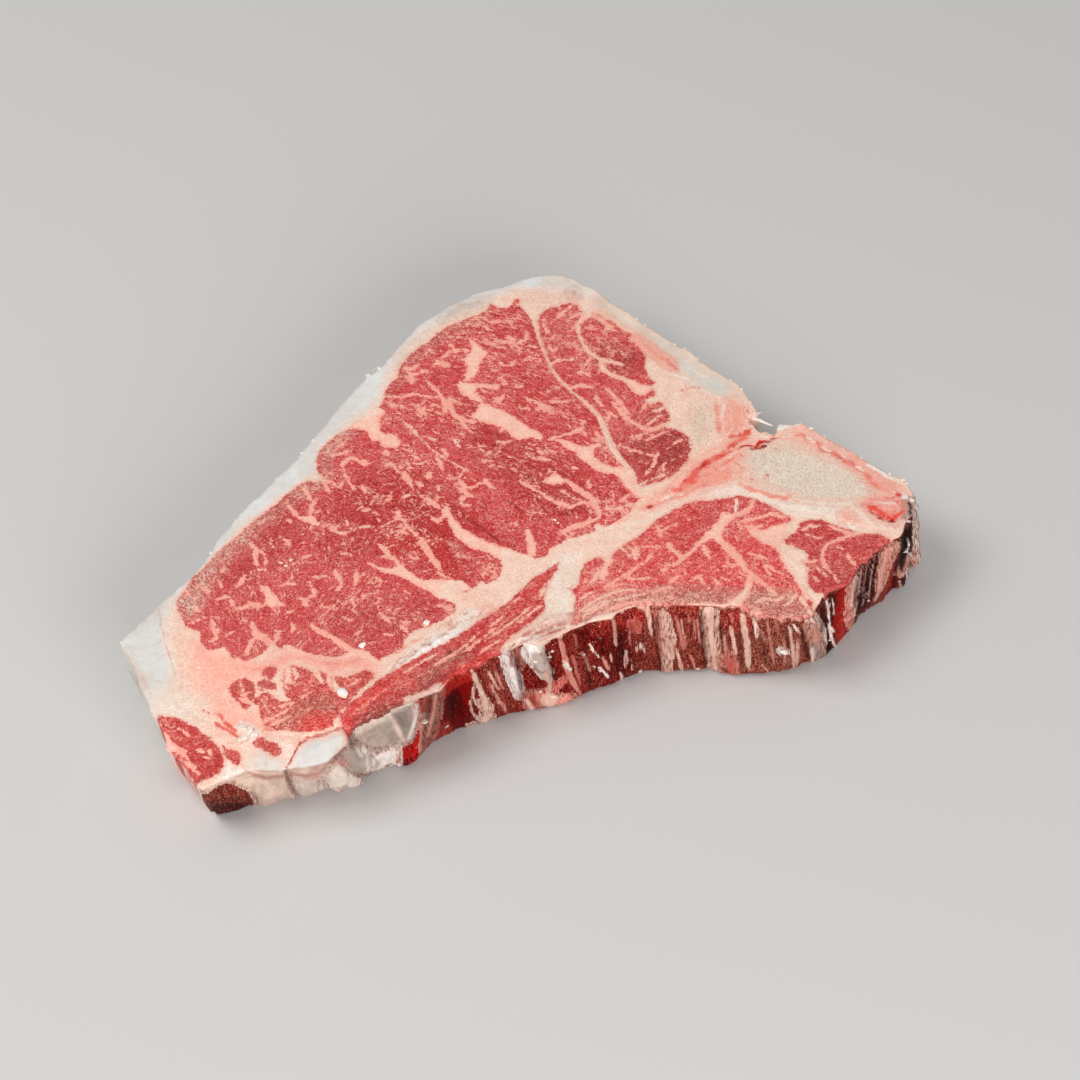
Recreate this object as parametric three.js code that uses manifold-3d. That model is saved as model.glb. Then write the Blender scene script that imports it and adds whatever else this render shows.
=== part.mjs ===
// Raw T-bone steak, one cut about an inch thick: the T-shaped piece of lumbar vertebra, the lean
// (strip loin, tenderloin and the web between them) and the fat that covers the back edge and
// the flank end. Millimetres, +Z up. The origin is the middle of the footprint, on the flat
// underside that the steak lies on. +X runs along the long side, towards the vertebra's body.
import * as THREE from 'three';
import { mergeVertices } from 'three/addons/utils/BufferGeometryUtils.js';
import Module from 'manifold-3d';

const wasm = await Module();
wasm.setup();

// ---------------------------------------------------------------- driving dimensions
const THICKNESS = 25;          // height of the upper cut face over the underside
const TISSUE_GAP = 0.3;        // clearance between bone, lean and fat
const FLANK_DROOP = 6.2;       // how far the soft flank end sinks below the cut height
const DROOP_START = [-38.26, -61.89]; // where the cut face begins to sink
const DROOP_RUN = 30;          // distance over which it sinks
const DROOP_DIRECTION = [-0.45, -0.9];
const EDGE_ROUND = 0.9;        // softening of the upper cut edge
const FOOT_ROUND = 1.6;        // softening of the lower edge
const SIDE_BULGE = 0.7;        // belly of the cut sides
const SIDE_RIPPLE = 0.3;       // unevenness of the cut sides
const FACE_RIPPLE = 0.35;      // unevenness of the upper cut face
const RIM_STEPS = 168;         // samples round the rim
const FACE_CELL = 5.5;         // grid of the upper cut face
const FAT_UNDERCUT = 1.6;      // how far the fat cap's lower edge tucks in
const FLANK_UNDERCUT = 4.5;    // the same at the flank end
const CHINE_UNDERCUT = 0.4;    // the same on the sawn chine

// Rim landmarks of the upper cut edge, in order round the steak. A pair gives x and y. Where
// two more numbers follow, they say how far the lower edge lies from the upper one.
const rim = {
  flankCorner: [-101.3, -46.3],
  fatCap1: [-93.7, -36.2], fatCap2: [-83.6, -22.0], fatCap3: [-77.0, -7.4],
  fatCap4: [-66.6, 9.8], fatCap5: [-55.8, 28.3], fatCap6: [-44.8, 49.0],
  fatCap7: [-33.3, 66.2], fatCap8: [-21.4, 79.4], fatCap9: [-9.2, 86.4],
  crown: [4.5, 91.0],
  chine1: [15.4, 86.1], chine2: [27.5, 73.2], chine3: [39.4, 61.0],
  chine4: [49.7, 50.6], chine5: [55.8, 43.8],
  canal1: [58.9, 35.6], canal2: [60.9, 28.2], canal3: [66.2, 29.0],
  body1: [73.0, 28.6], body2: [84.8, 18.5], body3: [94.1, 11.0], body4: [97.2, 5.0, 3.6, 0.2],
  end1: [97.9, -5.2, 3.0, 5.4], end2: [93.5, -12.7, 3.4, 6.4], end3: [86.9, -16.7, 3.3, 5.9],
  psoas1: [81.5, -22.7, 3.2, 6.4], psoas2: [76.6, -29.0, 2.8, 5.6], psoas3: [70.7, -34.5, 2.8, 4.4],
  fillet1: [64.8, -38.6, 2.1, 4.0], fillet2: [55.4, -38.0, 1.3, 2.0], fillet3: [46.4, -35.4, 0.9, 0],
  fillet4: [32.7, -35.2, 0.7, -0.2], fillet5: [21.0, -37.9, 0.4, -0.8], fillet6: [11.6, -42.4, 1.2, -0.8],
  web1: [1.7, -48.1, 1.3, 0.1], web2: [-8.0, -52.1, 1.0, 1.8], web3: [-17.7, -57.8, 0.8, 3.1],
  web4: [-27.2, -65.4, 0.7, 4.4], web5: [-37.2, -70.5, 0, 3.2], web6: [-43.8, -75.5, 0.2, 4.0],
  suet1: [-48.4, -81.6, -0.2, 7.2], suet2: [-55.5, -84.5, -0.6, 7.2], suet3: [-66.9, -85.0, -0.3, 5.4],
  flank1: [-74.0, -87.1, 0.3, 5.4], flank2: [-78.7, -91.0, 0, 8.2], flank3: [-83.8, -82.9],
  flank4: [-89.3, -73.9], flank5: [-94.4, -60.6], flank6: [-98.5, -51.7],
};

// The T of the vertebra, seen on the cut face: the sawn lamina along the chine edge, the stem
// (the transverse process) between the two muscles, and the vertebra's body at the right.
const boneOutline = {
  sawnEdge: [[24, 98], [70, 62], [120, 24]],
  bodyFoot: [[97.6, 5.8], [86.2, 2.1], [70.8, 1.4], [59.5, 5.0]],
  stemLower: [[52.8, 9.0], [45.9, 4.3], [37.6, 2.1], [29.8, -4.5], [20.7, -12.4], [10.6, -18.6]],
  stemTip: [[5.6, -17.4]],
  stemUpper: [[10.6, -13.5], [20.8, -5.9], [32.6, 5.8], [40.6, 15.6]],
  lamina: [[42.6, 21.9], [40.3, 30.6], [39.5, 39.9], [38.6, 47.8], [36.0, 54.9], [31.3, 61.8],
    [23.4, 72.8], [19.7, 77.7], [16.4, 84.4], [14.0, 94]],
};

// Where the cover fat meets the lean on the cut face, from the chine round to the front.
const fatLine = [[26, 96], [16.0, 82.0], [10.5, 79.6], [4.2, 78.4], [0.1, 70.5], [-4.6, 76.8], [-14.6, 75.3],
  [-23.2, 69.5], [-31.8, 59.8], [-39.4, 45.8], [-48.1, 31.4], [-54.6, 21.0], [-56.0, 12.2],
  [-62.4, 4.6], [-74.3, -11.0], [-82.2, -23.0], [-87.4, -32.4], [-84.2, -42.4], [-74.6, -50.6],
  [-57.1, -50.2], [-45.0, -51.0], [-38.2, -56.2], [-42.0, -66.7], [-43.4, -76.0], [-43.8, -96]];
const fatOutside = [[-135, -96], [-135, 112], [26, 112]];

// ---------------------------------------------------------------- shape functions
// Height of the upper cut face.
function cutHeight(x, y) {
  const along = ((x - DROOP_START[0]) * DROOP_DIRECTION[0] + (y - DROOP_START[1]) * DROOP_DIRECTION[1]) / DROOP_RUN;
  const droop = along > 0 ? FLANK_DROOP * (1 - Math.exp(-1.25 * along * along)) : 0;
  const ripple = FACE_RIPPLE * (0.5 * Math.sin(x / 17 + y / 29) + 0.5 * Math.sin(y / 13 - x / 23 + 1.3));
  return THICKNESS - droop - FACE_RIPPLE * 0.6 + ripple * 0.6;
}

// A closed body from rings of points, all with the same count, closed by a flat cap at each end.
function ringSolid(rings) {
  const count = rings[0].length;
  const position = [];
  for (const ring of rings) for (const p of ring) position.push(p.x, p.y, p.z);
  const index = [];
  for (let r = 0; r + 1 < rings.length; r++) {
    for (let i = 0; i < count; i++) {
      const a = r * count + i;
      const b = r * count + ((i + 1) % count);
      index.push(a, b, b + count, a, b + count, a + count);
    }
  }
  const last = (rings.length - 1) * count;
  const flat = (ring) => THREE.ShapeUtils.triangulateShape(ring.map((p) => new THREE.Vector2(p.x, p.y)), []);
  for (const [a, b, c] of flat(rings[0])) index.push(c, b, a);
  for (const [a, b, c] of flat(rings[rings.length - 1])) index.push(last + a, last + b, last + c);
  const geometry = new THREE.BufferGeometry();
  geometry.setAttribute('position', new THREE.Float32BufferAttribute(position, 3));
  geometry.setIndex(index);
  return geometry;
}

// Samples of the rim: upper edge, outward direction and the lower edge's offset.
function rimSamples() {
  const marks = Object.entries(rim).reverse();     // anticlockwise seen from above
  const centre = new THREE.Vector2(0, 0);
  const feet = marks.map(([name, m]) => {
    if (m.length === 4) return new THREE.Vector2(m[2], m[3]);
    const size = name.startsWith('flank') ? FLANK_UNDERCUT
      : name.startsWith('fatCap') || name === 'crown' ? FAT_UNDERCUT : CHINE_UNDERCUT;
    return centre.clone().sub(new THREE.Vector2(m[0], m[1])).normalize().multiplyScalar(size);
  });
  const edge = new THREE.CatmullRomCurve3(marks.map(([, m]) => new THREE.Vector3(m[0], m[1], 0)), true, 'centripetal');
  const foot = new THREE.CatmullRomCurve3(feet.map((f) => new THREE.Vector3(f.x, f.y, 0)), true, 'centripetal');
  const samples = [];
  for (let i = 0; i < RIM_STEPS; i++) {
    const t = i / RIM_STEPS;
    const p = edge.getPoint(t);
    const along = edge.getPoint((t + 0.004) % 1).sub(edge.getPoint((t + 0.996) % 1)).normalize();
    samples.push({ p, out: new THREE.Vector3(along.y, -along.x, 0), foot: foot.getPoint(t), t });
  }
  return samples;
}

// The cut sides of the whole steak, a little taller than it at both ends.
function sides() {
  const samples = rimSamples();
  const levels = [-0.05, 0, 0.035, 0.09, 0.25, 0.5, 0.75, 0.9, 0.965, 1, 1.05];
  return ringSolid(levels.map((level) => samples.map(({ p, out, foot, t }) => {
    const top = cutHeight(p.x, p.y);
    const z = level * top;
    const down = Math.pow(Math.max(0, 1 - level), 1.25);
    const upperSoft = EDGE_ROUND * Math.pow(Math.min(1, Math.max(0, 1 - (top - z) / 2.2)), 2);
    const lowerSoft = FOOT_ROUND * Math.pow(Math.min(1, Math.max(0, 1 - z / 3)), 2);
    const belly = SIDE_BULGE * Math.sin(Math.PI * Math.min(1, Math.max(0, level)))
      + SIDE_RIPPLE * Math.sin(2 * Math.PI * (19 * t + 1.7 * level)) * Math.sin(2 * Math.PI * 7 * t + 4 * level);
    const grow = belly - upperSoft - lowerSoft;
    return new THREE.Vector3(p.x + foot.x * down + out.x * grow, p.y + foot.y * down + out.y * grow, z);
  })));
}

// A slab with a flat underside and the uneven, drooping upper cut face.
function faceSlab() {
  const width = 230;
  const depth = 210;
  const slab = new THREE.BoxGeometry(width, depth, THICKNESS, Math.round(width / FACE_CELL), Math.round(depth / FACE_CELL), 1);
  slab.translate(0, 0, THICKNESS / 2);
  const at = slab.getAttribute('position');
  for (let i = 0; i < at.count; i++) {
    if (at.getZ(i) > THICKNESS / 2) at.setZ(i, cutHeight(at.getX(i), at.getY(i)));
  }
  return slab;
}

// A smooth line through a few points.
function smooth(points, steps, tension = 0.5) {
  const curve = new THREE.CatmullRomCurve3(points.map(([x, y]) => new THREE.Vector3(x, y, 0)), false, 'catmullrom', tension);
  return curve.getPoints(steps).map((p) => [p.x, p.y]);
}

// A closed outline moved outwards by a small distance; the outline runs anticlockwise.
function grown(outline, distance) {
  const n = outline.length;
  return outline.map(([x, y], i) => {
    const a = outline[(i + n - 1) % n];
    const b = outline[(i + 1) % n];
    const length = Math.hypot(b[0] - a[0], b[1] - a[1]);
    return [x + ((b[1] - a[1]) / length) * distance, y - ((b[0] - a[0]) / length) * distance];
  });
}

function anticlockwise(outline) {
  const area = THREE.ShapeUtils.area(outline.map(([x, y]) => new THREE.Vector2(x, y)));
  return area > 0 ? outline : outline.slice().reverse();
}

// A straight-sided block with the given outline, taller than the steak.
function block(outline) {
  const shape = new THREE.Shape(outline.map(([x, y]) => new THREE.Vector2(x, y)));
  const geometry = new THREE.ExtrudeGeometry(shape, { depth: THICKNESS + 20, bevelEnabled: false, steps: 1 });
  geometry.translate(0, 0, -10);
  return geometry;
}

function boneLoop() {
  const { sawnEdge, bodyFoot, stemLower, stemTip, stemUpper, lamina } = boneOutline;
  const inner = smooth([...bodyFoot, ...stemLower, ...stemTip, ...stemUpper, ...lamina], 96);
  return anticlockwise([...sawnEdge, ...inner]);
}

function fatLoop() {
  return anticlockwise([...smooth(fatLine, 110), ...fatOutside]);
}

// ---------------------------------------------------------------- joining and cutting
function toSolid(geometry) {
  const bare = geometry.clone();
  bare.deleteAttribute('normal');
  bare.deleteAttribute('uv');
  const merged = mergeVertices(bare, 1e-4);
  return new wasm.Manifold(new wasm.Mesh({
    numProp: 3,
    vertProperties: new Float32Array(merged.getAttribute('position').array),
    triVerts: new Uint32Array(merged.index.array),
  }));
}

function toGeometry(solid) {
  const mesh = solid.getMesh();
  const geometry = new THREE.BufferGeometry();
  const points = new Float32Array((mesh.vertProperties.length / mesh.numProp) * 3);
  for (let i = 0; i < points.length / 3; i++) {
    for (let k = 0; k < 3; k++) points[3 * i + k] = mesh.vertProperties[i * mesh.numProp + k];
  }
  geometry.setAttribute('position', new THREE.BufferAttribute(points, 3));
  geometry.setIndex(new THREE.BufferAttribute(new Uint32Array(mesh.triVerts), 1));
  geometry.computeVertexNormals();
  return geometry;
}

const whole = toSolid(sides()).intersect(toSolid(faceSlab()));
const boneBlock = toSolid(block(boneLoop()));
const boneRoom = toSolid(block(grown(boneLoop(), TISSUE_GAP)));
const fatBlock = toSolid(block(fatLoop()));
const fatRoom = toSolid(block(grown(fatLoop(), TISSUE_GAP)));

const bone = whole.intersect(boneBlock);
const fatCover = whole.intersect(fatBlock).subtract(boneRoom);
const lean = whole.subtract(boneRoom).subtract(fatRoom);

// ---------------------------------------------------------------- scene graph
const group = new THREE.Group();
const tissue = {
  bone: { solid: bone, colour: 0xdcc3ae, roughness: 0.55 },
  lean: { solid: lean, colour: 0xb4413f, roughness: 0.45 },
  fat_cover: { solid: fatCover, colour: 0xe9d8c9, roughness: 0.5 },
};
const footprint = new THREE.Box3();
for (const [name, { solid, colour, roughness }] of Object.entries(tissue)) {
  const material = new THREE.MeshStandardMaterial({ color: colour, roughness, metalness: 0 });
  const mesh = new THREE.Mesh(toGeometry(solid), material);
  mesh.name = name;
  mesh.geometry.computeBoundingBox();
  footprint.union(mesh.geometry.boundingBox);
  group.add(mesh);
}

// The outline's landmarks are measured from about the middle of the footprint; this puts the
// origin exactly there, on the underside.
const middle = footprint.getCenter(new THREE.Vector3());
for (const mesh of group.children) mesh.geometry.translate(-middle.x, -middle.y, 0);

export default group;
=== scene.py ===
# Visual model of the raw T-bone steak around its CAD frame: three tissue pieces (lean, cover fat, bone)
# that stand for the three CAD nodes, with crumbs of fat and a sliver of bone at the canal.
import bpy
import math
import numpy as np
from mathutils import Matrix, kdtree
from mathutils.geometry import delaunay_2d_cdt


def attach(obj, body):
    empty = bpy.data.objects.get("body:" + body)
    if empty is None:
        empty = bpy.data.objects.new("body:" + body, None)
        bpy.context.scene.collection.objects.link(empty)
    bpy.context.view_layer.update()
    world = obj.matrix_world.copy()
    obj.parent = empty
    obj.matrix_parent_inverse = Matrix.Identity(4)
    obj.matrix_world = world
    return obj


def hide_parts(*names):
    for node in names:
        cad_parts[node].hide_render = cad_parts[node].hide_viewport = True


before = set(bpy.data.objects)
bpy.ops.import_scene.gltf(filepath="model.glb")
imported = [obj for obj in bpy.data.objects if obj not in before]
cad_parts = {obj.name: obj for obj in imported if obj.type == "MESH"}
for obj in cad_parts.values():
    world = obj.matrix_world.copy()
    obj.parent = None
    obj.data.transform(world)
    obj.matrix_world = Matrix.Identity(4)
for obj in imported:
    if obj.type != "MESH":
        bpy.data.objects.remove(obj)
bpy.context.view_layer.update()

# ------------------------------------------------------------------ anatomy, as seen from the camera
# Points are (u, v) in the 1080 by 1080 view; look() and face_point() turn them into millimetres.
RIM = [  # upper cut edge, clockwise in the view from the flank corner
 (121,642),(128,633),(135,627),(140,622),(147,616),(155,608),(162,601),(170,595),(178,587),(185,582),(193,575),(200,567),
 (208,556),(215,543),(222,534),(230,526),(238,516),(245,508),(252,501),(260,494),(268,486),(275,479),(283,471),(290,465),
 (298,457),(305,448),(312,439),(320,430),(328,421),(335,411),(342,402),(350,394),(357,386),(363,380),(366,375),(371,374),
 (380,367),(387,360),(395,351),(402,342),(410,334),(416,327),(425,320),(432,316),(440,311),(447,306),(455,302),(462,299),
 (470,295),(477,292),(485,290),(492,288),(500,287),(508,284),(515,282),(522,279),(530,277),(538,275),(545,274),(552,274),
 (560,274),(568,276),(575,278),(583,284),(590,286),(598,291),(605,297),(612,302),(620,307),(628,312),(635,317),(642,322),
 (650,327),(658,332),(665,337),(673,342),(680,347),(690,350),(700,360),(706,363),(712,368),(720,373),(728,378),(737,382),
 (742,388),(747,394),(750,400),(755,406),(758,411),(757,415),(750,417),(752,423),(757,429),(765,432),(775,433),(777,428),
 (780,424),(790,424),(798,423),(800,421),(806,424),(815,430),(825,436),(832,440),(840,444),(850,449),(860,456),(870,463),
 (880,467),(890,474),(898,476),(905,480),(910,487),(913,492),(915,500),(915,508),(911,515),(906,521),(904,528),(901,535),
 (893,540),(886,544),(880,549),(871,555),(864,560),(858,568),(855,575),(849,583),(845,586),(838,588),(830,590),(825,593),
 (821,600),(816,608),(812,616),(800,619),(790,617),(780,619),(768,617),(757,614),(748,610),(740,607),(720,606),(700,605),
 (680,605),(662,605),(650,605),(635,606),(625,609),(618,612),(612,617),(600,620),(590,622),(580,626),(570,630),(560,635),
 (550,640),(540,645),(533,644),(525,642),(519,644),(515,646),(505,652),(497,655),(490,657),(480,663),(470,668),(463,671),
 (455,674),(447,682),(440,688),(430,693),(420,697),(412,700),(405,703),(392,708),(380,712),(370,718),(362,722),(354,728),
 (350,735),(347,742),(343,747),(338,752),(331,758),(325,762),(316,765),(305,767),(300,767),(292,768),(285,769),(270,770),
 (258,770),(248,771),(240,773),(232,776),(226,779),(218,782),(210,786),(203,790),(199,787),(195,781),(190,775),(184,767),
 (178,760),(172,753),(166,747),(165,738),(161,728),(156,718),(150,711),(148,702),(145,694),(141,686),(137,678),(134,668),
 (131,660),(126,652)]
FOOT = [  # lower edge of the front side, left to right
 (208,814),(218,818),(230,816),(240,812),(250,808),(257,807),(263,808),(275,804),(290,799),(305,796),(318,792),(328,790),
 (337,791),(345,788),(355,786),(362,779),(370,775),(380,772),(388,769),(405,768),(418,766),(424,756),(430,748),(440,740),
 (450,735),(462,731),(480,726),(500,719),(520,715),(545,711),(560,707),(575,702),(585,697),(600,691),(615,686),(630,680),
 (640,676),(650,673),(665,675),(680,674),(700,672),(715,672),(722,676),(733,679),(745,676),(760,676),(775,674),(790,672),
 (797,670),(803,665),(812,662),(825,660),(832,655),(838,647),(845,636),(855,622),(862,617),(870,610),(880,605),(895,597),
 (905,588),(913,582),(918,572)]

# Muscles on the cut face.
LOIN = [(520,303),(522,308),(527,314),(531,320),(534,325),(538,333),(541,342),(545,351),(549,360),(553,368),(558,377),
 (565,386),(573,393),(580,399),(588,408),(596,417),(601,425),(605,434),(608,443),(613,452),(619,460),(626,467),(636,477),
 (641,497),(636,503),(632,510),(632,518),(625,523),(616,525),(604,526),(596,524),(594,531),(585,534),(575,537),(566,540),
 (560,544),(552,549),(545,556),(536,557),(528,556),(520,553),(512,550),(505,550),(502,557),(501,563),(503,568),(500,575),
 (494,581),(486,584),(481,581),(478,586),(472,588),(466,585),(462,580),(452,580),(442,588),(438,597),(446,600),(453,604),
 (456,609),(454,613),(450,617),(446,618),(440,621),(434,624),(426,627),(420,628),(414,631),(408,636),(403,641),(402,647),
 (397,652),(390,655),(383,657),(380,661),(378,661),(374,657),(368,652),(362,650),(356,650),(350,651),(346,654),(338,656),
 (328,656),(318,655),(308,652),(300,650),(292,646),(287,644),(282,648),(276,645),(270,647),(266,651),(260,655),(254,659),
 (246,661),(238,659),(231,657),(228,652),(225,647),(220,648),(215,650),(208,650),(203,646),(200,640),(199,632),(193,630),
 (187,625),(182,618),(178,610),(177,602),(181,593),(187,585),(193,578),(200,571),(208,563),(216,554),(224,547),(232,540),
 (240,533),(250,523),(262,514),(272,506),(282,498),(292,491),(300,484),(308,481),(318,480),(324,480),(319,475),(317,468),
 (316,460),(320,451),(326,443),(334,437),(342,431),(352,426),(362,420),(372,414),(380,408),(384,400),(384,394),(387,388),
 (392,382),(396,377),(398,371),(401,366),(406,361),(409,356),(415,350),(421,346),(428,342),(434,337),(438,333),(444,329),
 (452,325),(460,321),(468,318),(476,315),(483,312),(489,308),(491,302),(494,305),(500,308),(507,308),(512,305),(515,299),
 (519,299)]
DEEP = [(537,322),(539,315),(543,311),(549,308),(557,306),(565,303),(572,302),(578,305),(582,312),(588,317),(596,319),
 (603,325),(608,330),(614,329),(622,331),(630,335),(628,341),(636,344),(642,351),(646,358),(644,364),(646,372),(650,379),
 (655,383),(650,387),(656,391),(657,396),(650,397),(645,400),(650,404),(660,402),(666,407),(668,414),(670,421),(664,427),
 (672,428),(680,431),(686,435),(690,440),(691,447),(689,456),(684,465),(677,472),(668,478),(658,482),(648,485),(641,486),
 (637,480),(636,472),(630,465),(622,457),(616,448),(612,440),(608,430),(602,420),(596,412),(588,405),(580,398),(572,391),
 (563,382),(555,371),(549,360),(544,349),(540,337)]
FILLET = [(655,521),(662,516),(670,512),(680,507),(690,502),(700,500),(715,499.5),(728,497),(740,496),(752,498),(760,501),
 (770,506),(780,511),(788,516),(793,519),(786,535),(782,545),(786,560),(794,574),(801,583),(806,592),(812,602),(814,612),
 (816,620),(795,624),(757,622),(740,615),(700,613),(652,612),(640,608),(628,606),(614,612),(602,613),(590,617),(580,622),(571,628),(573,619),(574,610),(575,600),(572,590),
 (577,585),(580,575),(584,566),(590,560),(598,557),(606,560),(614,553),(622,546),(630,541),(640,535),(648,528)]
STRAP = [(782,541),(788,537),(794,533),(798,528),(800,523),(805,521),(812,520),(820,520),(827,522),(834,525),(842,527),
 (850,530),(858,533),(866,534),(874,534),(882,536),(892,539),(886,546),(880,552),(872,557),(866,562),(860,570),(855,578),
 (850,586),(840,592),(828,596),(815,592),(808,584),(808,574),(806,566),(802,561),(808,560),(808,555),(802,551),(794,548),(787,545)]
RIBBON = [(340,715),(352,702),(365,691),(380,679),(395,669),(410,661),(428,652),(445,643),(460,634),(475,624),(490,614),
 (505,605),(520,592),(535,577),(547,570),(558,563),(556,572),(550,580),(546,590),(544,600),(546,606),(545,611),(539,615),(533,620),
 (525,627),(515,634),(506,642),(500,649),(503,656),(490,662),(470,673),(462,676),(450,680),(444,685),(438,683),(430,688),(420,692),
 (410,695),(403,698),(405,707),(388,714),(370,723),(355,733),(348,740),(345,733),(340,722)]
SIDE1 = [(228,690),(232,683),(238,679),(245,679),(252,681),(256,686),(256,693),(252,700),(250,706),(245,710),(240,706),(236,699),(231,696)]
SIDE2 = [(258,682),(263,679),(270,680),(275,683),(277,689),(272,691),(267,690),(262,692),(258,689)]
SIDE3 = [(262,672),(266,667),(272,665),(278,667),(277,673),(273,679),(270,681),(267,677),(262,675)]
SIDE4 = [(282,680),(283,673),(287,668),(293,665),(300,667),(306,669),(312,672),(316,677),(321,683),(319,676),(318,671),(326,673),
 (329,680),(331,688),(335,691),(340,688),(337,683),(333,676),(340,676),(348,677),(356,673),(364,670),(370,671),(374,674),(370,681),
 (362,688),(352,698),(343,708),(336,718),(332,727),(325,731),(310,732),(296,732),(284,730),(276,732),(268,734),(262,731),(266,728),
 (262,722),(261,714),(259,707),(254,702),(256,697),(262,692),(270,692),(276,697),(281,702),(288,701),(290,699),(285,694),(283,688)]
SIDE5 = [(251,745),(256,739),(260,736),(265,737),(266,742),(272,741),(277,744),(281,749),(281,753),(277,757),(272,756),(266,752),
 (262,749),(257,749)]
TAIL = [(150,718),(162,716),(170,717),(180,719),(190,724),(200,731),(210,738),(216,743),(220,750),(223,758),(224,766),(220,772),
 (212,777),(204,780),(198,784),(190,790),(170,770),(155,745)]
TAIL2 = [(222,745),(227,749),(233,749),(238,752),(241,757),(240,765),(236,768),(232,762),(226,757)]

# Broad fat between and in the muscles.
FAT_AREAS = [
 [(350,428),(357,429),(364,430),(369,433),(371,439),(373,441),(380,441),(385,446),(392,448),(399,447),(401,443),(397,438),
  (393,433),(386,434),(382,431),(379,425),(381,418),(386,410),(376,406),(366,414)],
 [(480,401),(488,404),(496,408),(504,411),(512,415),(520,421),(528,427),(535,430),(540,432),(543,438),(541,441),(534,438),
  (526,439),(519,440),(513,437),(508,431),(502,428),(496,424),(488,423),(480,421),(472,416),(478,408)],
 [(478,402),(472,399),(466,396),(460,391),(456,385),(460,381),(464,382),(470,384),(478,384),(486,385),(494,386),(500,383),
  (499,390),(494,389),(486,388),(478,388),(474,392),(480,397),(486,402)],
 [(468,338),(474,341),(480,346),(488,353),(482,358),(480,365),(479,371),(475,376),(469,381),(463,383),(466,373),(468,366),
  (464,362),(459,360),(466,357),(472,350),(471,344)],
 [(556,439),(566,440),(577,446),(588,446),(597,444),(603,441),(602,446),(594,449),(592,454),(600,462),(610,466),(622,467),
  (630,468),(636,472),(637,482),(642,487),(645,497),(636,497),(630,492),(624,486),(620,478),(612,474),(600,472),(590,467),
  (583,461),(575,453),(566,447),(558,442),(548,440),(550,437)],
 [(442,510),(445,506),(449,507),(450,512),(455,520),(460,525),(466,530),(472,534),(480,538),(486,541),(492,543),(497,546),
  (503,547),(512,549),(508,560),(497,559),(492,555),(487,553),(480,550),(472,548),(464,544),(458,540),(454,533),(450,526),(446,518)],
 [(366,562),(372,564),(380,566),(387,568),(393,568),(399,564),(404,566),(409,571),(415,576),(424,580),(434,580),(444,579),
  (462,581),(450,590),(440,600),(432,594),(424,589),(414,584),(407,579),(400,576),(393,574),(385,573),(378,569),(371,566)],
 [(542,482),(548,477),(554,474),(560,475),(565,480),(563,484),(555,484),(548,484)],
 [(526,530),(530,529),(533,540),(536,550),(535,557),(529,556),(528,546),(526,538)],
 [(296,515),(303,517),(311,515),(316,519),(320,526),(312,525),(305,522)],
 [(258,583),(263,586),(270,587),(272,591),(276,596),(279,600),(279,606),(273,607),(267,605),(262,607),(266,600),(265,594),(260,588)],
 [(727,600),(734,599),(739,594),(744,588),(747,581),(751,584),(749,592),(746,599),(741,605),(733,607)],
 [(722,512),(730,514),(738,513),(734,519),(729,523),(725,528),(722,535),(724,541),(719,543),(714,539),(708,541),(702,544),
  (696,549),(692,552),(692,548),(697,542),(703,537),(707,532),(713,527),(718,521)],
 [(793,519),(800,521),(798,526),(792,531),(786,536),(782,540),(788,545),(796,549),(804,551),(808,556),(806,560),(801,561),
  (806,566),(808,574),(808,582),(806,588),(810,598),(806,600),(801,590),(796,582),(792,575),(786,569),(782,563),(780,556),(776,549),
  (768,545),(759,541),(752,536),(748,531),(752,529),(760,530),(766,529),(772,526),(780,524),(787,522)],
 [(586,312),(594,314),(604,319),(612,324),(618,330),(612,331),(606,326),(600,321),(593,317),(586,318),(582,324),(580,320)],
 [(628,378),(634,380),(642,384),(650,386),(652,390),(646,394),(640,396),(634,393),(630,387),(624,382)],
 [(605,556),(611,552),(613,558),(609,566),(607,573),(606,579),(598,580),(601,572),(604,564)],
 [(163,731),(168,735),(172,741),(178,748),(176,752),(168,751),(164,742)],
]

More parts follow.
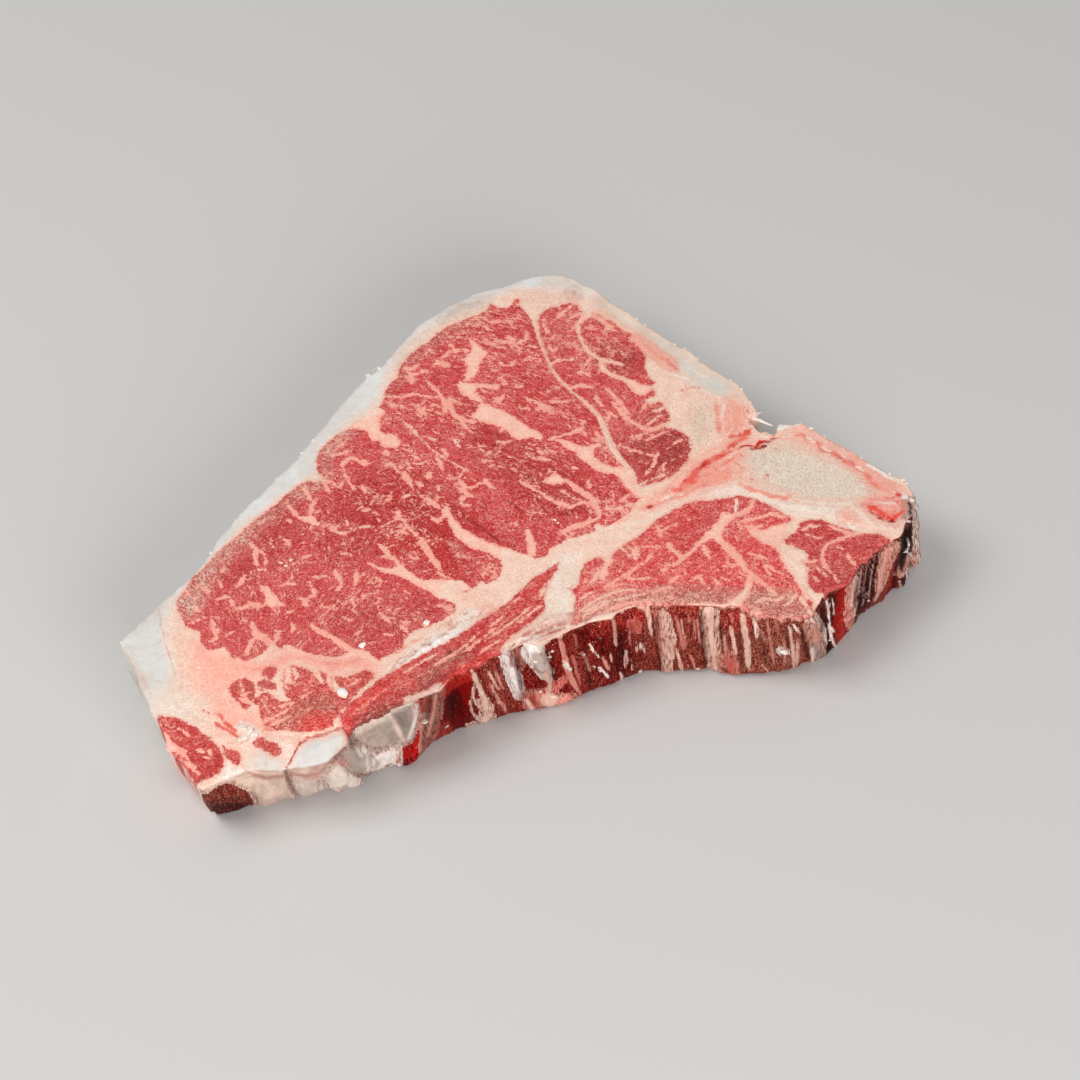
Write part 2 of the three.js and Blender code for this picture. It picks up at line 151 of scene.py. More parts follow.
# Seams of fat and gristle: (width at start, width at end, colour 0 pink 1 cream 2 white, points)
SEAMS = [
 # divider between strip loin and the deep back muscles
 (2.4,1.3,0,[(533,323),(537,333),(541,345),(546,357),(552,369),(560,380),(568,388),(577,396)]),
 (2.6,6.5,0,[(577,396),(584,401),(590,406),(597,414),(602,422),(605,431),(609,441),(614,450),(620,459),(627,467)]),
 # upper strip loin
 (3,1.5,0,[(490,322),(500,322),(505,320)]),(3,2.5,0,[(498,342),(508,342),(517,343),(524,341),(527,337),(527,331)]),
 (3,2,0,[(500,362),(504,366),(510,365),(516,361)]),(2,2,0,[(524,361),(530,357),(537,358)]),(2,1.5,0,[(547,392),(556,389)]),
 (1.5,1.5,0,[(545,402),(560,402),(575,400)]),(2,2,0,[(521,408),(530,409)]),(3,3,0,[(516,387),(521,386)]),
 (4,2,0,[(446,412),(446,405),(443,399),(438,392),(432,386),(427,381)]),(3,3,0,[(403,397),(413,394),(425,396),(438,398)]),
 (3,3,0,[(384,396),(395,397),(404,397)]),(3,2,0,[(412,376),(420,373),(428,371)]),(5,2,0,[(412,382),(412,376),(408,372)]),
 (2,5,0,[(432,366),(438,363),(444,364),(448,366)]),(4,2,0,[(404,369),(411,369),(418,366)]),(2.5,2,0,[(441,359),(446,355),(450,351)]),
 (2,2,0,[(449,344),(453,347),(455,351)]),(2,1.5,0,[(428,351),(431,347)]),(2,2,0,[(449,398),(458,402),(464,405)]),
 (4,2,0,[(449,399),(450,407),(454,414),(460,420),(466,427),(474,433)]),(2,2,0,[(474,326),(479,324),(481,321)]),
 (2,3,0,[(480,384),(489,386),(498,386)]),(3,2,0,[(503,395),(498,403),(496,398)]),
 (2,1.2,1,[(400,418),(410,427),(419,437),(424,442),(431,449),(440,455),(449,461),(459,466),(470,471)]),
 (1.4,1,1,[(419,437),(428,437),(436,440)]),(2,2,2,[(455,440),(459,446)]),(4,2,0,[(443,449),(448,456)]),(4,2,0,[(436,457),(441,464),(443,470)]),
 (4,2.5,0,[(388,462),(394,466),(399,472)]),(6,2,0,[(405,473),(407,478),(411,485),(414,491)]),(5,3,0,[(418,483),(424,487)]),
 (5,3,1,[(405,497),(410,494)]),(6,2,0,[(428,478),(430,471)]),(2,2,0,[(408,461),(410,467)]),
 (8,8,0,[(362,463),(367,463)]),(3.5,4,0,[(341,466),(346,461),(353,458),(360,461)]),(2.5,2,0,[(343,465),(345,474),(349,482),(354,489)]),
 (3,3,0,[(330,455),(337,455),(345,452),(351,451)]),(2,2,0,[(334,450),(339,445),(343,442)]),(2,2,0,[(386,450),(389,456)]),
 (2,2,0,[(376,452),(380,451)]),(4,3,0,[(460,480),(465,486),(462,491)]),(5,2,0,[(461,489),(466,492),(473,496)]),
 (2.5,1.5,0,[(465,488),(473,487),(480,483),(487,482),(492,486),(498,491)]),(7,3,0,[(460,499),(466,497)]),(3,2,0,[(461,500),(463,505),(470,504)]),
 (4,3,0,[(427,499),(434,504),(441,509)]),(4,3,0,[(431,516),(437,521),(442,517)]),(4,3,0,[(442,517),(447,512)]),
 (5,3,0,[(398,512),(398,517)]),(2,3,0,[(395,518),(402,519),(407,526),(413,532),(418,537)]),(7,4,0,[(420,538),(425,546),(430,554),(436,563),(440,570)]),
 (3,3,0,[(406,526),(402,532),(406,534)]),(5,3.5,0,[(378,543),(384,548),(389,555),(395,559),(400,565)]),(2,2,0,[(382,556),(391,557)]),
 (1.8,1.2,0,[(425,571),(434,570)]),(1.4,1,0,[(380,527),(390,522),(399,519)]),(1.6,1.2,1,[(340,533),(351,530),(361,527),(370,526)]),
 (3,2,0,[(440,573),(446,577),(452,578)]),(3,2,0,[(457,587),(462,581)]),
 (3,1.5,0,[(520,481),(530,487),(540,493),(548,499)]),(3,3,0,[(540,492),(550,499),(560,503),(570,508),(578,504),(584,501)]),
 (3,7,0,[(564,480),(571,484),(578,489),(586,494),(593,499)]),(7,3,0,[(593,498),(594,505),(599,511),(600,516)]),
 (3,4,0,[(600,516),(595,520),(587,523),(578,525)]),(6,3,0,[(586,523),(576,526),(568,529),(560,533)]),(3,2,0,[(562,490),(569,496),(575,499)]),
 (2,2,0,[(588,480),(590,487)]),(2,1.5,0,[(620,501),(626,497),(631,494)]),(1.6,1.2,1,[(604,509),(616,509),(625,506),(632,503)]),
 (5,2,0,[(583,428),(576,431),(568,434),(561,436),(552,438)]),(3,2,0,[(596,432),(600,437),(604,442)]),(3,1.5,0,[(530,457),(540,459),(550,460)]),
 (2,1.2,0,[(486,455),(492,450),(499,447)]),(3.5,2,0,[(496,441),(504,443),(510,441)]),(3,2,0,[(500,431),(508,426),(518,424)]),
 (3,2,0,[(484,478),(488,484),(494,488)]),(5,3,0,[(571,466),(577,469)]),(2.5,1.5,0,[(549,470),(556,473)]),
 # lower strip loin
 (3,3,0,[(302,487),(308,494),(311,500)]),(4,2.5,0,[(316,499),(312,505),(311,514)]),(3,3,0,[(287,504),(292,510),(297,516)]),
 (2,2,0,[(288,520),(293,523)]),(2,1.5,0,[(320,479),(326,486),(330,492)]),(3,2,0,[(325,480),(333,483),(338,487)]),
 (3.5,3,0,[(331,527),(336,532),(343,534),(348,532),(352,529)]),(2,2,0,[(346,519),(348,526)]),(2.5,2,0,[(286,540),(289,546)]),
 (2,2,0,[(270,542),(273,547)]),(5,3,0,[(250,543),(256,549),(255,555),(257,562),(257,568)]),(2.5,2,0,[(256,548),(262,553),(266,559),(265,564)]),
 (2,2,0,[(258,571),(264,567)]),(2.5,2,0,[(245,576),(241,582),(238,586)]),(2,1.5,0,[(218,580),(222,586)]),(2,1.5,0,[(222,572),(226,567)]),
 (5,2,0,[(313,577),(320,577),(326,576)]),(3,3,0,[(309,582),(313,589),(315,594)]),(3,2,0,[(316,594),(311,596),(308,600)]),
 (4,3,0,[(335,571),(339,578),(342,583)]),(3,2,0,[(342,582),(338,590)]),(4,3,0,[(355,570),(357,577),(355,584)]),(5,4,0,[(362,573),(364,574)]),
 (2.5,2,0,[(345,552),(351,556)]),(2,2,0,[(362,486),(365,492)]),(2.5,2,0,[(339,487),(343,482)]),(3,2,0,[(363,511),(370,508)]),
 (2,2,0,[(352,505),(358,503)]),(2.5,2,0,[(385,501),(389,498)]),(3,2,0,[(373,512),(379,514)]),(2,2,0,[(303,557),(311,555)]),
 (4,3,0,[(262,606),(256,605),(250,604),(244,607),(237,609)]),(2,3,0,[(247,600),(251,604)]),(7,3,0,[(279,603),(286,606)]),
 (3,4,0,[(217,600),(224,597),(230,597)]),(4,3,0,[(231,600),(233,605)]),(7,5,0,[(194,607),(199,611)]),(3,2,0,[(192,623),(199,619)]),
 (4,3,0,[(211,620),(214,625),(212,629)]),(3,3,0,[(216,637),(214,631),(219,629)]),(3,2,0,[(210,641),(216,639),(219,636)]),
 (3,2,0,[(226,636),(232,632)]),(4,5,0,[(252,622),(254,630),(260,635),(264,640)]),(5,4,0,[(253,632),(258,637),(267,634)]),
 (4,3,0,[(256,638),(251,643),(248,650),(247,655)]),(5,6,0,[(266,638),(270,643),(272,648)]),(3,2,0,[(275,641),(278,635),(281,631)]),
 (2,2,0,[(276,630),(280,634)]),(3,2,0,[(291,623),(294,628),(292,632)]),(3,2,0,[(298,597),(304,599),(308,604)]),(4,3,0,[(303,602),(309,606)]),
 (3,6,0,[(312,624),(318,630),(326,634),(333,637)]),(7,4,0,[(333,637),(340,643),(348,649),(356,651)]),(3,2,0,[(380,613),(386,618),(391,624)]),
 (4,2,0,[(400,626),(406,630),(411,636)]),(3,2,0,[(384,634),(392,635)]),(4,3,0,[(423,625),(428,624)]),(3,2,0,[(437,605),(444,606),(449,610)]),
 (3,2,0,[(448,607),(453,611)]),(3,2,0,[(352,600),(355,607)]),(3,2,0,[(354,610),(358,614)]),(2,2,0,[(322,607),(329,608)]),
 (2.5,2,0,[(311,586),(316,592)]),(2.5,1.5,0,[(344,617),(352,620)]),(2,2,0,[(377,597),(382,599)]),(2,1.5,0,[(404,590),(410,594)]),
 (3,2,0,[(204,588),(210,592)]),(2,1.5,0,[(281,586),(289,583),(296,584)]),(2,1.5,0,[(288,612),(294,610)]),
 # deep back muscles
 (2.5,4,1,[(584,313),(578,324),(579,334),(584,345),(590,353),(597,358)]),(4,3,1,[(597,358),(606,361),(615,363),(623,364)]),
 (2,2,0,[(583,313),(575,315),(569,319)]),(2.5,2,0,[(596,357),(590,358),(585,364),(581,370)]),(5,4,1,[(601,363),(604,371),(612,375),(621,378),(629,381)]),
 (3,2,0,[(557,317),(563,313),(568,308),(575,303)]),(1.6,1.4,0,[(549,346),(552,352),(557,347),(562,347)]),(1.6,1.2,1,[(551,364),(557,360),(567,360),(576,359)]),
 (4,3,0,[(572,388),(580,385),(590,387),(598,384)]),(3,2,0,[(577,372),(584,372),(590,376)]),(3,2.5,0,[(595,392),(598,401),(603,407)]),
 (3,2,0,[(607,420),(611,413),(617,417)]),(3,5,0,[(612,402),(618,409),(624,415),(631,421),(639,426)]),(5,3,0,[(637,426),(648,430),(658,428),(667,424)]),
 (4,2.5,0,[(618,400),(624,408),(630,415)]),(2,1.5,0,[(545,318),(543,326),(549,333)]),(2,1.4,0,[(612,352),(620,350),(624,355)]),
 (2.5,2,0,[(620,445),(632,450),(645,453),(657,456),(659,452)]),(2.5,2,0,[(657,455),(655,463),(650,470),(647,474)]),
 (2,1.5,0,[(664,472),(663,466),(668,461),(676,459)]),(2,2.5,1,[(640,485),(650,480),(660,476),(668,473)]),(2,1.5,0,[(646,440),(655,436),(664,432)]),
 (2,1.5,0,[(668,448),(676,442),(683,440)]),(3,2,0,[(646,403),(642,409),(640,413)]),(4,2,1,[(655,411),(662,409),(666,406)]),
 (2,1.5,1,[(648,424),(656,418),(662,415)]),(2,2,0,[(630,437),(640,436),(650,432)]),(3,2,0,[(606,389),(612,393),(615,398)]),
 # tenderloin
 (4,6,0,[(753,500),(750,508),(744,512),(736,515)]),(5,1.5,0,[(692,551),(684,557),(676,564),(667,566)]),(8,6,0,[(722,541),(728,548),(735,554),(740,561),(745,570)]),
 (3,3,0,[(746,572),(751,573),(758,580),(765,585),(771,590),(776,594)]),(4,6,0,[(751,574),(749,582),(747,588)]),
 (5,3,2,[(736,500),(736,506),(735,511)]),(4,4,0,[(743,521),(752,519),(762,517),(770,514),(777,513)]),(3,3,0,[(777,513),(779,517),(785,516)]),
 (4,3,0,[(746,526),(755,528),(762,525)]),(1.6,1.4,0,[(723,567),(729,565),(737,565)]),(2,2,0,[(750,553),(758,555),(765,558),(769,561)]),
 (2.5,2,0,[(767,564),(772,568),(776,571),(782,573)]),(2,2,0,[(765,566),(768,571),(771,575)]),(5,3,0,[(703,546),(707,552),(709,558)]),
 (5,3,0,[(669,544),(672,550),(678,554),(684,557)]),(3,2,0,[(605,587),(618,579),(631,571),(642,563),(650,557),(657,549)]),
 (3,2.5,0,[(625,578),(635,579),(645,578),(651,577)]),(5,3,0,[(662,571),(667,569)]),(2.5,2,0,[(669,584),(675,578),(682,575)]),
 (2,2,0,[(690,581),(697,577),(703,574)]),(2,1.5,0,[(701,579),(706,585)]),(2.2,1.5,0,[(714,578),(720,584)]),(1.6,1.4,0,[(723,578),(731,581)]),
 (1.6,1.4,0,[(640,547),(651,546),(659,547)]),(3,2,0,[(636,547),(638,556)]),(2.5,2,0,[(657,526),(660,531),(661,537)]),(2,1.6,0,[(663,530),(670,526),(677,524)]),
 
 (2.5,2,1,[(578,613),(590,604),(602,597),(614,592),(628,589),(642,590)]),(2,1.6,1,[(583,617),(597,608),(612,600),(630,597),(645,594)]),
 (2,1.5,1,[(578,601),(586,595),(596,590)]),(2,1.5,1,[(586,612),(598,604),(610,600)]),
 (2.5,1.5,1,[(600,570),(596,577),(590,583)]),(2,1.5,0,[(612,586),(624,583),(636,586)]),(3,2,0,[(655,592),(664,588),(674,588)]),
 (2.5,1.5,1,[(612,540),(622,548),(630,556)]),(3,2,1,[(628,546),(634,552),(636,560)]),(3,2,0,[(790,545),(797,552)]),
 (3,2,1,[(757,602),(764,598),(772,600)]),(4,2,1,[(785,607),(792,600),(797,594)]),(5,3,1,[(800,596),(806,606),(812,616)]),(3,2,1,[(776,601),(783,597)]),
 # strap muscle
 (3,2.5,0,[(858,534),(846,537),(836,541),(828,544),(823,550),(822,557),(825,564),(829,570),(834,575)]),(3,2,0,[(834,575),(838,582)]),
 (4,3,0,[(846,553),(850,559),(855,565)]),(3,2,0,[(803,561),(811,562),(818,560)]),(1.6,1.4,0,[(827,548),(836,547),(843,549)]),
 (2.2,1.6,1,[(802,530),(808,527),(812,524)]),(2.2,1.6,1,[(813,527),(820,526)]),(4,3,0,[(829,526),(840,530),(850,534),(860,534)]),
 (2,1.6,0,[(816,566),(822,571),(828,577)]),(2,1.5,0,[(812,575),(818,581)]),(2,2,0,[(806,534),(814,537),(822,538)]),(3,2,0,[(803,566),(810,570)]),
 # ribbon muscle between the two, and the flank
 (5,3,1,[(570,634),(585,626),(600,620),(612,617)]),(3,2,0,[(604,612),(620,605),(634,602),(648,600)]),(3,2.4,0,[(648,602),(652,612)]),
 (4.5,3,1,[(690,604),(705,606),(722,606),(735,602),(741,596),(748,588)]),(1.6,1.4,0,[(234,690),(242,694),(251,692)]),(1.6,1.4,0,[(240,681),(243,690),(246,701)]),
 (2.2,1.6,0,[(262,722),(272,718),(284,712),(292,706)]),(2.2,1.6,0,[(266,728),(278,722),(289,717)]),(1.8,1.6,0,[(274,707),(284,705),(294,702)]),
 (2.4,1.6,0,[(262,699),(266,705),(270,712)]),(2,1.6,1,[(286,671),(284,679),(286,688)]),(1.8,1.6,1,[(290,668),(289,676),(291,684)]),
 (1.8,1.5,1,[(294,668),(297,676),(294,685)]),(2,1.5,0,[(298,700),(306,694),(314,690)]),(1.8,1.5,0,[(342,690),(352,684),(362,678)]),
 (2,1.5,0,[(203,752),(209,751),(212,756)]),(2,1.6,0,[(178,728),(184,731),(188,735)]),(2,1.5,0,[(186,757),(190,763),(196,768)]),
 (2.2,1.6,1,[(405,672),(420,663),(438,653)]),(1.8,1.5,0,[(463,652),(480,640),(498,627),(514,614)]),(1.8,1.5,0,[(430,668),(446,658),(460,650)]),
 (1.8,1.5,1,[(470,621),(480,613),(488,609)]),(1.8,1.5,0,[(478,655),(490,646),(500,640)]),(1.6,1.5,1,[(520,622),(532,612),(542,606)]),
 (2,1.6,1,[(533,605),(525,611),(517,618),(509,624),(501,630),(493,635),(485,641)]),(1.4,1.2,0,[(491,626),(499,620),(507,612)]),
 (1.6,1.2,1,[(525,637),(514,642),(503,648),(493,654)]),(5,4,0,[(467,649),(470,648)]),(1.2,1,1,[(480,632),(470,641),(460,650)]),
 (1.4,1,0,[(520,597),(512,604),(503,611)]),(2.5,2,1,[(545,588),(540,598)]),(1.4,1,0,[(505,615),(496,622)]),
 (3,3,0,[(316,670),(320,677),(323,684)]),(5,3,0,[(329,677),(331,684),(334,690)]),(4,3,1,[(287,668),(288,676),(286,684)]),(3,2,1,[(294,668),(295,676)]),
 (2,1.5,0,[(268,704),(262,708)]),(3,2,0,[(240,698),(246,702),(252,704)]),(2.5,2,0,[(258,687),(268,690),(275,690)]),
 (4,3,0,[(171,744),(179,749),(186,751)]),(5,5,0,[(199,750),(204,753)]),(3,3,0,[(204,757),(210,758)]),(3,2,0,[(185,762),(191,767)]),(2,2,0,[(183,733),(189,736)]),
 (3,2,0,[(174,750),(180,752),(186,756)]),(2,2,0,[(186,762),(192,768),(198,774)]),(1.6,1.4,0,[(176,728),(182,732)]),(3,3,0,[(157,722),(161,727)]),
 (4,4,1,[(262,731),(275,733),(288,733),(300,735),(315,735),(330,731)]),
]

# ------------------------------------------------------------------ tissue colours, screen RGB
CREAM = (246, 212, 192); PALE = (245, 226, 211); PINK = (249, 172, 154); ROSE = (243, 158, 139); SALMON = (240, 136, 119)
WHITE = (226, 225, 222); CHALK = (242, 234, 226); GREY = (209, 195, 183); TAN = (246, 212, 192); BUFF = (229, 213, 196)
BRICK = (214, 92, 80); BLOOD = (190, 34, 28); DEEPRED = (140, 28, 24); UMBER = (150, 92, 78)

LAMINA = [(684,392),(698,388),(710,394),(716,404),(717,418),(717,432),(712,446),(702,457),(692,463),(688,450),(686,430),(683,408)]
BODY = [(750,452),(770,443),(790,444),(812,452),(834,461),(856,471),(872,483),(884,491),(868,499),(840,501),(812,500),(788,496),(768,488),(754,478),(746,464)]

# Paint on everything that isn't muscle: (colour, feather, strength, points), in order.
FAT_PAINT = [
 # the fat cap, from the flank corner round to the chine
 (WHITE, 4, 1, [(110,642),(150,600),(185,572),(212,536),(245,500),(275,470),(305,440),(335,404),(365,366),(395,342),(425,312),(455,294),
   (485,282),(515,274),(545,266),(575,270),(596,284),(592,297),(578,296),(560,290),(540,288),(520,289),(505,293),(492,297),(478,302),
   (462,309),(447,316),(432,325),(418,334),(407,346),(396,360),(388,373),(383,384),(378,397),(368,408),(352,420),(336,433),(322,447),
   (315,462),(317,475),(300,484),(270,507),(240,534),(205,569),(183,593),(170,606),(163,618),(162,632),(166,645),(170,658),(175,672),
   (178,684),(170,700),(160,708),(150,716),(130,690)]),
 (CREAM, 3, .8, [(184,596),(206,572),(241,537),(271,510),(301,487),(318,478),(318,474),(300,483),(270,505),(240,532),(205,567),(182,592)]),
 (GREY, 4, .9, [(445,310),(455,304),(470,299),(485,297),(491,301),(478,308),(462,315),(448,321),(440,322)]),
 (GREY, 4, .6, [(395,362),(404,352),(416,341),(430,332),(440,326),(436,332),(420,343),(406,358),(398,370)]),
 ((238,202,184), 4, .8, [(516,292),(532,290),(550,290),(566,292),(568,300),(552,303),(540,310),(536,318),(531,312),(522,302)]),
 ((206,150,137), 3, .8, [(567,289),(573,287),(578,291),(579,298),(574,300),(568,297)]),
 ((236,196,178), 5, .6, [(560,300),(580,300),(596,309),(610,322),(600,320),(588,311),(576,305)]),
 ((232,216,201), 4, .8, [(545,275),(560,275),(575,279),(590,287),(596,294),(584,292),(570,287),(556,284),(546,282)]),
 ((214,211,206), 6, .95, [(116,642),(140,620),(160,604),(165,610),(163,622),(166,645),(170,660),(173,676),(162,686),(148,692),(136,684),(124,660)]),
 # painted shade: grey along the left edge of the cap, where it turns under
 ((196,186,177), 3, .7, [(127,648),(132,654),(136,664),(143,680),(146,688),(140,688),(133,674),(126,658)]),
 # the chine edge
 ((240,216,200), 5, .9, [(585,285),(600,292),(640,320),(690,350),(740,384),(760,412),(750,420),(725,405),(700,388),(678,372),(655,352),(630,335),(605,316),(590,302)]),
 ((224,206,188), 5, .9, [(594,300),(604,300),(618,310),(634,321),(646,331),(640,336),(626,330),(610,320),(596,310)]),
 ((222,208,194), 5, .9, [(640,330),(662,344),(674,350),(686,359),(702,371),(714,379),(728,386),(734,394),(722,399),(706,391),(693,384),(682,375),(672,365),(660,354),(645,344)]),
 ((219,216,210), 3, .9, [(651,338),(658,339),(668,345),(672,350),(666,351),(657,346)]),((219,216,210), 3, .7, [(671,356),(682,360),(692,366),(694,372),(684,370),(674,364)]),
 ((216,215,211), 3, .95, [(702,378),(712,378),(724,384),(730,389),(726,393),(714,389),(704,384)]),((240,232,222), 3, .9, [(736,386),(744,389),(749,396),(749,402),(743,400),(738,394)]),
 ((244,172,152), 5, .9, [(598,312),(616,320),(632,330),(648,341),(662,352),(676,364),(676,371),(664,366),(650,356),(636,347),(620,337),(606,327),(596,318)]),
 (CREAM, 5, .9, [(660,362),(672,372),(682,380),(684,392),(680,408),(672,404),(664,396),(655,384),(648,366)]),
 ((239,150,130), 4, .8, [(634,335),(646,342),(658,350),(670,360),(677,368),(670,369),(660,362),(648,353),(636,343)]),
 (TAN, 5, 1, LAMINA),
 ((216,196,176), 5, .6, [(690,408),(700,402),(709,410),(711,424),(708,440),(699,450),(692,440),(690,424)]),
 (ROSE, 6, .8, [(722,402),(734,396),(744,402),(749,416),(747,430),(738,441),(727,444),(721,432)]),
 (CREAM, 4, .8, [(728,388),(740,388),(752,400),(758,412),(750,418),(744,406),(734,398)]),
 # stem between the two muscles
 (ROSE, 7, .95, [(690,462),(706,456),(722,446),(738,440),(760,438),(756,452),(742,466),(734,480),(718,490),(700,497),(682,503),(664,508),(650,508),(656,498),(670,488),(682,476)]),
 ((247,178,158), 6, .8, [(650,494),(668,488),(682,478),(690,468),(686,480),(672,494),(656,506),(640,516),(628,520),(636,508)]),
 (CREAM, 5, .9, [(655,512),(640,522),(622,534),(602,545),(582,552),(566,556),(552,562),(552,550),(570,541),(592,530),(612,524),(632,514)]),
 (PALE, 4, .8, [(700,492),(720,486),(738,484),(752,490),(745,495),(725,496),(702,498),(684,503),(668,511),(650,522),(636,531),(622,540),(604,549),(606,545),(640,524),(664,508),(684,500)]),
 ((247,188,170), 5, .7, [(600,548),(622,538),(640,529),(655,520),(650,530),(630,540),(612,552),(600,556)]),
 # vertebra's body
 ((243,187,168), 6, 1, [(738,446),(758,440),(778,434),(800,421),(840,444),(880,466),(906,480),(914,492),(893,498),(870,501),(840,504),(810,503),(785,499),(765,493),(744,484),(734,466)]),
 (BUFF, 8, 1, BODY),
 ((246,205,190), 4, .7, [(800,425),(820,436),(836,444),(846,449),(842,453),(828,447),(812,436),(800,430)]),
 (PALE, 4, 1, [(742,486),(762,494),(786,500),(812,504),(842,505),(872,502),(896,499),(906,503),(902,516),(896,534),(880,531),(860,528),(840,524),(820,517),(798,515),(782,509),(762,499),(745,494)]),
 ((244,180,164), 4, .6, [(866,498),(884,497),(900,498),(898,505),(884,508),(870,506)]),
 ((238,160,138), 3, .6, [(839,511),(846,509),(854,511),(857,518),(853,524),(845,524),(840,520)]),
 ((226,120,104), 3, .8, [(864,506),(874,508),(886,514),(896,518),(902,514),(900,522),(890,526),(878,521),(867,513)]),
 # web between the muscles, and the white fascia below the strip loin
 (CREAM, 6, 1, [(440,600),(460,582),(488,586),(505,572),(512,552),(540,558),(556,556),(572,548),(590,533),(604,548),(590,560),(576,568),(560,562),
   (545,574),(520,592),(500,608),(478,626),(458,640),(452,618),(456,606)]),
 ((244,190,170), 5, .6, [(455,590),(470,588),(485,592),(480,602),(468,606),(456,604)]),
 ((240,178,160), 4, .7, [(478,608),(486,603),(496,604),(499,612),(492,620),(483,623),(476,617)]),
 ((226,140,126), 3, .5, [(484,608),(490,606),(495,610),(491,616),(485,617)]),
 (CHALK, 3, 1, [(386,678),(392,669),(402,660),(412,650),(425,641),(438,633),(450,628),(460,630),(462,637),(450,643),(440,649),(425,656),(412,662),(400,669),(390,677)]),
 ((232,205,190), 4, .8, [(448,630),(458,618),(468,612),(482,616),(474,626),(462,638)]),
 (CHALK, 2.5, .9, [(450,629),(459,621),(468,612),(478,613),(470,620),(460,629)]),
 ((238,196,178), 4, .6, [(400,652),(408,640),(420,633),(436,627),(450,621),(446,628),(430,637),(412,649),(400,660),(388,672),(384,668)]),
 ((242,220,204), 4, 1, [(556,568),(563,563),(572,561),(579,566),(580,575),(577,585),(573,595),(573,605),(574,614),(566,619),(555,621),(545,623),(538,619),(543,610),(541,602),(545,592),(549,582)]),
 ((238,206,190), 4, .8, [(505,657),(515,645),(530,634),(545,627),(560,622),(580,617),(600,612),(614,612),(600,622),(570,632),(545,645),(525,645),(515,650)]),
 (CHALK, 2, .8, [(555,566),(562,558),(572,554),(580,554),(572,559),(563,565)]),
 # suet and flank
 ((235,205,186), 8, 1, [(178,612),(188,630),(200,645),(230,662),(262,664),(262,674),(248,678),(228,684),(220,700),(200,716),(180,716),(172,690),(176,668),(170,648),(168,630)]),
 ((243,196,175), 8, .85, [(184,622),(196,640),(212,655),(232,664),(216,688),(204,694),(190,690),(182,664)]),
 (PINK, 7, .9, [(196,640),(215,655),(240,664),(262,662),(285,648),(300,650),(320,654),(340,657),(358,652),(372,659),(378,666),(376,676),(352,671),(332,674),
   (312,668),(296,663),(284,668),(262,668),(240,676),(226,684),(215,676),(200,660)]),
 ((250,171,152), 6, .85, [(202,650),(215,656),(240,664),(262,664),(262,673),(245,679),(229,686),(216,684),(204,672)]),
 (PINK, 6, .85, [(205,716),(220,702),(226,700),(240,710),(258,716),(262,730),(250,736),(238,742),(226,738),(214,726)]),
 ((246,196,176), 5, .8, [(222,740),(238,744),(254,752),(268,756),(290,752),(300,740),(330,734),(344,734),(340,744),(322,756),(300,762),(270,764),(246,764),(232,770),(222,776),(216,772),(226,760)]),
 ((240,214,198), 5, .8, [(244,764),(262,758),(286,758),(300,748),(322,740),(340,733),(350,742),(338,754),(322,764),(300,768),(270,771),(248,772)]),
 ((245,214,198), 4, .9, [(148,712),(158,716),(164,733),(176,750),(190,770),(200,788),(190,784),(176,764),(160,744)]),
 ((222,186,168), 4, .7, [(130,660),(142,676),(150,700),(160,716),(150,716),(138,690)]),
 ((235,216,201), 7, .9, [(150,694),(165,690),(182,694),(196,704),(210,718),(210,726),(198,728),(184,722),(168,718),(156,716)]),
 ((242,207,188), 6, .8, [(194,700),(210,712),(224,726),(238,740),(228,744),(212,734),(198,722)]),
 ((248,190,170), 5, .7, [(222,704),(236,714),(250,722),(244,728),(232,724),(222,714)]),
 # where the flank fat turns down at the front: white facets, folds and cracks
 ((250,182,162), 9, .85, [(196,668),(206,652),(222,656),(240,664),(256,668),(258,676),(244,677),(232,681),(226,690),(229,698),(236,704),(240,712),(252,712),
   (258,722),(262,732),(250,724),(236,716),(222,706),(208,694),(198,684)]),
 ((244,224,208), 5, .9, [(268,736),(280,737),(292,738),(297,742),(293,750),(286,758),(280,760),(278,756),(284,752),(282,747),(276,741)]),
 ((243,216,198), 5, .9, [(240,744),(250,748),(256,752),(250,760),(246,770),(238,774),(230,776),(226,770),(234,770),(243,766),(244,756)]),
 # painted highlight on the fat near the front corner
 ((246,238,228), 4, .9, [(224,766),(232,764),(238,769),(242,776),(232,778),(224,777)]),
 ((216,205,195), 1.6, 1, [(251,770),(253,762),(257,756),(261,752),(268,756),(277,761),(284,765),(286,769),(284,774),(268,774),(252,774)]),
 ((215,211,205), 1.6, 1, [(290,767),(296,757),(301,748),(304,742),(312,738),(322,736),(330,733),(337,731),(341,732),(345,736),(347,744),(342,753),(334,760),
   (322,766),(308,770),(292,772)]),
 ((214,160,146), 3, .8, [(340,730),(346,734),(350,742),(346,750),(340,757),(338,752),(344,744),(344,736)]),
 ((236,180,162), 3, .8, [(262,727),(276,731),(296,734),(316,734),(334,730),(344,724),(346,729),(336,733),(320,737),(304,741),(298,746),(294,742),(280,739),(266,735)]),
 # pale strands and dried skin between the ribbon and the front edge
 ((205,165,152), 3, 1, [(403,708),(402,699),(412,696),(424,692),(434,687),(442,681),(450,675),(456,671),(452,680),(445,688),(437,694),(426,700),(416,706)]),
 ((226,184,167), 5, 1, [(498,657),(503,649),(513,640),(524,631),(535,622),(544,616),(556,618),(570,615),(582,612),(594,603),(606,596),(620,592),(636,590),(650,592),
   (642,598),(626,603),(612,609),(603,616),(590,621),(575,627),(562,634),(550,642),(538,648),(520,648),(508,656)]),
 ((240,216,198), 3, .95, [(566,634),(576,628),(588,622),(600,617),(612,614),(618,618),(612,622),(600,624),(588,628),(576,634),(566,640)]),
 ((238,228,218), 2.5, .9, [(526,647),(528,640),(532,634),(538,631),(539,638),(534,645),(538,650),(530,650)]),
 ((232,220,208), 2.5, .9, [(502,660),(504,654),(509,649),(516,645),(514,652),(512,660)]),
 # skin on the ends of the tenderloin
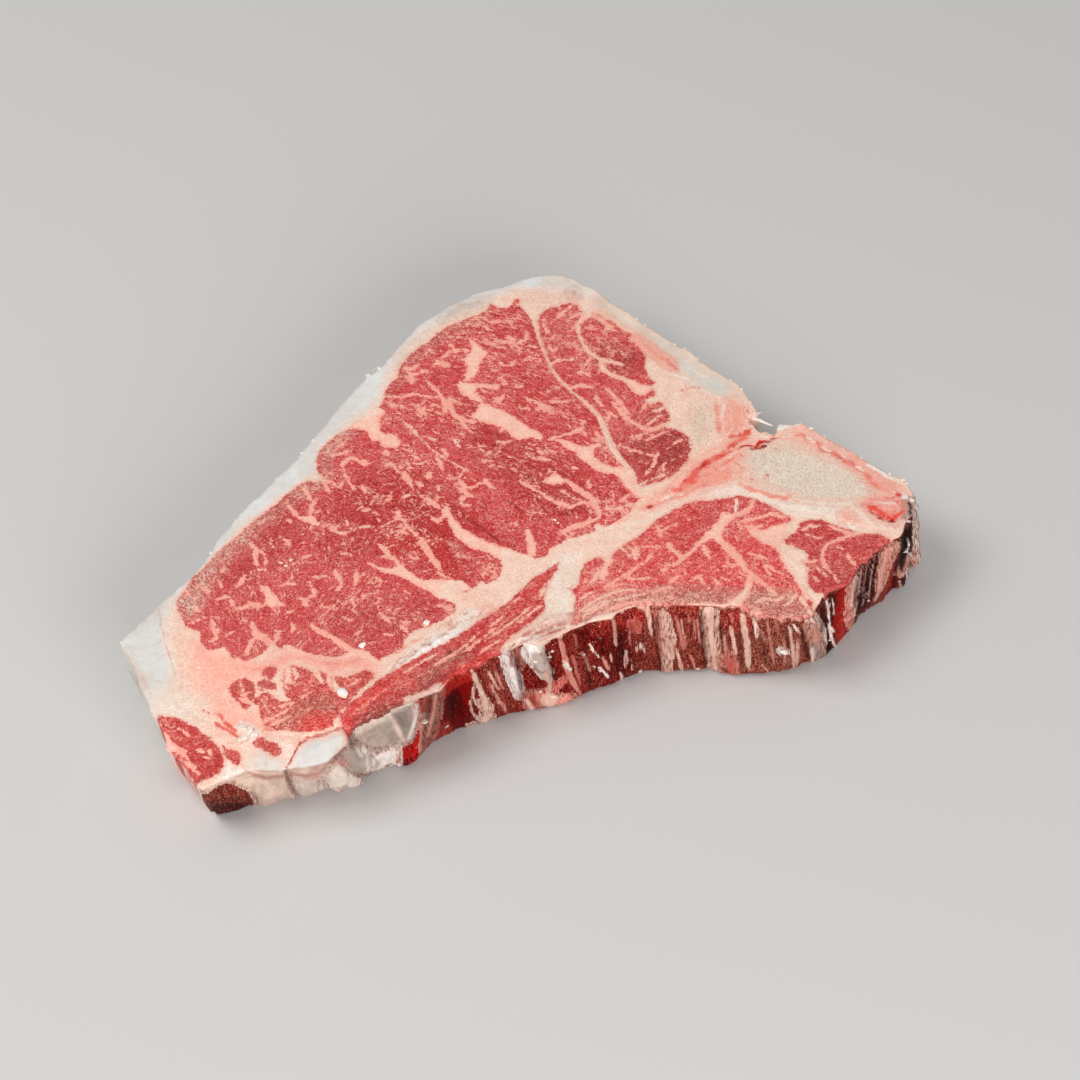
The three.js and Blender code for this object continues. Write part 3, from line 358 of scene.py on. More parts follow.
 ((246,205,185), 4, .9, [(846,508),(858,512),(872,520),(888,528),(900,532),(908,528),(910,520),(914,524),(908,536),(898,544),(884,540),(866,532),(850,522),(842,514)]),
 ((242,166,146), 3, .5, [(839,512),(846,510),(853,513),(856,519),(852,525),(844,524),(840,519)]),
 ((244,172,156), 4, .8, [(858,502),(872,500),(888,499),(902,500),(910,506),(908,512),(898,510),(884,508),(870,507),(860,507)]),
 ((56,30,26), 1.5, .95, [(902,502),(906,498),(912,498),(916,504),(917,513),(911,519),(906,518),(903,513),(906,507)]),
 ((240,150,134), 6, .75, [(846,463),(858,466),(872,474),(886,482),(896,488),(893,494),(880,495),(872,490),(862,480),(852,470)]),
 ((238,132,116), 3, .85, [(864,504),(874,501),(886,499),(898,499),(904,503),(903,511),(897,517),(889,519),(880,515),(872,510)]),
 ((250,190,174), 1.5, .8, [(876,506),(888,504),(899,503),(900,506),(890,508),(880,510)]),
 (CHALK, 2, 1, [(238,728),(243,725),(248,725),(253,728),(257,731),(262,732),(258,736),(255,740),(250,743),(244,742),(241,739),(247,736),(242,732)]),
 ((236,170,152), 5, .7, [(806,430),(820,438),(834,446),(848,452),(862,460),(876,468),(888,474),(884,478),(868,470),(852,462),(836,454),(820,446),(804,437)]),
]
SMOOTH = [FAT_PAINT[0][3],[(585,284),(600,290),(640,318),(690,350),(740,384),(750,396),(736,400),(722,399),(706,391),(693,384),(682,375),(672,364),(660,352),(646,342),(626,328),(610,318),(596,310),(590,302)],
 [(250,772),(252,758),(257,754),(268,755),(280,761),(286,766),(290,760),(300,744),(312,737),(333,730),(345,733),(347,745),(336,760),(308,772),(286,774)]]
# The two facets: ends of the crease where the cut face turns down, and the slope.
FACETS = [((252,757),(286,763),0.34),((291,760),(346,734),0.36)]

# Lines on everything that isn't muscle: (colour, strength, first width, last width, points).
FAT_LINES = [
 ((246,178,158), .8, 8, 9, [(592,313),(604,321),(616,329),(630,338),(644,348)]),

 ((216,84,70), .7, 2, 2.4, [(616,328),(621,330),(627,333)]),((220,92,78), .6, 1.4, 1.4, [(600,315),(608,319),(615,323)]),
 ((228,100,84), .6, 2.2, 3, [(665,359),(671,364),(677,368)]),((210,80,68), .6, 1.6, 1.6, [(676,374),(680,373)]),((210,80,68), .7, 1.6, 1.6, [(684,375),(687,378)]),
 ((250,238,226), .7, 1.3, 1.1, [(664,377),(672,381),(682,384)]),((250,238,226), .7, 1.3, 1.1, [(670,372),(680,377),(690,380)]),((250,238,226), .6, 1.3, 1.1, [(684,388),(674,394),(664,402)]),
 ((250,238,226), .6, 1.3, 1.1, [(690,368),(700,374),(708,377)]),((248,196,176), .6, 1.3, 1.1, [(668,378),(678,382),(688,386)]),((248,196,176), .6, 1.3, 1.1, [(676,390),(668,396),(660,404)]),
 ((250,238,226), .6, 1.3, 1.1, [(688,384),(680,392),(672,400)]),
 (BRICK, .5, 4, 3, [(683,391),(690,387),(702,387)]),
 (ROSE, .6, 5, 5, [(716,398),(717,410),(718,421),(719,433)]),
 (BRICK, .25, 1.5, 1.5, [(715,402),(716,412),(717,424)]),
 (CHALK, .7, 2, 2, [(726,402),(722,410),(721,420),(721,431)]),
 (DEEPRED, .9, 4, 4, [(745,430),(749,434)]),
 (BRICK, .6, 3, 4, [(726,440),(736,436),(747,432)]),
 (CHALK, 1, 3, 3.5, [(749,418),(751,424),(756,429),(763,432)]),
 (CHALK, 1, 6, 8, [(776,430),(784,426),(794,423),(800,422)]),
 (BLOOD, .8, 1.8, 2.4, [(731,455),(738,449),(746,446),(757,444),(768,441),(777,437)]),
 (DEEPRED, .85, 2, 3.5, [(752,449),(759,448),(764,446)]),
 ((236,110,94), .8, 6, 6, [(676,491),(684,484),(691,478),(698,471),(706,464),(716,458),(724,452)]),
 ((206,56,48), .7, 1.4, 1.6, [(684,483),(692,475),(700,467),(712,460),(722,453),(728,448)]),
 ((196,52,44), .6, 1.4, 1.4, [(699,467),(703,464),(710,460)]),(DEEPRED, .7, 1.6, 1.6, [(725,457),(728,455)]),
 (BRICK, .6, 3, 2, [(706,476),(716,470),(728,466)]),(BRICK, .5, 3, 2, [(660,496),(668,490),(676,488)]),((247,180,160), .9, 6, 4, [(640,510),(656,502),(672,496)]),
 (BRICK, .5, 3, 3, [(738,462),(742,470),(741,478)]),(ROSE, .8, 5, 5, [(740,484),(752,489),(770,495),(800,501)]),
 ((204,60,52), .8, 1.6, 1.6, [(649,506),(651,507)]),
 ((240,140,120), .75, 4, 7, [(780,438),(792,435),(803,436),(815,441),(825,449),(838,456),(850,463),(861,472),(869,481),(880,489)]),
 (BRICK, .35, 2, 3, [(800,440),(812,445),(824,454),(842,461)]),
 (BRICK, .6, 2.5, 2.5, [(764,474),(767,474)]),(BRICK, .6, 2.5, 2, [(751,479),(754,480)]),(BRICK, .6, 2, 2, [(763,482),(765,482)]),
 (PINK, .8, 4, 5, [(848,452),(862,462),(878,470),(894,480)]),
 (CHALK, .6, 2, 3, [(868,466),(880,470),(896,478),(908,488)]),
 (CHALK, .9, 3, 3, [(848,524),(851,529),(855,528)]),
 ((228,120,106), .6, 3, 3, [(868,503),(884,505),(898,504)]),
 (DEEPRED, .7, 2, 2, [(876,514),(886,520),(893,522)]),
 (CHALK, .9, 4, 5, [(897,493),(901,495),(906,498)]),
 ((236,226,214), .7, 2.5, 2.5, [(770,503),(790,508),(810,509),(832,512)]),(ROSE, .5, 2, 2, [(868,503),(884,501),(898,504)]),
 ((228,120,106), .8, 3.5, 3, [(461,593),(465,592),(469,590)]),
 ((226,128,112), .7, 3, 3, [(566,590),(570,588),(572,585)]),
 (ROSE, .6, 3, 3, [(396,655),(404,648),(412,642),(424,637)]),
 ((215,150,135), .7, 2, 2, [(382,680),(392,668),(402,656),(410,648)]),
 ((232,190,172), .8, 2, 2, [(510,652),(524,641),(542,631),(560,626),(584,619)]),((224,176,158), .7, 1.5, 1.5, [(530,642),(548,634),(566,627),(590,618)]),
 (SALMON, .6, 5, 4, [(330,673),(332,680),(333,688),(338,691)]),
 (BRICK, .8, 2.5, 2.5, [(202,708),(206,710),(209,713)]),(BRICK, .8, 3, 3, [(219,713),(228,722),(232,728)]),(BRICK, .9, 3, 3, [(215,722),(224,728),(232,733),(238,737)]),
 (ROSE, .6, 4, 4, [(243,668),(256,668),(266,666)]),(ROSE, .6, 4, 3, [(300,658),(320,662),(345,664),(364,659)]),
 (BRICK, .35, 2, 2, [(226,690),(230,700),(236,708),(246,712)]),(BRICK, .35, 3, 2, [(258,716),(268,714),(280,708)]),
 ((212,172,152), .7, 1.3, 1.3, [(158,608),(161,622),(164,638),(167,650),(171,662),(176,676)]),
 ((222,188,168), .55, 1.5, 1.2, [(138,677),(150,680),(165,682),(182,688),(200,697)]),((224,190,170), .5, 1.2, 1.2, [(137,640),(134,656),(138,668)]),
 ((236,205,186), .6, 1.4, 1.2, [(176,664),(184,676),(196,688),(210,698)]),((252,234,220), .8, 2, 2, [(196,669),(199,668),(203,669)]),
 ((226,190,168), .6, 1.5, 1.5, [(148,650),(150,650)]),((226,190,168), .5, 1.5, 1.5, [(154,651),(155,651)]),((226,190,168), .6, 1.5, 1.5, [(146,662),(149,663)]),
 ((240,128,110), .6, 2.5, 2, [(199,684),(202,686)]),
 ((230,170,150), .6, 2, 2, [(222,742),(238,745),(252,738)]),
 ((225,100,85), .9, 2, 2.4, [(214,713),(222,718),(232,728),(238,732)]),((226,112,98), .8, 2, 2.2, [(215,724),(225,730),(236,733)]),
 ((196,84,70), .9, 1.5, 1.5, [(286,768),(291,760),(296,750),(300,742),(308,737),(322,735),(335,731),(345,725)]),((214,120,106), .7, 2, 2, [(296,739),(312,735),(328,732),(340,726)]),
 ((232,180,164), .8, 1.5, 1.5, [(256,768),(262,766),(270,766)]),((176,84,72), .8, 1.5, 1.5, [(285,766),(286,769),(287,774)]),
 # painted shade in the crack at the ribbon's lower corner and along the edge above the lobe
 ((150,30,26), .9, 2.5, 3, [(346,727),(349,735),(351,743)]),((140,90,76), .8, 3, 2, [(352,731),(362,724),(372,718)]),
 ((238,210,194), .9, 2, 2, [(505,652),(516,642),(528,633),(540,626)]),((236,206,190), .9, 2, 2, [(545,622),(560,618),(575,612),(590,606)]),
 ((242,218,204), .9, 2.5, 2.5, [(556,632),(570,626),(585,619),(598,614)]),((186,118,104), .6, 1.2, 1.2, [(510,650),(524,639),(536,630)]),
 ((186,118,104), .6, 1.2, 1.2, [(540,630),(556,624),(572,618),(586,611)]),((190,124,110), .6, 1.2, 1.2, [(575,616),(588,609),(600,602)]),
 ((196,130,116), .6, 1.2, 1.2, [(548,636),(562,628)]),((190,124,110), .6, 1.2, 1.2, [(520,646),(530,638),(542,630)]),((232,196,180), .8, 2, 2, [(600,606),(612,600),(626,597),(640,596)]),
 ((176,120,106), .8, 2, 2, [(410,701),(424,695),(436,689),(444,683)]),((226,190,176), .8, 1.5, 1.5, [(414,699),(426,693),(438,686)]),
 ((228,84,72), .95, 3, 5, [(866,507),(876,510),(886,516),(892,519)]),((228,84,72), .95, 5, 3, [(892,518),(900,514),(906,509)]),((186,26,22), .8, 1.6, 2, [(872,512),(880,517),(888,520),(896,522)]),((230,90,78), .7, 2, 2.5, [(878,503),(888,503),(898,501)]),((250,186,170), .8, 1.6, 1.6, [(884,508),(892,510),(900,508)]),
 ((250,238,226), .9, 2, 2, [(847,524),(851,529),(856,526)]),((248,214,198), .8, 1.6, 1.6, [(876,504),(888,503),(900,505)]),((210,70,60), .7, 1.6, 1.6, [(886,498),(894,497),(900,495)]),
 ((244,156,138), .4, 4, 4, [(716,402),(716,415),(719,430),(718,438)]),((210,50,44), .8, 3.5, 3, [(756,447),(759,443),(763,440)]),((190,28,26), .8, 1.6, 1.6, [(752,446),(762,442),(771,438),(777,434)]),
 ((240,214,200), .9, 3, 3, [(755,437),(760,436),(766,438)]),((230,84,72), .75, 6, 5, [(721,457),(727,454),(733,451)]),((236,104,90), .8, 8, 8, [(690,482),(694,478),(697,474)]),
 ((240,120,104), .7, 7, 6, [(677,494),(682,488),(686,485)]),((232,96,82), .8, 6, 5, [(740,438),(746,434),(750,430)]),((236,120,104), .8, 5, 4, [(728,447),(738,441),(748,437)]),
 ((224,90,76), .7, 3, 2, [(722,468),(728,462),(731,456)]),((226,96,82), .6, 2, 2, [(764,473),(767,478),(768,482)]),((224,100,88), .6, 2, 2, [(762,480),(766,476)]),
 ((250,228,210), .6, 1.3, 1.1, [(728,402),(731,412),(732,424)]),((250,228,210), .6, 1.3, 1.1, [(736,398),(740,408),(741,420)]),((232,110,94), .5, 1.5, 1.2, [(742,404),(746,414),(747,424)]),
 ((232,110,94), .5, 1.5, 1.2, [(730,430),(738,428),(745,424)]),((250,230,214), .6, 1.3, 1.1, [(724,438),(730,432),(733,426)]),((246,170,150), .6, 2, 1.5, [(734,404),(737,414),(737,424)]),
 ((252,226,210), .6, 1.5, 1.2, [(712,474),(724,470),(736,462)]),((252,226,210), .6, 1.5, 1.2, [(700,486),(716,482),(730,480)]),((232,100,86), .5, 1.5, 1.2, [(700,478),(712,470),(724,462)]),
 ((226,90,78), .6, 1.4, 1.2, [(730,446),(738,452),(744,458)]),((226,90,78), .6, 1.4, 1.2, [(736,462),(742,468),(744,476)]),((252,226,210), .6, 1.5, 1.2, [(664,502),(676,496),(690,492)]),
 ((226,90,78), .5, 1.4, 1.2, [(708,462),(718,454),(730,448)]),((250,206,188), .6, 1.5, 1.2, [(716,464),(726,458),(736,452)]),((226,96,84), .5, 1.4, 1.2, [(682,488),(694,486),(706,484)]),
 ((252,224,208), .6, 1.3, 1.1, [(808,436),(814,441)]),((252,224,208), .6, 1.3, 1.1, [(824,445),(829,450)]),((252,224,208), .6, 1.3, 1.1, [(838,452),(844,456)]),((252,224,208), .6, 1.3, 1.1, [(856,466),(862,470)]),
 ((252,224,208), .6, 1.3, 1.1, [(872,474),(878,478)]),((252,224,208), .6, 1.3, 1.1, [(882,484),(888,486)]),((228,110,96), .5, 1.3, 1.1, [(816,438),(822,443)]),((228,110,96), .5, 1.3, 1.1, [(834,450),(838,456)]),
 ((228,110,96), .5, 1.3, 1.1, [(850,460),(854,465)]),((228,110,96), .5, 1.3, 1.1, [(866,470),(870,476)]),((228,110,96), .5, 1.3, 1.1, [(880,478),(885,483)]),((228,110,96), .5, 1.3, 1.1, [(798,438),(804,440)]),
 ((252,228,212), .6, 1.3, 1.1, [(784,436),(792,433)]),((240,160,142), .6, 1.5, 1.2, [(776,444),(786,441)]),((240,160,142), .5, 1.5, 1.2, [(770,452),(778,448)]),((232,130,114), .5, 1.3, 1.1, [(894,488),(899,491)]),
 # strands and flecks in the fascia
 ((206,140,122), 0.60, 1.3, 1.1, [(393.0,671.9),(396.1,669.0),(399.2,666.4)]),((224,170,152), 0.60, 1.3, 1.1, [(388.2,676.6),(390.8,674.6),(393.5,671.4)]),((190,120,104), 0.60, 1.3, 1.1, [(391.8,671.1),(394.0,668.5),(396.2,666.8)]),((206,140,122), 0.60, 1.3, 1.1, [(400.2,663.5),(403.7,661.7),(407.1,658.3)]),
 ((224,170,152), 0.60, 1.3, 1.1, [(402.9,657.8),(404.9,655.5),(406.9,654.0)]),((190,120,104), 0.60, 1.3, 1.1, [(405.9,657.4),(409.2,654.4),(412.6,652.0)]),((206,140,122), 0.60, 1.3, 1.1, [(409.8,656.6),(413.8,654.1),(417.7,651.0)]),((224,170,152), 0.60, 1.3, 1.1, [(411.3,651.4),(413.6,650.2),(415.9,649.2)]),
 ((190,120,104), 0.60, 1.3, 1.1, [(408.0,654.8),(411.4,653.3),(414.8,650.9)]),((206,140,122), 0.60, 1.3, 1.1, [(420.8,647.0),(423.8,646.2),(426.8,643.3)]),((224,170,152), 0.60, 1.3, 1.1, [(424.7,641.3),(428.5,638.5),(432.2,636.5)]),((190,120,104), 0.60, 1.3, 1.1, [(418.1,646.6),(420.2,644.4),(422.2,643.8)]),
 ((206,140,122), 0.60, 1.3, 1.1, [(436.4,637.8),(440.3,635.2),(444.2,632.7)]),((224,170,152), 0.60, 1.3, 1.1, [(429.0,646.5),(432.5,643.0),(436.0,641.5)]),((190,120,104), 0.60, 1.3, 1.1, [(428.8,645.6),(431.5,642.9),(434.2,641.7)]),((190,110,96), 0.60, 1.3, 1.1, [(442.9,634.7),(445.5,632.5),(448.2,630.6)]),
 ((214,150,134), 0.60, 1.3, 1.1, [(444.2,632.6),(448.2,630.6),(452.3,626.9)]),((206,134,120), 0.60, 1.3, 1.1, [(441.7,638.1),(444.1,635.7),(446.6,633.8)]),((190,110,96), 0.60, 1.3, 1.1, [(446.4,630.8),(449.9,628.2),(453.3,624.3)]),((214,150,134), 0.60, 1.3, 1.1, [(451.9,630.0),(455.4,626.1),(458.9,623.4)]),
 ((206,134,120), 0.60, 1.3, 1.1, [(447.2,631.7),(450.5,629.4),(453.8,626.3)]),((190,110,96), 0.60, 1.3, 1.1, [(460.8,621.4),(463.7,618.8),(466.6,616.3)]),((214,150,134), 0.60, 1.3, 1.1, [(455.6,625.0),(457.9,623.2),(460.2,621.0)]),((206,134,120), 0.60, 1.3, 1.1, [(456.5,621.8),(459.2,620.3),(461.9,618.3)]),
 ((190,110,96), 0.60, 1.3, 1.1, [(463.3,623.5),(466.9,620.9),(470.5,618.4)]),((214,150,134), 0.60, 1.3, 1.1, [(463.3,620.3),(466.7,618.2),(470.1,615.6)]),((206,134,120), 0.60, 1.3, 1.1, [(462.6,623.1),(466.6,619.6),(470.5,617.4)]),((190,110,96), 0.60, 1.3, 1.1, [(470.3,618.7),(473.6,616.2),(477.0,614.1)]),
 ((214,150,134), 0.60, 1.3, 1.1, [(471.1,619.7),(474.4,617.0),(477.8,615.3)]),((206,134,120), 0.60, 1.3, 1.1, [(475.8,618.2),(479.2,615.4),(482.6,613.1)]),((190,110,96), 0.60, 1.3, 1.1, [(475.3,617.8),(478.6,616.0),(481.9,613.9)]),((214,150,134), 0.60, 1.3, 1.1, [(479.8,614.1),(481.9,612.9),(484.0,611.3)]),
 ((206,134,120), 0.60, 1.3, 1.1, [(479.0,614.0),(482.2,611.1),(485.4,609.3)]),((190,110,96), 0.60, 1.3, 1.1, [(437.1,628.8),(439.7,627.2),(442.3,625.0)]),((214,150,134), 0.60, 1.3, 1.1, [(437.3,627.0),(439.2,626.1),(441.1,624.9)]),((206,134,120), 0.60, 1.3, 1.1, [(435.4,630.9),(437.0,630.2),(438.5,629.3)]),
 ((190,110,96), 0.60, 1.3, 1.1, [(445.7,623.8),(448.7,621.7),(451.7,620.0)]),((214,150,134), 0.60, 1.3, 1.1, [(444.8,626.2),(447.7,625.0),(450.6,622.5)]),((206,134,120), 0.60, 1.3, 1.1, [(447.8,626.6),(449.9,625.1),(452.0,623.3)]),((190,110,96), 0.60, 1.3, 1.1, [(462.9,613.9),(465.1,613.2),(467.3,611.9)]),
 ((214,150,134), 0.60, 1.3, 1.1, [(463.7,615.1),(466.4,614.2),(469.1,611.6)]),((206,134,120), 0.60, 1.3, 1.1, [(458.6,617.9),(460.7,617.2),(462.8,616.3)]),((176,96,84), 0.70, 1.2, 1.1, [(510.1,647.4),(515.0,644.9),(519.8,641.0)]),((250,236,226), 0.70, 1.2, 1.1, [(516.4,645.4),(522.7,641.9),(529.1,637.2)]),
 ((206,140,124), 0.70, 1.2, 1.1, [(510.5,651.9),(515.0,648.7),(519.6,645.8)]),((176,96,84), 0.70, 1.2, 1.1, [(517.5,642.7),(523.9,640.0),(530.3,636.8)]),((250,236,226), 0.70, 1.2, 1.1, [(516.2,643.0),(522.2,639.8),(528.3,636.2)]),((206,140,124), 0.70, 1.2, 1.1, [(519.4,645.0),(524.1,643.0),(528.9,640.5)]),
 ((176,96,84), 0.70, 1.2, 1.1, [(537.5,637.6),(543.4,635.5),(549.3,632.4)]),((250,236,226), 0.70, 1.2, 1.1, [(536.2,635.9),(541.2,633.6),(546.2,631.2)]),((206,140,124), 0.70, 1.2, 1.1, [(538.7,632.9),(544.5,630.5),(550.4,628.2)]),((176,96,84), 0.70, 1.2, 1.1, [(558.4,623.4),(564.1,620.8),(569.7,618.8)]),
 ((250,236,226), 0.70, 1.2, 1.1, [(556.3,627.1),(562.2,624.3),(568.2,622.0)]),((206,140,124), 0.70, 1.2, 1.1, [(558.0,625.3),(562.5,622.8),(567.0,621.8)]),((176,96,84), 0.70, 1.2, 1.1, [(569.4,623.9),(575.5,622.0),(581.6,619.2)]),((250,236,226), 0.70, 1.2, 1.1, [(566.5,625.7),(573.0,623.3),(579.6,621.5)]),
 ((206,140,124), 0.70, 1.2, 1.1, [(571.0,623.0),(575.7,621.4),(580.5,619.7)]),((176,96,84), 0.70, 1.2, 1.1, [(580.3,625.3),(586.5,622.6),(592.8,619.5)]),((250,236,226), 0.70, 1.2, 1.1, [(589.9,619.5),(594.5,617.5),(599.1,615.2)]),((206,140,124), 0.70, 1.2, 1.1, [(583.4,618.7),(590.3,615.8),(597.2,612.9)]),
 ((176,96,84), 0.70, 1.2, 1.1, [(603.3,609.3),(607.3,607.7),(611.4,606.5)]),((250,236,226), 0.70, 1.2, 1.1, [(602.7,613.8),(609.0,612.2),(615.4,610.1)]),((206,140,124), 0.70, 1.2, 1.1, [(603.0,614.3),(608.5,612.3),(614.0,611.3)]),((176,96,84), 0.70, 1.2, 1.1, [(541.4,626.1),(545.9,624.6),(550.5,623.5)]),
 ((250,236,226), 0.70, 1.2, 1.1, [(542.4,624.2),(546.7,622.9),(551.1,621.4)]),((206,140,124), 0.70, 1.2, 1.1, [(542.1,626.6),(546.0,626.1),(550.0,625.1)]),((176,96,84), 0.70, 1.2, 1.1, [(566.9,612.9),(572.5,611.5),(578.1,609.2)]),((250,236,226), 0.70, 1.2, 1.1, [(575.5,612.1),(580.5,609.6),(585.6,608.6)]),
 ((206,140,124), 0.70, 1.2, 1.1, [(566.6,618.7),(570.6,616.9),(574.7,615.4)]),((176,96,84), 0.70, 1.2, 1.1, [(598.5,606.1),(604.1,604.7),(609.7,602.5)]),((250,236,226), 0.70, 1.2, 1.1, [(590.5,607.7),(595.1,606.2),(599.7,604.4)]),((206,140,124), 0.70, 1.2, 1.1, [(597.0,606.8),(602.5,605.3),(608.1,603.2)]),
 ((176,96,84), 0.70, 1.2, 1.1, [(612.9,603.5),(618.7,601.6),(624.5,600.0)]),((250,236,226), 0.70, 1.2, 1.1, [(608.4,605.7),(612.4,604.9),(616.4,603.0)]),((206,140,124), 0.70, 1.2, 1.1, [(611.5,603.2),(618.3,601.4),(625.1,599.2)]),((176,96,84), 0.70, 1.2, 1.1, [(523.3,634.6),(526.3,634.0),(529.4,632.0)]),
 ((250,236,226), 0.70, 1.2, 1.1, [(524.1,633.0),(527.4,631.6),(530.7,630.6)]),((206,140,124), 0.70, 1.2, 1.1, [(522.3,635.6),(527.0,633.4),(531.8,631.6)]),
]

# Paint on muscle: (colour, feather, strength, points).
LEAN_PAINT = [
 ((212,99,95), 6, 1, LOIN), ((214,102,97), 5, 1, DEEP), ((228,112,106), 5, 1, FILLET), ((206,96,90), 5, 1, STRAP), ((204,86,80), 4, 1, RIBBON),
 # dried band along the fat cap
 ((216,168,150), 7, .95, [(176,600),(190,583),(214,556),(240,533),(272,506),(300,485),(318,480),(326,484),(308,493),(284,510),(262,528),(244,546),(228,562),
   (216,576),(208,592),(200,606),(192,616),(184,616)]),
 ((216,168,150), 6, .7, [(320,478),(316,462),(322,448),(336,436),(352,427),(356,432),(342,442),(332,452),(328,464),(330,476)]),
 ((208,140,124), 6, .5, [(384,396),(392,382),(402,366),(414,352),(430,340),(446,328),(466,319),(486,313),(490,318),(470,326),(450,336),(434,347),(420,358),(408,372),(398,388)]),
 # redder and darker stretches
 ((190,52,50), 16, .75, [(370,500),(400,488),(440,500),(470,520),(480,545),(462,575),(430,572),(398,556),(372,545),(352,520)]),
 ((176,40,38), 8, .5, [(456,506),(470,512),(486,522),(500,534),(512,540),(496,540),(478,532),(462,522)]),
 ((186,68,64), 14, .6, [(330,500),(360,470),(400,460),(450,490),(470,520),(440,540),(400,530),(370,560),(330,560),(310,530)]),
 ((184,72,68), 10, .55, [(270,480),(300,490),(310,520),(280,560),(240,590),(225,580),(260,530)]),
 ((180,66,62), 9, .6, [(470,400),(500,430),(540,445),(580,470),(600,500),(585,520),(555,520),(520,500),(490,470),(462,440)]),
 ((188,84,80), 12, .5, [(380,600),(430,600),(440,615),(400,640),(360,645),(330,630),(340,600)]),
 ((178,84,76), 6, .75, [(592,340),(606,342),(624,346),(640,356),(640,372),(622,372),(604,364),(594,356)]),
 ((180,80,74), 7, .8, [(620,440),(645,437),(675,430),(691,446),(686,458),(672,470),(650,480),(638,474),(624,458)]),
 ((168,70,64), 5, .6, [(668,446),(686,436),(690,450),(680,464),(666,470),(660,460)]),
 ((186,88,78), 5, .6, [(648,408),(662,404),(670,418),(656,426),(642,424),(640,414)]),
 ((214,124,112), 6, .5, [(548,312),(570,303),(580,314),(574,330),(580,350),(566,360),(550,352),(542,334)]),
 ((190,76,72), 12, .45, [(690,505),(740,500),(775,512),(740,520),(720,540),(700,560),(670,560),(665,530)]),
 ((222,118,108), 10, .5, [(590,580),(640,560),(690,560),(720,580),(700,596),(640,600),(600,610)]),
 # dried strip along the front of the tenderloin
 ((206,146,128), 5, .85, [(655,589),(680,587),(710,588),(740,590),(760,588),(785,590),(800,598),(812,612),(812,622),(780,622),(757,616),(740,610),(700,607),(660,607),(640,606),(625,604),(634,597),(646,592)]),
 ((214,160,142), 6, .6, [(585,600),(610,592),(635,592),(650,594),(640,604),(610,612),(590,622),(572,626),(574,612)]),
 ((210,140,124), 6, .6, [(600,560),(616,553),(622,548),(632,543),(640,548),(628,558),(612,570),(600,580),(590,584)]),
 ((176,78,70), 6, .5, [(820,574),(840,570),(858,566),(852,580),(838,590),(822,592)]),
 # ribbon
 ((200,110,98), 5, .6, [(400,672),(425,658),(450,646),(470,640),(470,652),(450,664),(425,680),(402,698),(392,690)]),
 ((168,104,90), 4, .8, [(432,664),(448,655),(464,650),(476,648),(470,658),(456,664),(446,672),(436,682),(424,690),(420,680)]),
 ((160,104,90), 3, .8, [(362,712),(376,704),(392,700),(400,703),(388,709),(372,716),(358,722)]),
 ((222,66,56), 3, .8, [(440,690),(446,684),(454,677),(464,671),(473,669),(474,677),(464,682),(452,688),(444,696)]),
 ((150,98,84), 4, .8, [(404,699),(414,691),(426,685),(438,680),(446,674),(440,684),(430,690),(418,695)]),
 # painted shade: a dark band along the lower edge of the ribbon, above the lobes
 ((110,56,46), 3, .9, [(346,742),(352,731),(362,723),(376,716),(392,709),(404,704),(404,710),(388,716),(368,726),(352,738)]),
 ((220,86,76), 6, .6, [(345,722),(356,704),(380,684),(400,670),(420,660),(410,672),(384,690),(362,710)]),
 ((220,104,94), 6, .4, [(510,604),(530,586),(552,568),(548,582),(542,600),(536,612),(520,616)]),
 # flank
 ((198,84,76), 3, .9, SIDE1), ((196,96,86), 3, .8, SIDE2), ((206,100,92), 3, .9, SIDE3), ((204,100,90), 5, .9, SIDE4),
 ((190,118,102), 5, .3, [(286,700),(304,694),(326,696),(344,702),(340,712),(330,722),(312,728),(294,726),(282,716)]),
 ((222,92,82), 5, .3, [(290,718),(310,716),(328,718),(338,722),(328,731),(300,732),(286,728)]),
 ((186,124,106), 4, .8, [(278,730),(280,722),(288,714),(296,706),(304,699),(318,695),(330,697),(336,703),(330,710),(318,711),(306,715),(300,723),(290,729)]),
 ((226,84,72), 5, .45, [(302,716),(314,712),(326,713),(335,715),(337,722),(331,730),(318,733),(304,732),(298,726)]),
 ((200,96,86), 4, .9, SIDE5), ((200,82,76), 4, .9, TAIL), ((190,82,72), 5, .4, [(196,756),(204,752),(214,756),(222,764),(218,772),(208,777),(200,782),(196,774)]),
 ((196,84,76), 3, .3, [(206,740),(214,746),(218,756),(212,758),(204,748)]), ((208,104,94), 3, .9, TAIL2),
]
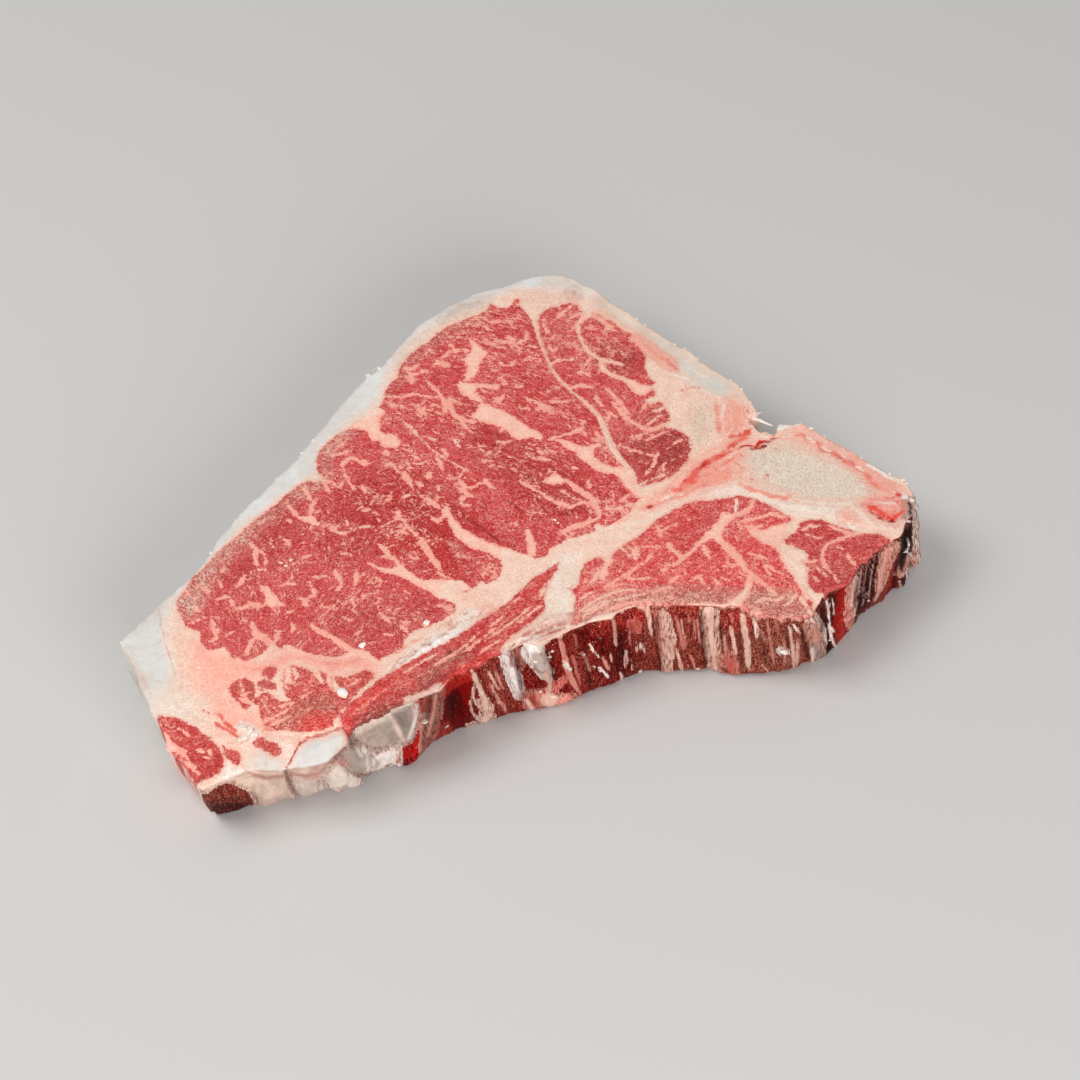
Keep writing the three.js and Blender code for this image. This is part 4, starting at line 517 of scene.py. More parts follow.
LEAN_LINES = [
 ((150,30,26), .8, 2.5, 2.5, [(467,517),(480,525),(490,533),(500,541)]),((150,30,26), .7, 2, 2, [(478,505),(486,507)]),
 ((150,32,28), .5, 2, 2, [(452,505),(462,514),(472,524)]),((150,32,28), .5, 3, 2, [(506,500),(520,512),(540,520)]),
 ((120,36,30), .7, 2, 2, [(522,474),(528,478),(535,480)]),((120,36,30), .6, 2, 2, [(566,512),(580,508),(590,512)]),
 ((224,150,134), .6, 6, 5, [(452,548),(462,556),(474,560)]),((214,160,146), .6, 5, 5, [(446,540),(456,545),(464,547)]),
 ((236,160,144), .7, 3, 3, [(736,516),(740,528),(746,538)]),((236,160,144), .6, 2.5, 2.5, [(748,518),(752,526),(764,534)]),
 # the first line here is painted shade in the groove along the ribbon's lower edge
 ((120,24,20), .7, 1.6, 1.6, [(352,721),(368,713),(384,706)]),((232,150,136), .7, 1.6, 1.6, [(350,716),(372,700),(396,684)]),
 ((232,160,146), .6, 1.6, 1.6, [(400,688),(424,674),(448,660)]),((96,20,18), .7, 2, 2, [(444,655),(452,652),(460,651)]),
 ((240,170,156), .7, 2, 2, [(530,600),(540,592),(548,580)]),((190,50,44), .6, 2, 2, [(470,652),(490,640),(510,628)]),
 ((226,84,74), .6, 3, 3, [(352,712),(366,700),(384,688)]),((130,50,44), .6, 2, 2, [(655,440),(668,436),(682,436)]),
 ((120,60,50), .6, 2, 2, [(596,360),(606,366),(618,370)]),((120,70,60), .6, 1.6, 1.6, [(636,384),(644,388),(650,391)]),
]

# Side walls as seen: fat and gristle patches (colour, feather, relief in mm, smooth or streaky, points).
WALL_FAT = [
 ((222,198,182), 3, .5, 1, [(246,775),(252,768),(285,769),(288,780),(291,790),(302,799),(296,803),(278,808),(262,811),(256,812),(256,800),(252,793),(247,786)]),
 # painted shade on the lower part of this block, then a painted highlight on the lit side of its fold
 ((214,194,181), 4, .5, 1, [(262,788),(274,790),(286,786),(294,792),(300,800),(286,805),(272,806),(262,806)]),
 ((234,208,190), 2.5, .9, 1, [(268,796),(274,789),(282,782),(286,784),(282,790),(276,795)]),
 ((214,192,178), 4, .6, 1, [(290,768),(310,765),(330,759),(342,750),(345,755),(338,762),(330,768),(325,775),(320,783),(320,793),(308,799),(300,801),(294,790),(289,780)]),
 # painted shade under the overhang on the right of this body
 ((196,152,138), 4, .4, 1, [(318,768),(332,761),(342,753),(344,757),(338,763),(330,768),(325,774),(318,776),(306,778)]),
 ((226,216,206), 3, .6, 1, [(298,786),(310,784),(320,784),(319,794),(308,800),(300,800)]),
 ((238,228,219), 2, 1.9, 1, [(321,786),(323,778),(328,770),(335,765),(340,762),(346,766),(352,771),(360,776),(366,777),(362,785),(357,792),(350,794),(345,787),(341,790),
   (338,796),(331,794),(328,788),(325,792),(319,791)]),
 ((184,172,163), 3, 1.6, 1, [(343,752),(350,745),(357,744),(366,750),(372,755),(371,762),(374,766),(371,772),(365,776),(357,775),(350,768),(344,762),(341,757)]),
 # painted highlight on the lower lobe
 ((240,236,230), 2.5, 1.7, 1, [(357,750),(359,745),(365,743),(371,747),(370,753),(363,754)]),
 ((190,178,167), 3, 1.7, 1, [(350,742),(352,735),(356,730),(362,724),(370,720),(378,716),(386,711),(394,708),(400,705),(408,702),(417,702),(419,708),(418,716),(417,725),(414,733),
   (410,741),(403,745),(396,744),(388,746),(380,748),(372,749),(364,745),(356,743)]),
 # painted highlight along the top edge of the big lobe
 ((214,200,188), 1.6, 1.7, 1, [(352,738),(357,731),(365,724),(375,718),(386,713),(394,711),(394,714),(386,717),(376,722),(366,729),(358,736)]),
 # painted shade in the lobe's fold and in its hollow
 ((168,156,147), 3, 1.5, 1, [(368,736),(376,730),(386,727),(396,733),(400,741),(396,743),(388,744),(380,741),(372,742)]),
 ((176,164,155), 2, .5, 1, [(389,711),(398,707),(410,704),(416,704),(417,712),(415,722),(412,732),(407,741),(404,742),(400,734),(396,726),(392,720)]),
 ((140,126,119), 3, .4, 1, [(391,711),(400,707),(407,707),(410,714),(409,724),(405,734),(402,736),(399,729),(395,722),(392,717)]),
 ((190,176,164), 3, 1.2, 1, [(360,738),(370,734),(380,734),(386,740),(380,746),(370,747),(362,744)]),
 ((238,232,226), 2.5, 1.3, 1, [(369,760),(373,756),(377,753),(382,752),(387,750),(393,746),(399,745),(400,754),(399,764),(396,768),(390,765),(384,770),(378,771),(372,776),(370,768)]),
 ((186,64,54), 3, .2, 0, [(417,704),(426,700),(428,712),(426,724),(419,722),(418,712)]),
 ((236,230,222), 2, .6, 1, [(423,716),(426,715),(429,721),(426,724)]),
 ((126,62,54), 4, .2, 0, [(425,700),(434,694),(442,690),(441,710),(436,732),(428,748),(421,758),(423,735)]),
 ((216,184,170), 2.5, .5, 0, [(479,700),(486,699),(491,706),(493,716),(491,724),(482,728),(470,730),(468,725),(478,722),(482,712)]),
 # a white tooth of fat, painted grey as its shaded side, with a painted lit white stripe on its left
 ((196,186,180), 2, .8, 1, [(501,654),(507,651),(513,657),(517,668),(520,680),(523,692),(522,698),(518,699),(513,690),(508,678),(504,666)]),
 ((250,246,242), 1.5, 1.0, 1, [(501,655),(507,655),(511,664),(515,678),(520,692),(517,697),(512,688),(508,677),(504,666)]),
 ((150,82,70), 3, .1, 0, [(513,651),(522,649),(526,657),(522,668),(514,664)]),
 # a second white tooth: its own colour, a painted lit top and painted shade on its lower right
 ((226,216,208), 2, .8, 1, [(524,650),(527,643),(530,636),(535,633),(541,638),(542,647),(542,654),(546,662),(549,672),(549,679),(545,679),(539,672),(533,667),(527,659)]),
 ((250,247,243), 1.5, .9, 1, [(524,651),(527,644),(530,636),(535,634),(538,640),(537,650),(535,658),(531,662),(527,658)]),
 ((200,190,182), 2, .7, 1, [(536,656),(541,655),(546,663),(549,673),(548,678),(543,676),(538,668)]),
 ((150,64,54), 5, .1, 0, [(524,694),(534,690),(548,690),(546,702),(534,712),(526,708)]),
 ((226,150,132), 4, .4, 0, [(540,694),(548,690),(560,695),(572,694),(579,698),(566,706),(552,711),(544,708)]),
 # painted highlight on the pink-cream patch
 ((240,206,190), 2.5, .6, 1, [(544,698),(550,694),(555,698),(552,704),(546,704)]),
 ((236,112,98), 2.5, .5, 1, [(551,686),(556,681),(562,678),(569,673),(568,678),(561,684),(555,690)]),
 ((192,78,72), 2, .5, 0, [(630,620),(636,619),(640,625),(639,632),(634,632),(630,627)]),
 ((196,112,98), 4, .3, .5, [(656,611),(663,611),(664,630),(666,648),(663,656),(660,644),(658,628)]),
 ((232,198,182), 2.5, .7, .9, [(663,609),(668,617),(671,629),(674,640),(671,652),(670,664),(671,677),(665,678),(665,662),(666,650),(665,632),(663,618)]),
 ((228,190,174), 2.5, .7, .5, [(702,604),(716,604),(717,620),(717,636),(719,655),(720,672),(711,675),(709,660),(706,642),(704,622)]),
 ((190,92,80), 4, .6, 0, [(722,656),(730,652),(736,662),(737,674),(730,680),(724,672)]),
 ((244,238,230), 2, .9, 1, [(778,650),(781,647),(786,650),(787,653),(782,654)]),
 ((242,226,212), 2, 1.0, 1, [(803,608),(808,607),(813,613),(819,620),(818,624),(810,625),(806,618)]),
 ((198,142,126), 4, .5, 0, [(808,624),(818,622),(823,630),(824,644),(822,656),(814,650),(810,638)]),
 ((172,152,146), 3, .4, 1, [(812,645),(818,645),(823,655),(818,658),(812,652)]),
 ((228,146,134), 3, .5, 0, [(849,582),(855,576),(857,582),(855,600),(852,616),(849,628),(846,620),(848,602)]),
 ((226,158,142), 2.5, .5, 0, [(883,549),(892,543),(900,544),(895,553),(890,562),(887,572),(883,582),(879,590),(876,588),(878,575),(880,562)]),
 ((222,208,196), 2, .5, 0, [(914,495),(919,502),(921,514),(922,535),(922,560),(919,572),(915.5,556),(916,535),(915,512)]),
 ((224,160,146), 3, .5, 0, [(896,574),(902,566),(909,557),(914,553),(914,560),(908,566),(900,576)]),
 ((238,214,194), 3, .2, 1, [(200,793),(206,786),(214,781),(226,776),(240,773),(254,771),(256,790),(248,789),(238,784),(228,781),(216,784),(206,792)]),
]
WALL_LEAN = [  # (colour, feather, strength, relief, points)
 # Rows with negative relief are sunk into the side and darkened: dark red meat, with painted shade where they go nearly
 # black.
 ((120,22,17), 10, .9, 0, [(420,696),(455,672),(500,652),(530,644),(560,634),(620,612),(640,606),(640,680),(600,695),(545,714),(480,728),(440,742),(420,768)]),
 ((134,54,46), 5, .95, 0, [(478,664),(500,654),(508,672),(514,690),(522,704),(516,718),(498,720),(488,700),(480,682)]),
 ((102,4,3), 5, 1, -1.6, [(437,690),(446,684),(456,678),(466,676),(473,672),(476,690),(480,712),(476,726),(462,734),(450,738),(438,744),(434,744),(434,720)]),
 ((150,12,9), 4, .8, -1.0, [(462,678),(472,674),(474,690),(470,704),(464,696)]),
 ((52,3,3), 4, .95, -.8, [(445,694),(453,690),(459,697),(459,710),(451,716),(445,708)]),
 ((196,84,74), 3, .7, 0, [(438,738),(440,728),(447,724),(450,732),(446,740)]),
 ((206,52,42), 2.5, .9, .2, [(440,692),(446,684),(456,677),(466,671),(474,669),(474,675),(464,680),(452,686),(444,694)]),
 ((170,14,11), 3, 1, 0, [(398,744),(405,744),(411,740),(415,732),(418,722),(420,712),(425,718),(427,735),(424,750),(424,764),(420,769),(412,770),(404,770),(400,762)]),
 ((110,6,5), 3, .9, -.4, [(402,764),(410,760),(422,762),(422,770),(404,772)]),
 ((86,4,4), 5, .85, 0, [(576,628),(592,626),(598,634),(596,642),(584,642),(578,636)]),
 ((72,6,5), 6, .7, -.3, [(612,632),(626,636),(640,656),(640,676),(620,684),(606,668),(604,648)]),
 ((134,52,45), 8, .7, 0, [(572,648),(586,648),(598,664),(600,690),(584,694),(574,672)]),
 ((128,52,44), 10, .8, 0, [(640,618),(700,612),(704,620),(708,672),(650,675),(640,672)]),
 ((142,76,64), 10, .8, 0, [(718,622),(757,622),(800,626),(800,670),(750,676),(722,672)]),
 ((168,50,46), 5, .8, 0, [(590,626),(612,619),(640,606),(652,606),(650,622),(640,626),(620,626),(604,630),(594,634)]),
 ((160,54,48), 5, .7, 0, [(664,606),(702,604),(704,614),(684,618),(668,616)]),
 ((158,50,46), 5, .8, 0, [(718,606),(745,610),(758,616),(757,630),(735,630),(720,624)]),
 ((72,14,12), 6, .95, -.8, [(818,604),(826,592),(838,588),(846,586),(844,606),(840,634),(836,652),(828,664),(818,664),(816,634)]),
 ((104,32,27), 3, .8, 0, [(812,652),(820,648),(828,660),(822,666),(814,664)]),
 ((18,6,6), 4, .9, -1.2, [(820,640),(830,634),(835,650),(828,660),(820,660)]),
 ((192,22,18), 3, 1, .2, [(841,596),(845,588),(850,588),(849,606),(847,626),(850,634),(845,644),(839,640),(837,622)]),
 ((64,9,7), 6, .97, 0, [(852,586),(862,568),(880,552),(886,552),(878,590),(870,606),(856,624),(850,640),(850,612)]),
 ((144,14,11), 3, .9, 0, [(888,572),(893,560),(898,556),(899,575),(896,596),(888,602),(884,592)]),
 ((22,8,7), 4, 1, -1.4, [(898,545),(904,528),(911,514),(915,512),(916,535),(914,558),(916,578),(905,592),(898,596),(897,572)]),
 ((96,26,22), 3, .8, 0, [(905,560),(915,556),(920,570),(918,584),(908,590),(904,578)]),
 ((124,52,43), 3, .95, .2, [(202,800),(212,789),(222,785),(230,786),(240,791),(250,795),(258,800),(250,804),(236,800),(220,800),(208,806)]),
 ((66,4,4), 3, .97, -.2, [(206,808),(214,802),(226,800),(240,801),(254,803),(254,812),(240,816),(228,822),(214,822)]),
 ((132,38,32), 6, .6, 0, [(560,692),(600,682),(640,670),(700,666),(718,668),(712,678),(640,684),(600,696),(565,710)]),
]
WALL_LINES = [  # fat lines (first width, last width, colour, relief, points)
 (2,2,(200,140,125),.2,[(421,722),(421,736),(419,752)]),(1.8,1.8,(196,136,122),.1,[(437,696),(434,714),(428,736)]),
 (3.5,5,(216,180,164),.45,[(472,670),(477,682),(483,696),(487,708)]),(1.8,1.8,(206,176,164),.3,[(474,684),(473,696),(477,706)]),(1.8,1.8,(206,176,164),.3,[(470,700),(472,712),(478,720)]),
 (2.4,2,(214,160,146),.3,[(488,671),(493,680),(499,690)]),(2,2.4,(206,150,136),.3,[(490,683),(496,696),(501,706)]),(1.6,1.6,(196,136,122),.2,[(495,671),(499,680),(504,690)]),
 (2,2,(200,140,126),.2,[(502,702),(506,712)]),(2,2.4,(226,184,168),.3,[(526,700),(530,706),(534,714)]),(3,2,(220,180,164),.4,[(545,672),(549,682),(550,692)]),
 (4,4.5,(206,134,120),.5,[(559,635),(563,650),(567,668),(572,680),(580,694)]),(2.4,2.4,(238,222,210),.5,[(563,662),(567,666),(571,669)]),
 (2.2,2.4,(200,128,112),.3,[(582,652),(587,662),(590,672)]),(1.8,1.8,(240,220,208),.5,[(589,643),(593,651),(600,658)]),(2.2,1.8,(236,226,218),.5,[(594,667),(600,668),(606,674),(608,678)]),
 (2.5,3,(206,140,126),.3,[(602,656),(606,664),(609,670)]),(2.4,2,(190,110,98),.2,[(572,654),(576,668),(580,684)]),(2,1.6,(214,196,186),.3,[(620,672),(622,678),(620,686)]),
 (3,2,(208,158,142),.4,[(613,618),(615,632),(616,646)]),(2.2,1.8,(168,110,98),.2,[(629,630),(630,645)]),(2,1.8,(190,170,160),.3,[(626,650),(627,664)]),
 (4.2,2,(224,184,168),.5,[(647,603),(648,614),(650,626),(652,638)]),(2,2,(190,114,100),.2,[(675,616),(680,632),(683,650)]),(2.4,2.6,(216,178,162),.3,[(676,648),(680,662),(683,674)]),
 (1.8,1.6,(196,124,110),.2,[(684,636),(686,648)]),(1.8,1.6,(196,124,110),.2,[(690,654),(696,670)]),(1.8,1.8,(196,120,106),.2,[(697,618),(699,632),(700,644)]),
 (1.8,1.6,(186,106,94),.2,[(688,614),(690,624)]),(3,2.6,(224,184,168),.4,[(731,626),(733,640),(736,654)]),(2.4,2,(204,150,136),.3,[(724,636),(726,652)]),
 (2.2,2,(206,110,98),.2,[(731,612),(732,622)]),(5.2,4.6,(218,180,164),.5,[(742,612),(744,626),(747,644),(749,670)]),(4.4,2,(230,202,188),.6,[(753,605),(755,622),(757,638)]),
 (2.4,2,(186,122,108),.2,[(760,630),(764,642)]),(2,2,(190,124,110),.2,[(767,620),(770,640),(774,664)]),(2.6,2,(176,110,98),.2,[(775,618),(778,634)]),
 (2.4,2.2,(214,172,156),.5,[(789,626),(792,644),(794,670)]),(2.4,2.6,(206,160,146),.3,[(798,640),(797,666)]),(2.2,2.2,(226,204,192),.4,[(793,624),(800,634)]),
 (2,2,(196,134,120),.2,[(804,624),(806,642)]),(2.4,2.6,(230,208,194),.5,[(812,648),(813,664)]),(2,1.8,(200,150,136),.3,[(762,664),(768,672)]),(1.8,1.8,(196,130,116),.2,[(783,634),(785,650),(784,666)]),
 (1.8,1.4,(226,214,206),.4,[(826,596),(828,610),(830,624)]),(1.2,1.2,(226,214,206),.4,[(832,598),(834,616)]),(1.2,1.2,(220,206,198),.4,[(823,622),(826,642)]),
 (2.4,2,(222,200,190),.4,[(829,628),(833,642),(839,652)]),(2,2,(224,214,206),.5,[(828,624),(834,632)]),(1,.8,(226,190,178),.4,[(857,570),(853,588),(851,606)]),
 (.7,.6,(226,188,176),.3,[(862,566),(860,580),(859,596)]),(.7,.6,(216,176,164),.3,[(868,559),(865,576),(862,596)]),(.7,.6,(226,190,178),.3,[(875,555),(871,576),(868,600)]),
 (.7,.6,(216,176,164),.3,[(866,592),(862,606)]),(.7,.6,(226,188,176),.3,[(858,600),(854,616)]),(1.2,1.2,(226,170,156),.3,[(886,552),(882,572),(878,588)]),
 (2,1.8,(200,150,138),.3,[(880,590),(874,602)]),(1.3,1.2,(216,204,196),.5,[(903,548),(908,553),(912,556)]),(1,.9,(226,216,208),.5,[(906,536),(909,544),(907,552)]),
 (1.4,1.2,(196,180,172),.5,[(899,580),(902,590)]),(.9,.9,(236,226,218),.5,[(907,572),(907,584)]),(2,2,(210,150,138),.4,[(912,562),(917,572),(913,584)]),
 (2.5,2.5,(236,230,222),.5,[(902,521),(906,521),(911,522)]),(3.5,3.5,(242,238,232),.7,[(909,506),(913,506),(917,507)]),(1.6,1.6,(214,160,146),.2,[(330,765),(338,761),(346,765)]),
 # painted highlights along the ridges of the big lobe and the rim of its hollow
 (1.3,1.6,(226,204,192),1.9,[(389,714),(392,719),(396,726),(399,732),(403,740)]),(1.3,1.3,(236,226,216),1.2,[(417,705),(417,714),(414,727),(409,739)]),(1.2,1.2,(232,220,208),1.8,[(356,732),(366,724),(382,715),(396,708),(412,703)]),
 (1.8,1.8,(238,216,200),.3,[(250,779),(262,782),(276,780)]),(1.5,1.5,(190,140,126),.2,[(292,774),(306,776),(318,774)]),(1.6,1.4,(196,150,136),.2,[(252,774),(266,778),(284,776)]),
 # the first row here is a painted glint at the front-left tip
 (2.4,2.4,(214,190,180),.3,[(208,814),(213,813),(218,817)]),(1,.9,(214,190,180),.3,[(636,644),(637,652)]),(1,.9,(222,204,196),.3,[(640,643),(641,650)]),(1,.9,(206,170,158),.3,[(644,646),(645,653)]),
 (1.6,1.4,(160,100,90),.2,[(575,634),(577,648)]),(.8,.7,(230,196,184),.3,[(549,652),(550,662)]),(.8,.7,(226,180,168),.3,[(553,668),(555,676)]),(.8,.7,(226,180,168),.3,[(611,652),(612,664)]),
 (.8,.7,(214,160,148),.3,[(624,654),(625,668)]),(.8,.7,(226,190,178),.3,[(631,660),(632,670)]),(1,.8,(214,150,136),.3,[(694,620),(696,640)]),(1,.8,(220,160,146),.3,[(681,620),(684,636)]),
]
# Painted shade: cracks and hollows of the front side are sunk in and their colour darkened toward black, where shade
# falls.
WALL_CRACK_SHADE = [  # cracks and hollows (first width, last width, strength, depth in mm, points)
 (1.7,1.2,.55,1.6,[(285,768),(286,775),(289,783),(293,791),(299,798)]),(2.2,1.6,.75,1.4,[(346,729),(348,735),(351,742),(352,748)]),(1.8,1.6,.6,1,[(349,727),(352,735),(356,742)]),
 (2,2,.45,1.4,[(344,748),(340,753),(334,760),(328,766),(323,774)]),(2,1.8,.6,.8,[(376,768),(379,760),(384,758)]),(1.8,1.6,.6,.8,[(364,776),(372,773),(382,770)]),(1.8,1.6,.5,.8,[(370,757),(376,752),(386,749),(396,744)]),
 (2.4,2.4,.6,.8,[(432,690),(428,712),(423,744)]),(2,2,.5,.6,[(439,694),(436,716),(430,740)]),(3.5,3,.6,.9,[(516,656),(519,672),(522,692)]),(3,2.5,.6,.6,[(546,650),(552,666),(556,684)]),
 (2.4,2.4,.6,.6,[(584,640),(586,664),(592,690)]),(2.4,2.4,.55,.6,[(600,640),(603,656)]),(3,2.4,.6,.8,[(620,626),(622,645),(620,668)]),(2.4,2,.5,.5,[(656,616),(656,640),(660,668)]),
 (3,2.6,.65,.6,[(701,610),(703,640),(706,668)]),(2.4,2,.55,.5,[(720,626),(722,648)]),(2.2,2,.7,.8,[(722,668),(726,672),(730,678)]),(2,2,.5,.5,[(738,632),(740,650),(742,668)]),
 (2,2,.5,.5,[(759,630),(764,650),(766,668)]),(2,2,.45,.5,[(786,630),(788,650)]),(3,2.4,.7,.8,[(802,628),(805,646),(808,658)]),(3,3,.75,1,[(821,606),(823,620),(822,634)]),
 (2.4,2.4,.7,.8,[(859,572),(857,590),(855,606)]),(2.6,2.4,.75,.9,[(866,566),(862,590),(858,612)]),(2.6,2.4,.75,.9,[(872,560),(868,584),(864,606)]),(2.4,2.4,.75,.9,[(878,556),(874,578),(870,600)]),
 (2.4,2.4,.7,.8,[(898,560),(894,580),(892,598)]),(5,5,.97,.9,[(906,530),(904,544),(903,556),(901,570)]),(2,2,.7,.8,[(911,562),(911,574),(909,586)]),
]
# Small raised spots and shallow grooves on the cut face, in mm: (height, points), (depth, first width, last width, points).
LUMPS = [(.8, [(238,728),(243,725),(248,725),(253,728),(257,731),(262,732),(258,736),(255,740),(250,743),(244,742),(241,739),(247,736),(242,732)]),
 (.5, [(386,678),(394,668),(406,656),(420,646),(436,636),(450,629),(454,636),(440,646),(424,654),(408,664),(396,674)]),
 (.12, [(684,392),(698,388),(710,394),(716,404),(717,432),(702,457),(692,463),(686,430),(683,408)]),
 (.15, [(742,486),(762,494),(786,500),(842,505),(896,499),(902,516),(896,534),(860,528),(820,517),(782,509)])]
GROOVES = [(.9, 3, 4, [(346,727),(349,735),(351,743),(352,748)]),(.25, 3, 3, [(649,506),(660,500),(676,493),(692,482)]),(.6, 3, 4, [(752,448),(762,443),(776,436)]),
 (.5, 3, 3, [(870,510),(880,516),(890,521),(900,516)]),(.4, 2, 2, [(718,398),(719,414),(720,432)]),(.4, 2, 3, [(350,721),(368,713),(390,704),(404,700)]),
 (.4, 2, 2, [(300,742),(312,736),(330,731),(344,725)]),(.5, 3, 3, [(404,705),(420,699),(436,691),(448,682)]),(.4, 2, 3, [(455,670),(475,664),(496,654),(506,644)]),
 (.35, 2, 2, [(467,517),(480,525),(490,533),(500,541)]),(.4, 3, 3, [(506,654),(520,643),(536,632),(552,624)])]

# Loose white crumbs of fat and bone: (u, v, size in mm).
CRUMBS = [(243,728,.9),(250,732,.8),(245,738,.7),(256,734,.8),(240,740,.6),(342,693,1.25),(427,623,.8),(424,720,.8),(363,645,.8),(555,520,.35),(558,523,.3),
 (281,563,.35),(291,560,.4),(286,566,.35),(377,367,.5),(366,374,.6),(640,316,.35),(646,323,.28),(676,343,.35),(684,347,.3),(700,358,.28),(732,379,.3),
 (742,387,.35),(752,401,.3),(811,428,.4),(826,436,.3),(862,457,.3),(890,474,.4),(903,480,.5),(908,484,.4),(121,641,.35),(300,452,.4),(313,440,.35),(210,552,.4),(236,520,.35),
 (783,651,.9),(553,652,.5),(548,656,.5),(541,691,.5),(553,695,.6),(563,664,.4),(566,668,.4),(585,655,.4),(600,670,.6),(536,662,.5),(447,727,.5),(399,764,.5),(640,671,.5),(697,668,.4),
 (850,606,.4),(830,640,.45),(868,600,.4),(905,552,.55),(912,500,.6)]

# ------------------------------------------------------------------ the view and the cut face
MM = 0.001
FOCAL = 3290.0                       # of a 1080 wide frame
TILT = math.radians(45)
TARGET = np.array([1.8884, -0.1542, 12.5])
FORWARD = np.array([0, math.cos(TILT), -math.sin(TILT)])
UPWARD = np.array([0, math.sin(TILT), math.cos(TILT)])
EYE = TARGET - 850 * FORWARD
QX, QY = 3.87, 2.74                  # view units per millimetre on the cut face
PX = 1 / 3.3                         # a view unit as a width on the cut face


def look(u, v, z):
    u, v, z = (np.asarray(a, float) for a in (u, v, z))
    dx = (u - 540) / FOCAL
    dy = FORWARD[1] + UPWARD[1] * (540 - v) / FOCAL
    dz = FORWARD[2] + UPWARD[2] * (540 - v) / FOCAL
    t = (z - EYE[2]) / dz
    return EYE[0] + t * dx, EYE[1] + t * dy


def project(p):
    d = p - EYE
    depth = d @ FORWARD
    return 540 + FOCAL * d[:, 0] / depth, 540 - FOCAL * (d @ UPWARD) / depth


def slab_height(x, y):
    x = x - 0.1527
    y = y + 0.2671
    along = ((x + 38.26) * -0.45 + (y + 61.89) * -0.9) / 30
    droop = np.where(along > 0, 6.2 * (1 - np.exp(-1.25 * along * along)), 0)
    ripple = 0.35 * (0.5 * np.sin(x / 17 + y / 29) + 0.5 * np.sin(y / 13 - x / 23 + 1.3))
    return 25 - droop - 0.21 + 0.6 * ripple


def on_surface(u, v, height):
    z = np.full(np.shape(u), 24.8)
    for _ in range(12):
        x, y = look(u, v, z)
        z = 0.5 * z + 0.5 * height(x, y)
    return x, y


CREASES = []
for ends in FACETS:
    cx, cy = on_surface(np.array([ends[0][0], ends[1][0]], float), np.array([ends[0][1], ends[1][1]], float), slab_height)
    CREASES.append((cx, cy, ends[2]))


def cut_height(x, y):
    """Height of the cut face, which turns down in front of two creases at the flank end."""
    z = slab_height(x, y)
    for (x0, x1), (y0, y1), slope in CREASES:
        size = math.hypot(x1 - x0, y1 - y0)
        dx, dy = (x1 - x0) / size, (y1 - y0) / size
        along = ((x - x0) * dx + (y - y0) * dy) / size
        front = (x - x0) * dy - (y - y0) * dx
        window = np.clip((along + 0.12) / 0.24, 0, 1) * np.clip((1.12 - along) / 0.24, 0, 1)
        z = z - slope * np.clip(front, 0, 9) * window * (front < 14)
    return z


def face_point(u, v):
    return on_surface(u, v, cut_height)


# ------------------------------------------------------------------ noise and distances
def lattice(ix, iy, iz, seed):
    h = (ix * 374761393 + iy * 668265263 + iz * 2147483647 + seed * 974634777) & 0xFFFFFFFF
    h = ((h ^ (h >> 13)) * 1274126177) & 0xFFFFFFFF
    h = ((h ^ (h >> 16)) * 2246822519) & 0xFFFFFFFF
    return ((h ^ (h >> 15)) & 0xFFFFFF) / float(0x1000000)


def noise(x, y, z=0.0, seed=0):
    x, y, z = np.broadcast_arrays(np.asarray(x, float), np.asarray(y, float), np.asarray(z, float))
    i, j, k = (np.floor(a).astype(np.int64) for a in (x, y, z))
    fx, fy, fz = x - i, y - j, z - k
    fx, fy, fz = (f * f * (3 - 2 * f) for f in (fx, fy, fz))
    total = 0
    for a in (0, 1):
        for b in (0, 1):
            for c in (0, 1):
                w = (fx if a else 1 - fx) * (fy if b else 1 - fy) * (fz if c else 1 - fz)
                total = total + w * lattice(i + a, j + b, k + c, seed)
    return total * 2 - 1


def fbm(x, y, z=0.0, seed=0, octaves=3):
    total, size, norm = 0, 1.0, 0
    for o in range(octaves):
        f = 2 ** o
        total = total + size * noise(np.asarray(x) * f, np.asarray(y) * f, np.asarray(z) * f, seed + 31 * o)
        norm += size
        size *= 0.5
    return total / norm


def ramp(x, lo, hi):
    t = np.clip((x - lo) / (hi - lo), 0, 1)
    return t * t * (3 - 2 * t)


def drift(x, y, seed):
    """A small sideways shift that varies from place to place."""
    return np.column_stack([fbm(x, y, seed=seed, octaves=2), fbm(x, y, seed=seed + 2, octaves=2)])


def to_q(points):
    a = np.asarray(points, float)
    return a / np.array([QX, QY])


def inside(q, poly):
    r = np.zeros(len(q), bool)
    a = poly
    b = np.roll(poly, -1, axis=0)
    for (x0, y0), (x1, y1) in zip(a, b):
        if y0 == y1:
            continue
        hit = (y0 > q[:, 1]) != (y1 > q[:, 1])
        r ^= hit & (q[:, 0] < (x1 - x0) * (q[:, 1] - y0) / (y1 - y0) + x0)
    return r


def segments(q, a, b):
    """Distance to each stretch a-b, the smallest, and where along the whole line it is."""
    best = np.full(len(q), 1e9)
    where = np.zeros(len(q))
    n = len(a)
    for k in range(n):
        d = b[k] - a[k]
        t = np.clip(((q - a[k]) @ d) / max(1e-12, d @ d), 0, 1)
        e = np.hypot(q[:, 0] - a[k][0] - t * d[0], q[:, 1] - a[k][1] - t * d[1])
        near = e < best
        best[near] = e[near]
        where[near] = (k + t[near]) / n
    return best, where


def near(q, poly, margin):
    lo, hi = poly.min(0) - margin, poly.max(0) + margin
    return np.where((q[:, 0] > lo[0]) & (q[:, 0] < hi[0]) & (q[:, 1] > lo[1]) & (q[:, 1] < hi[1]))[0]


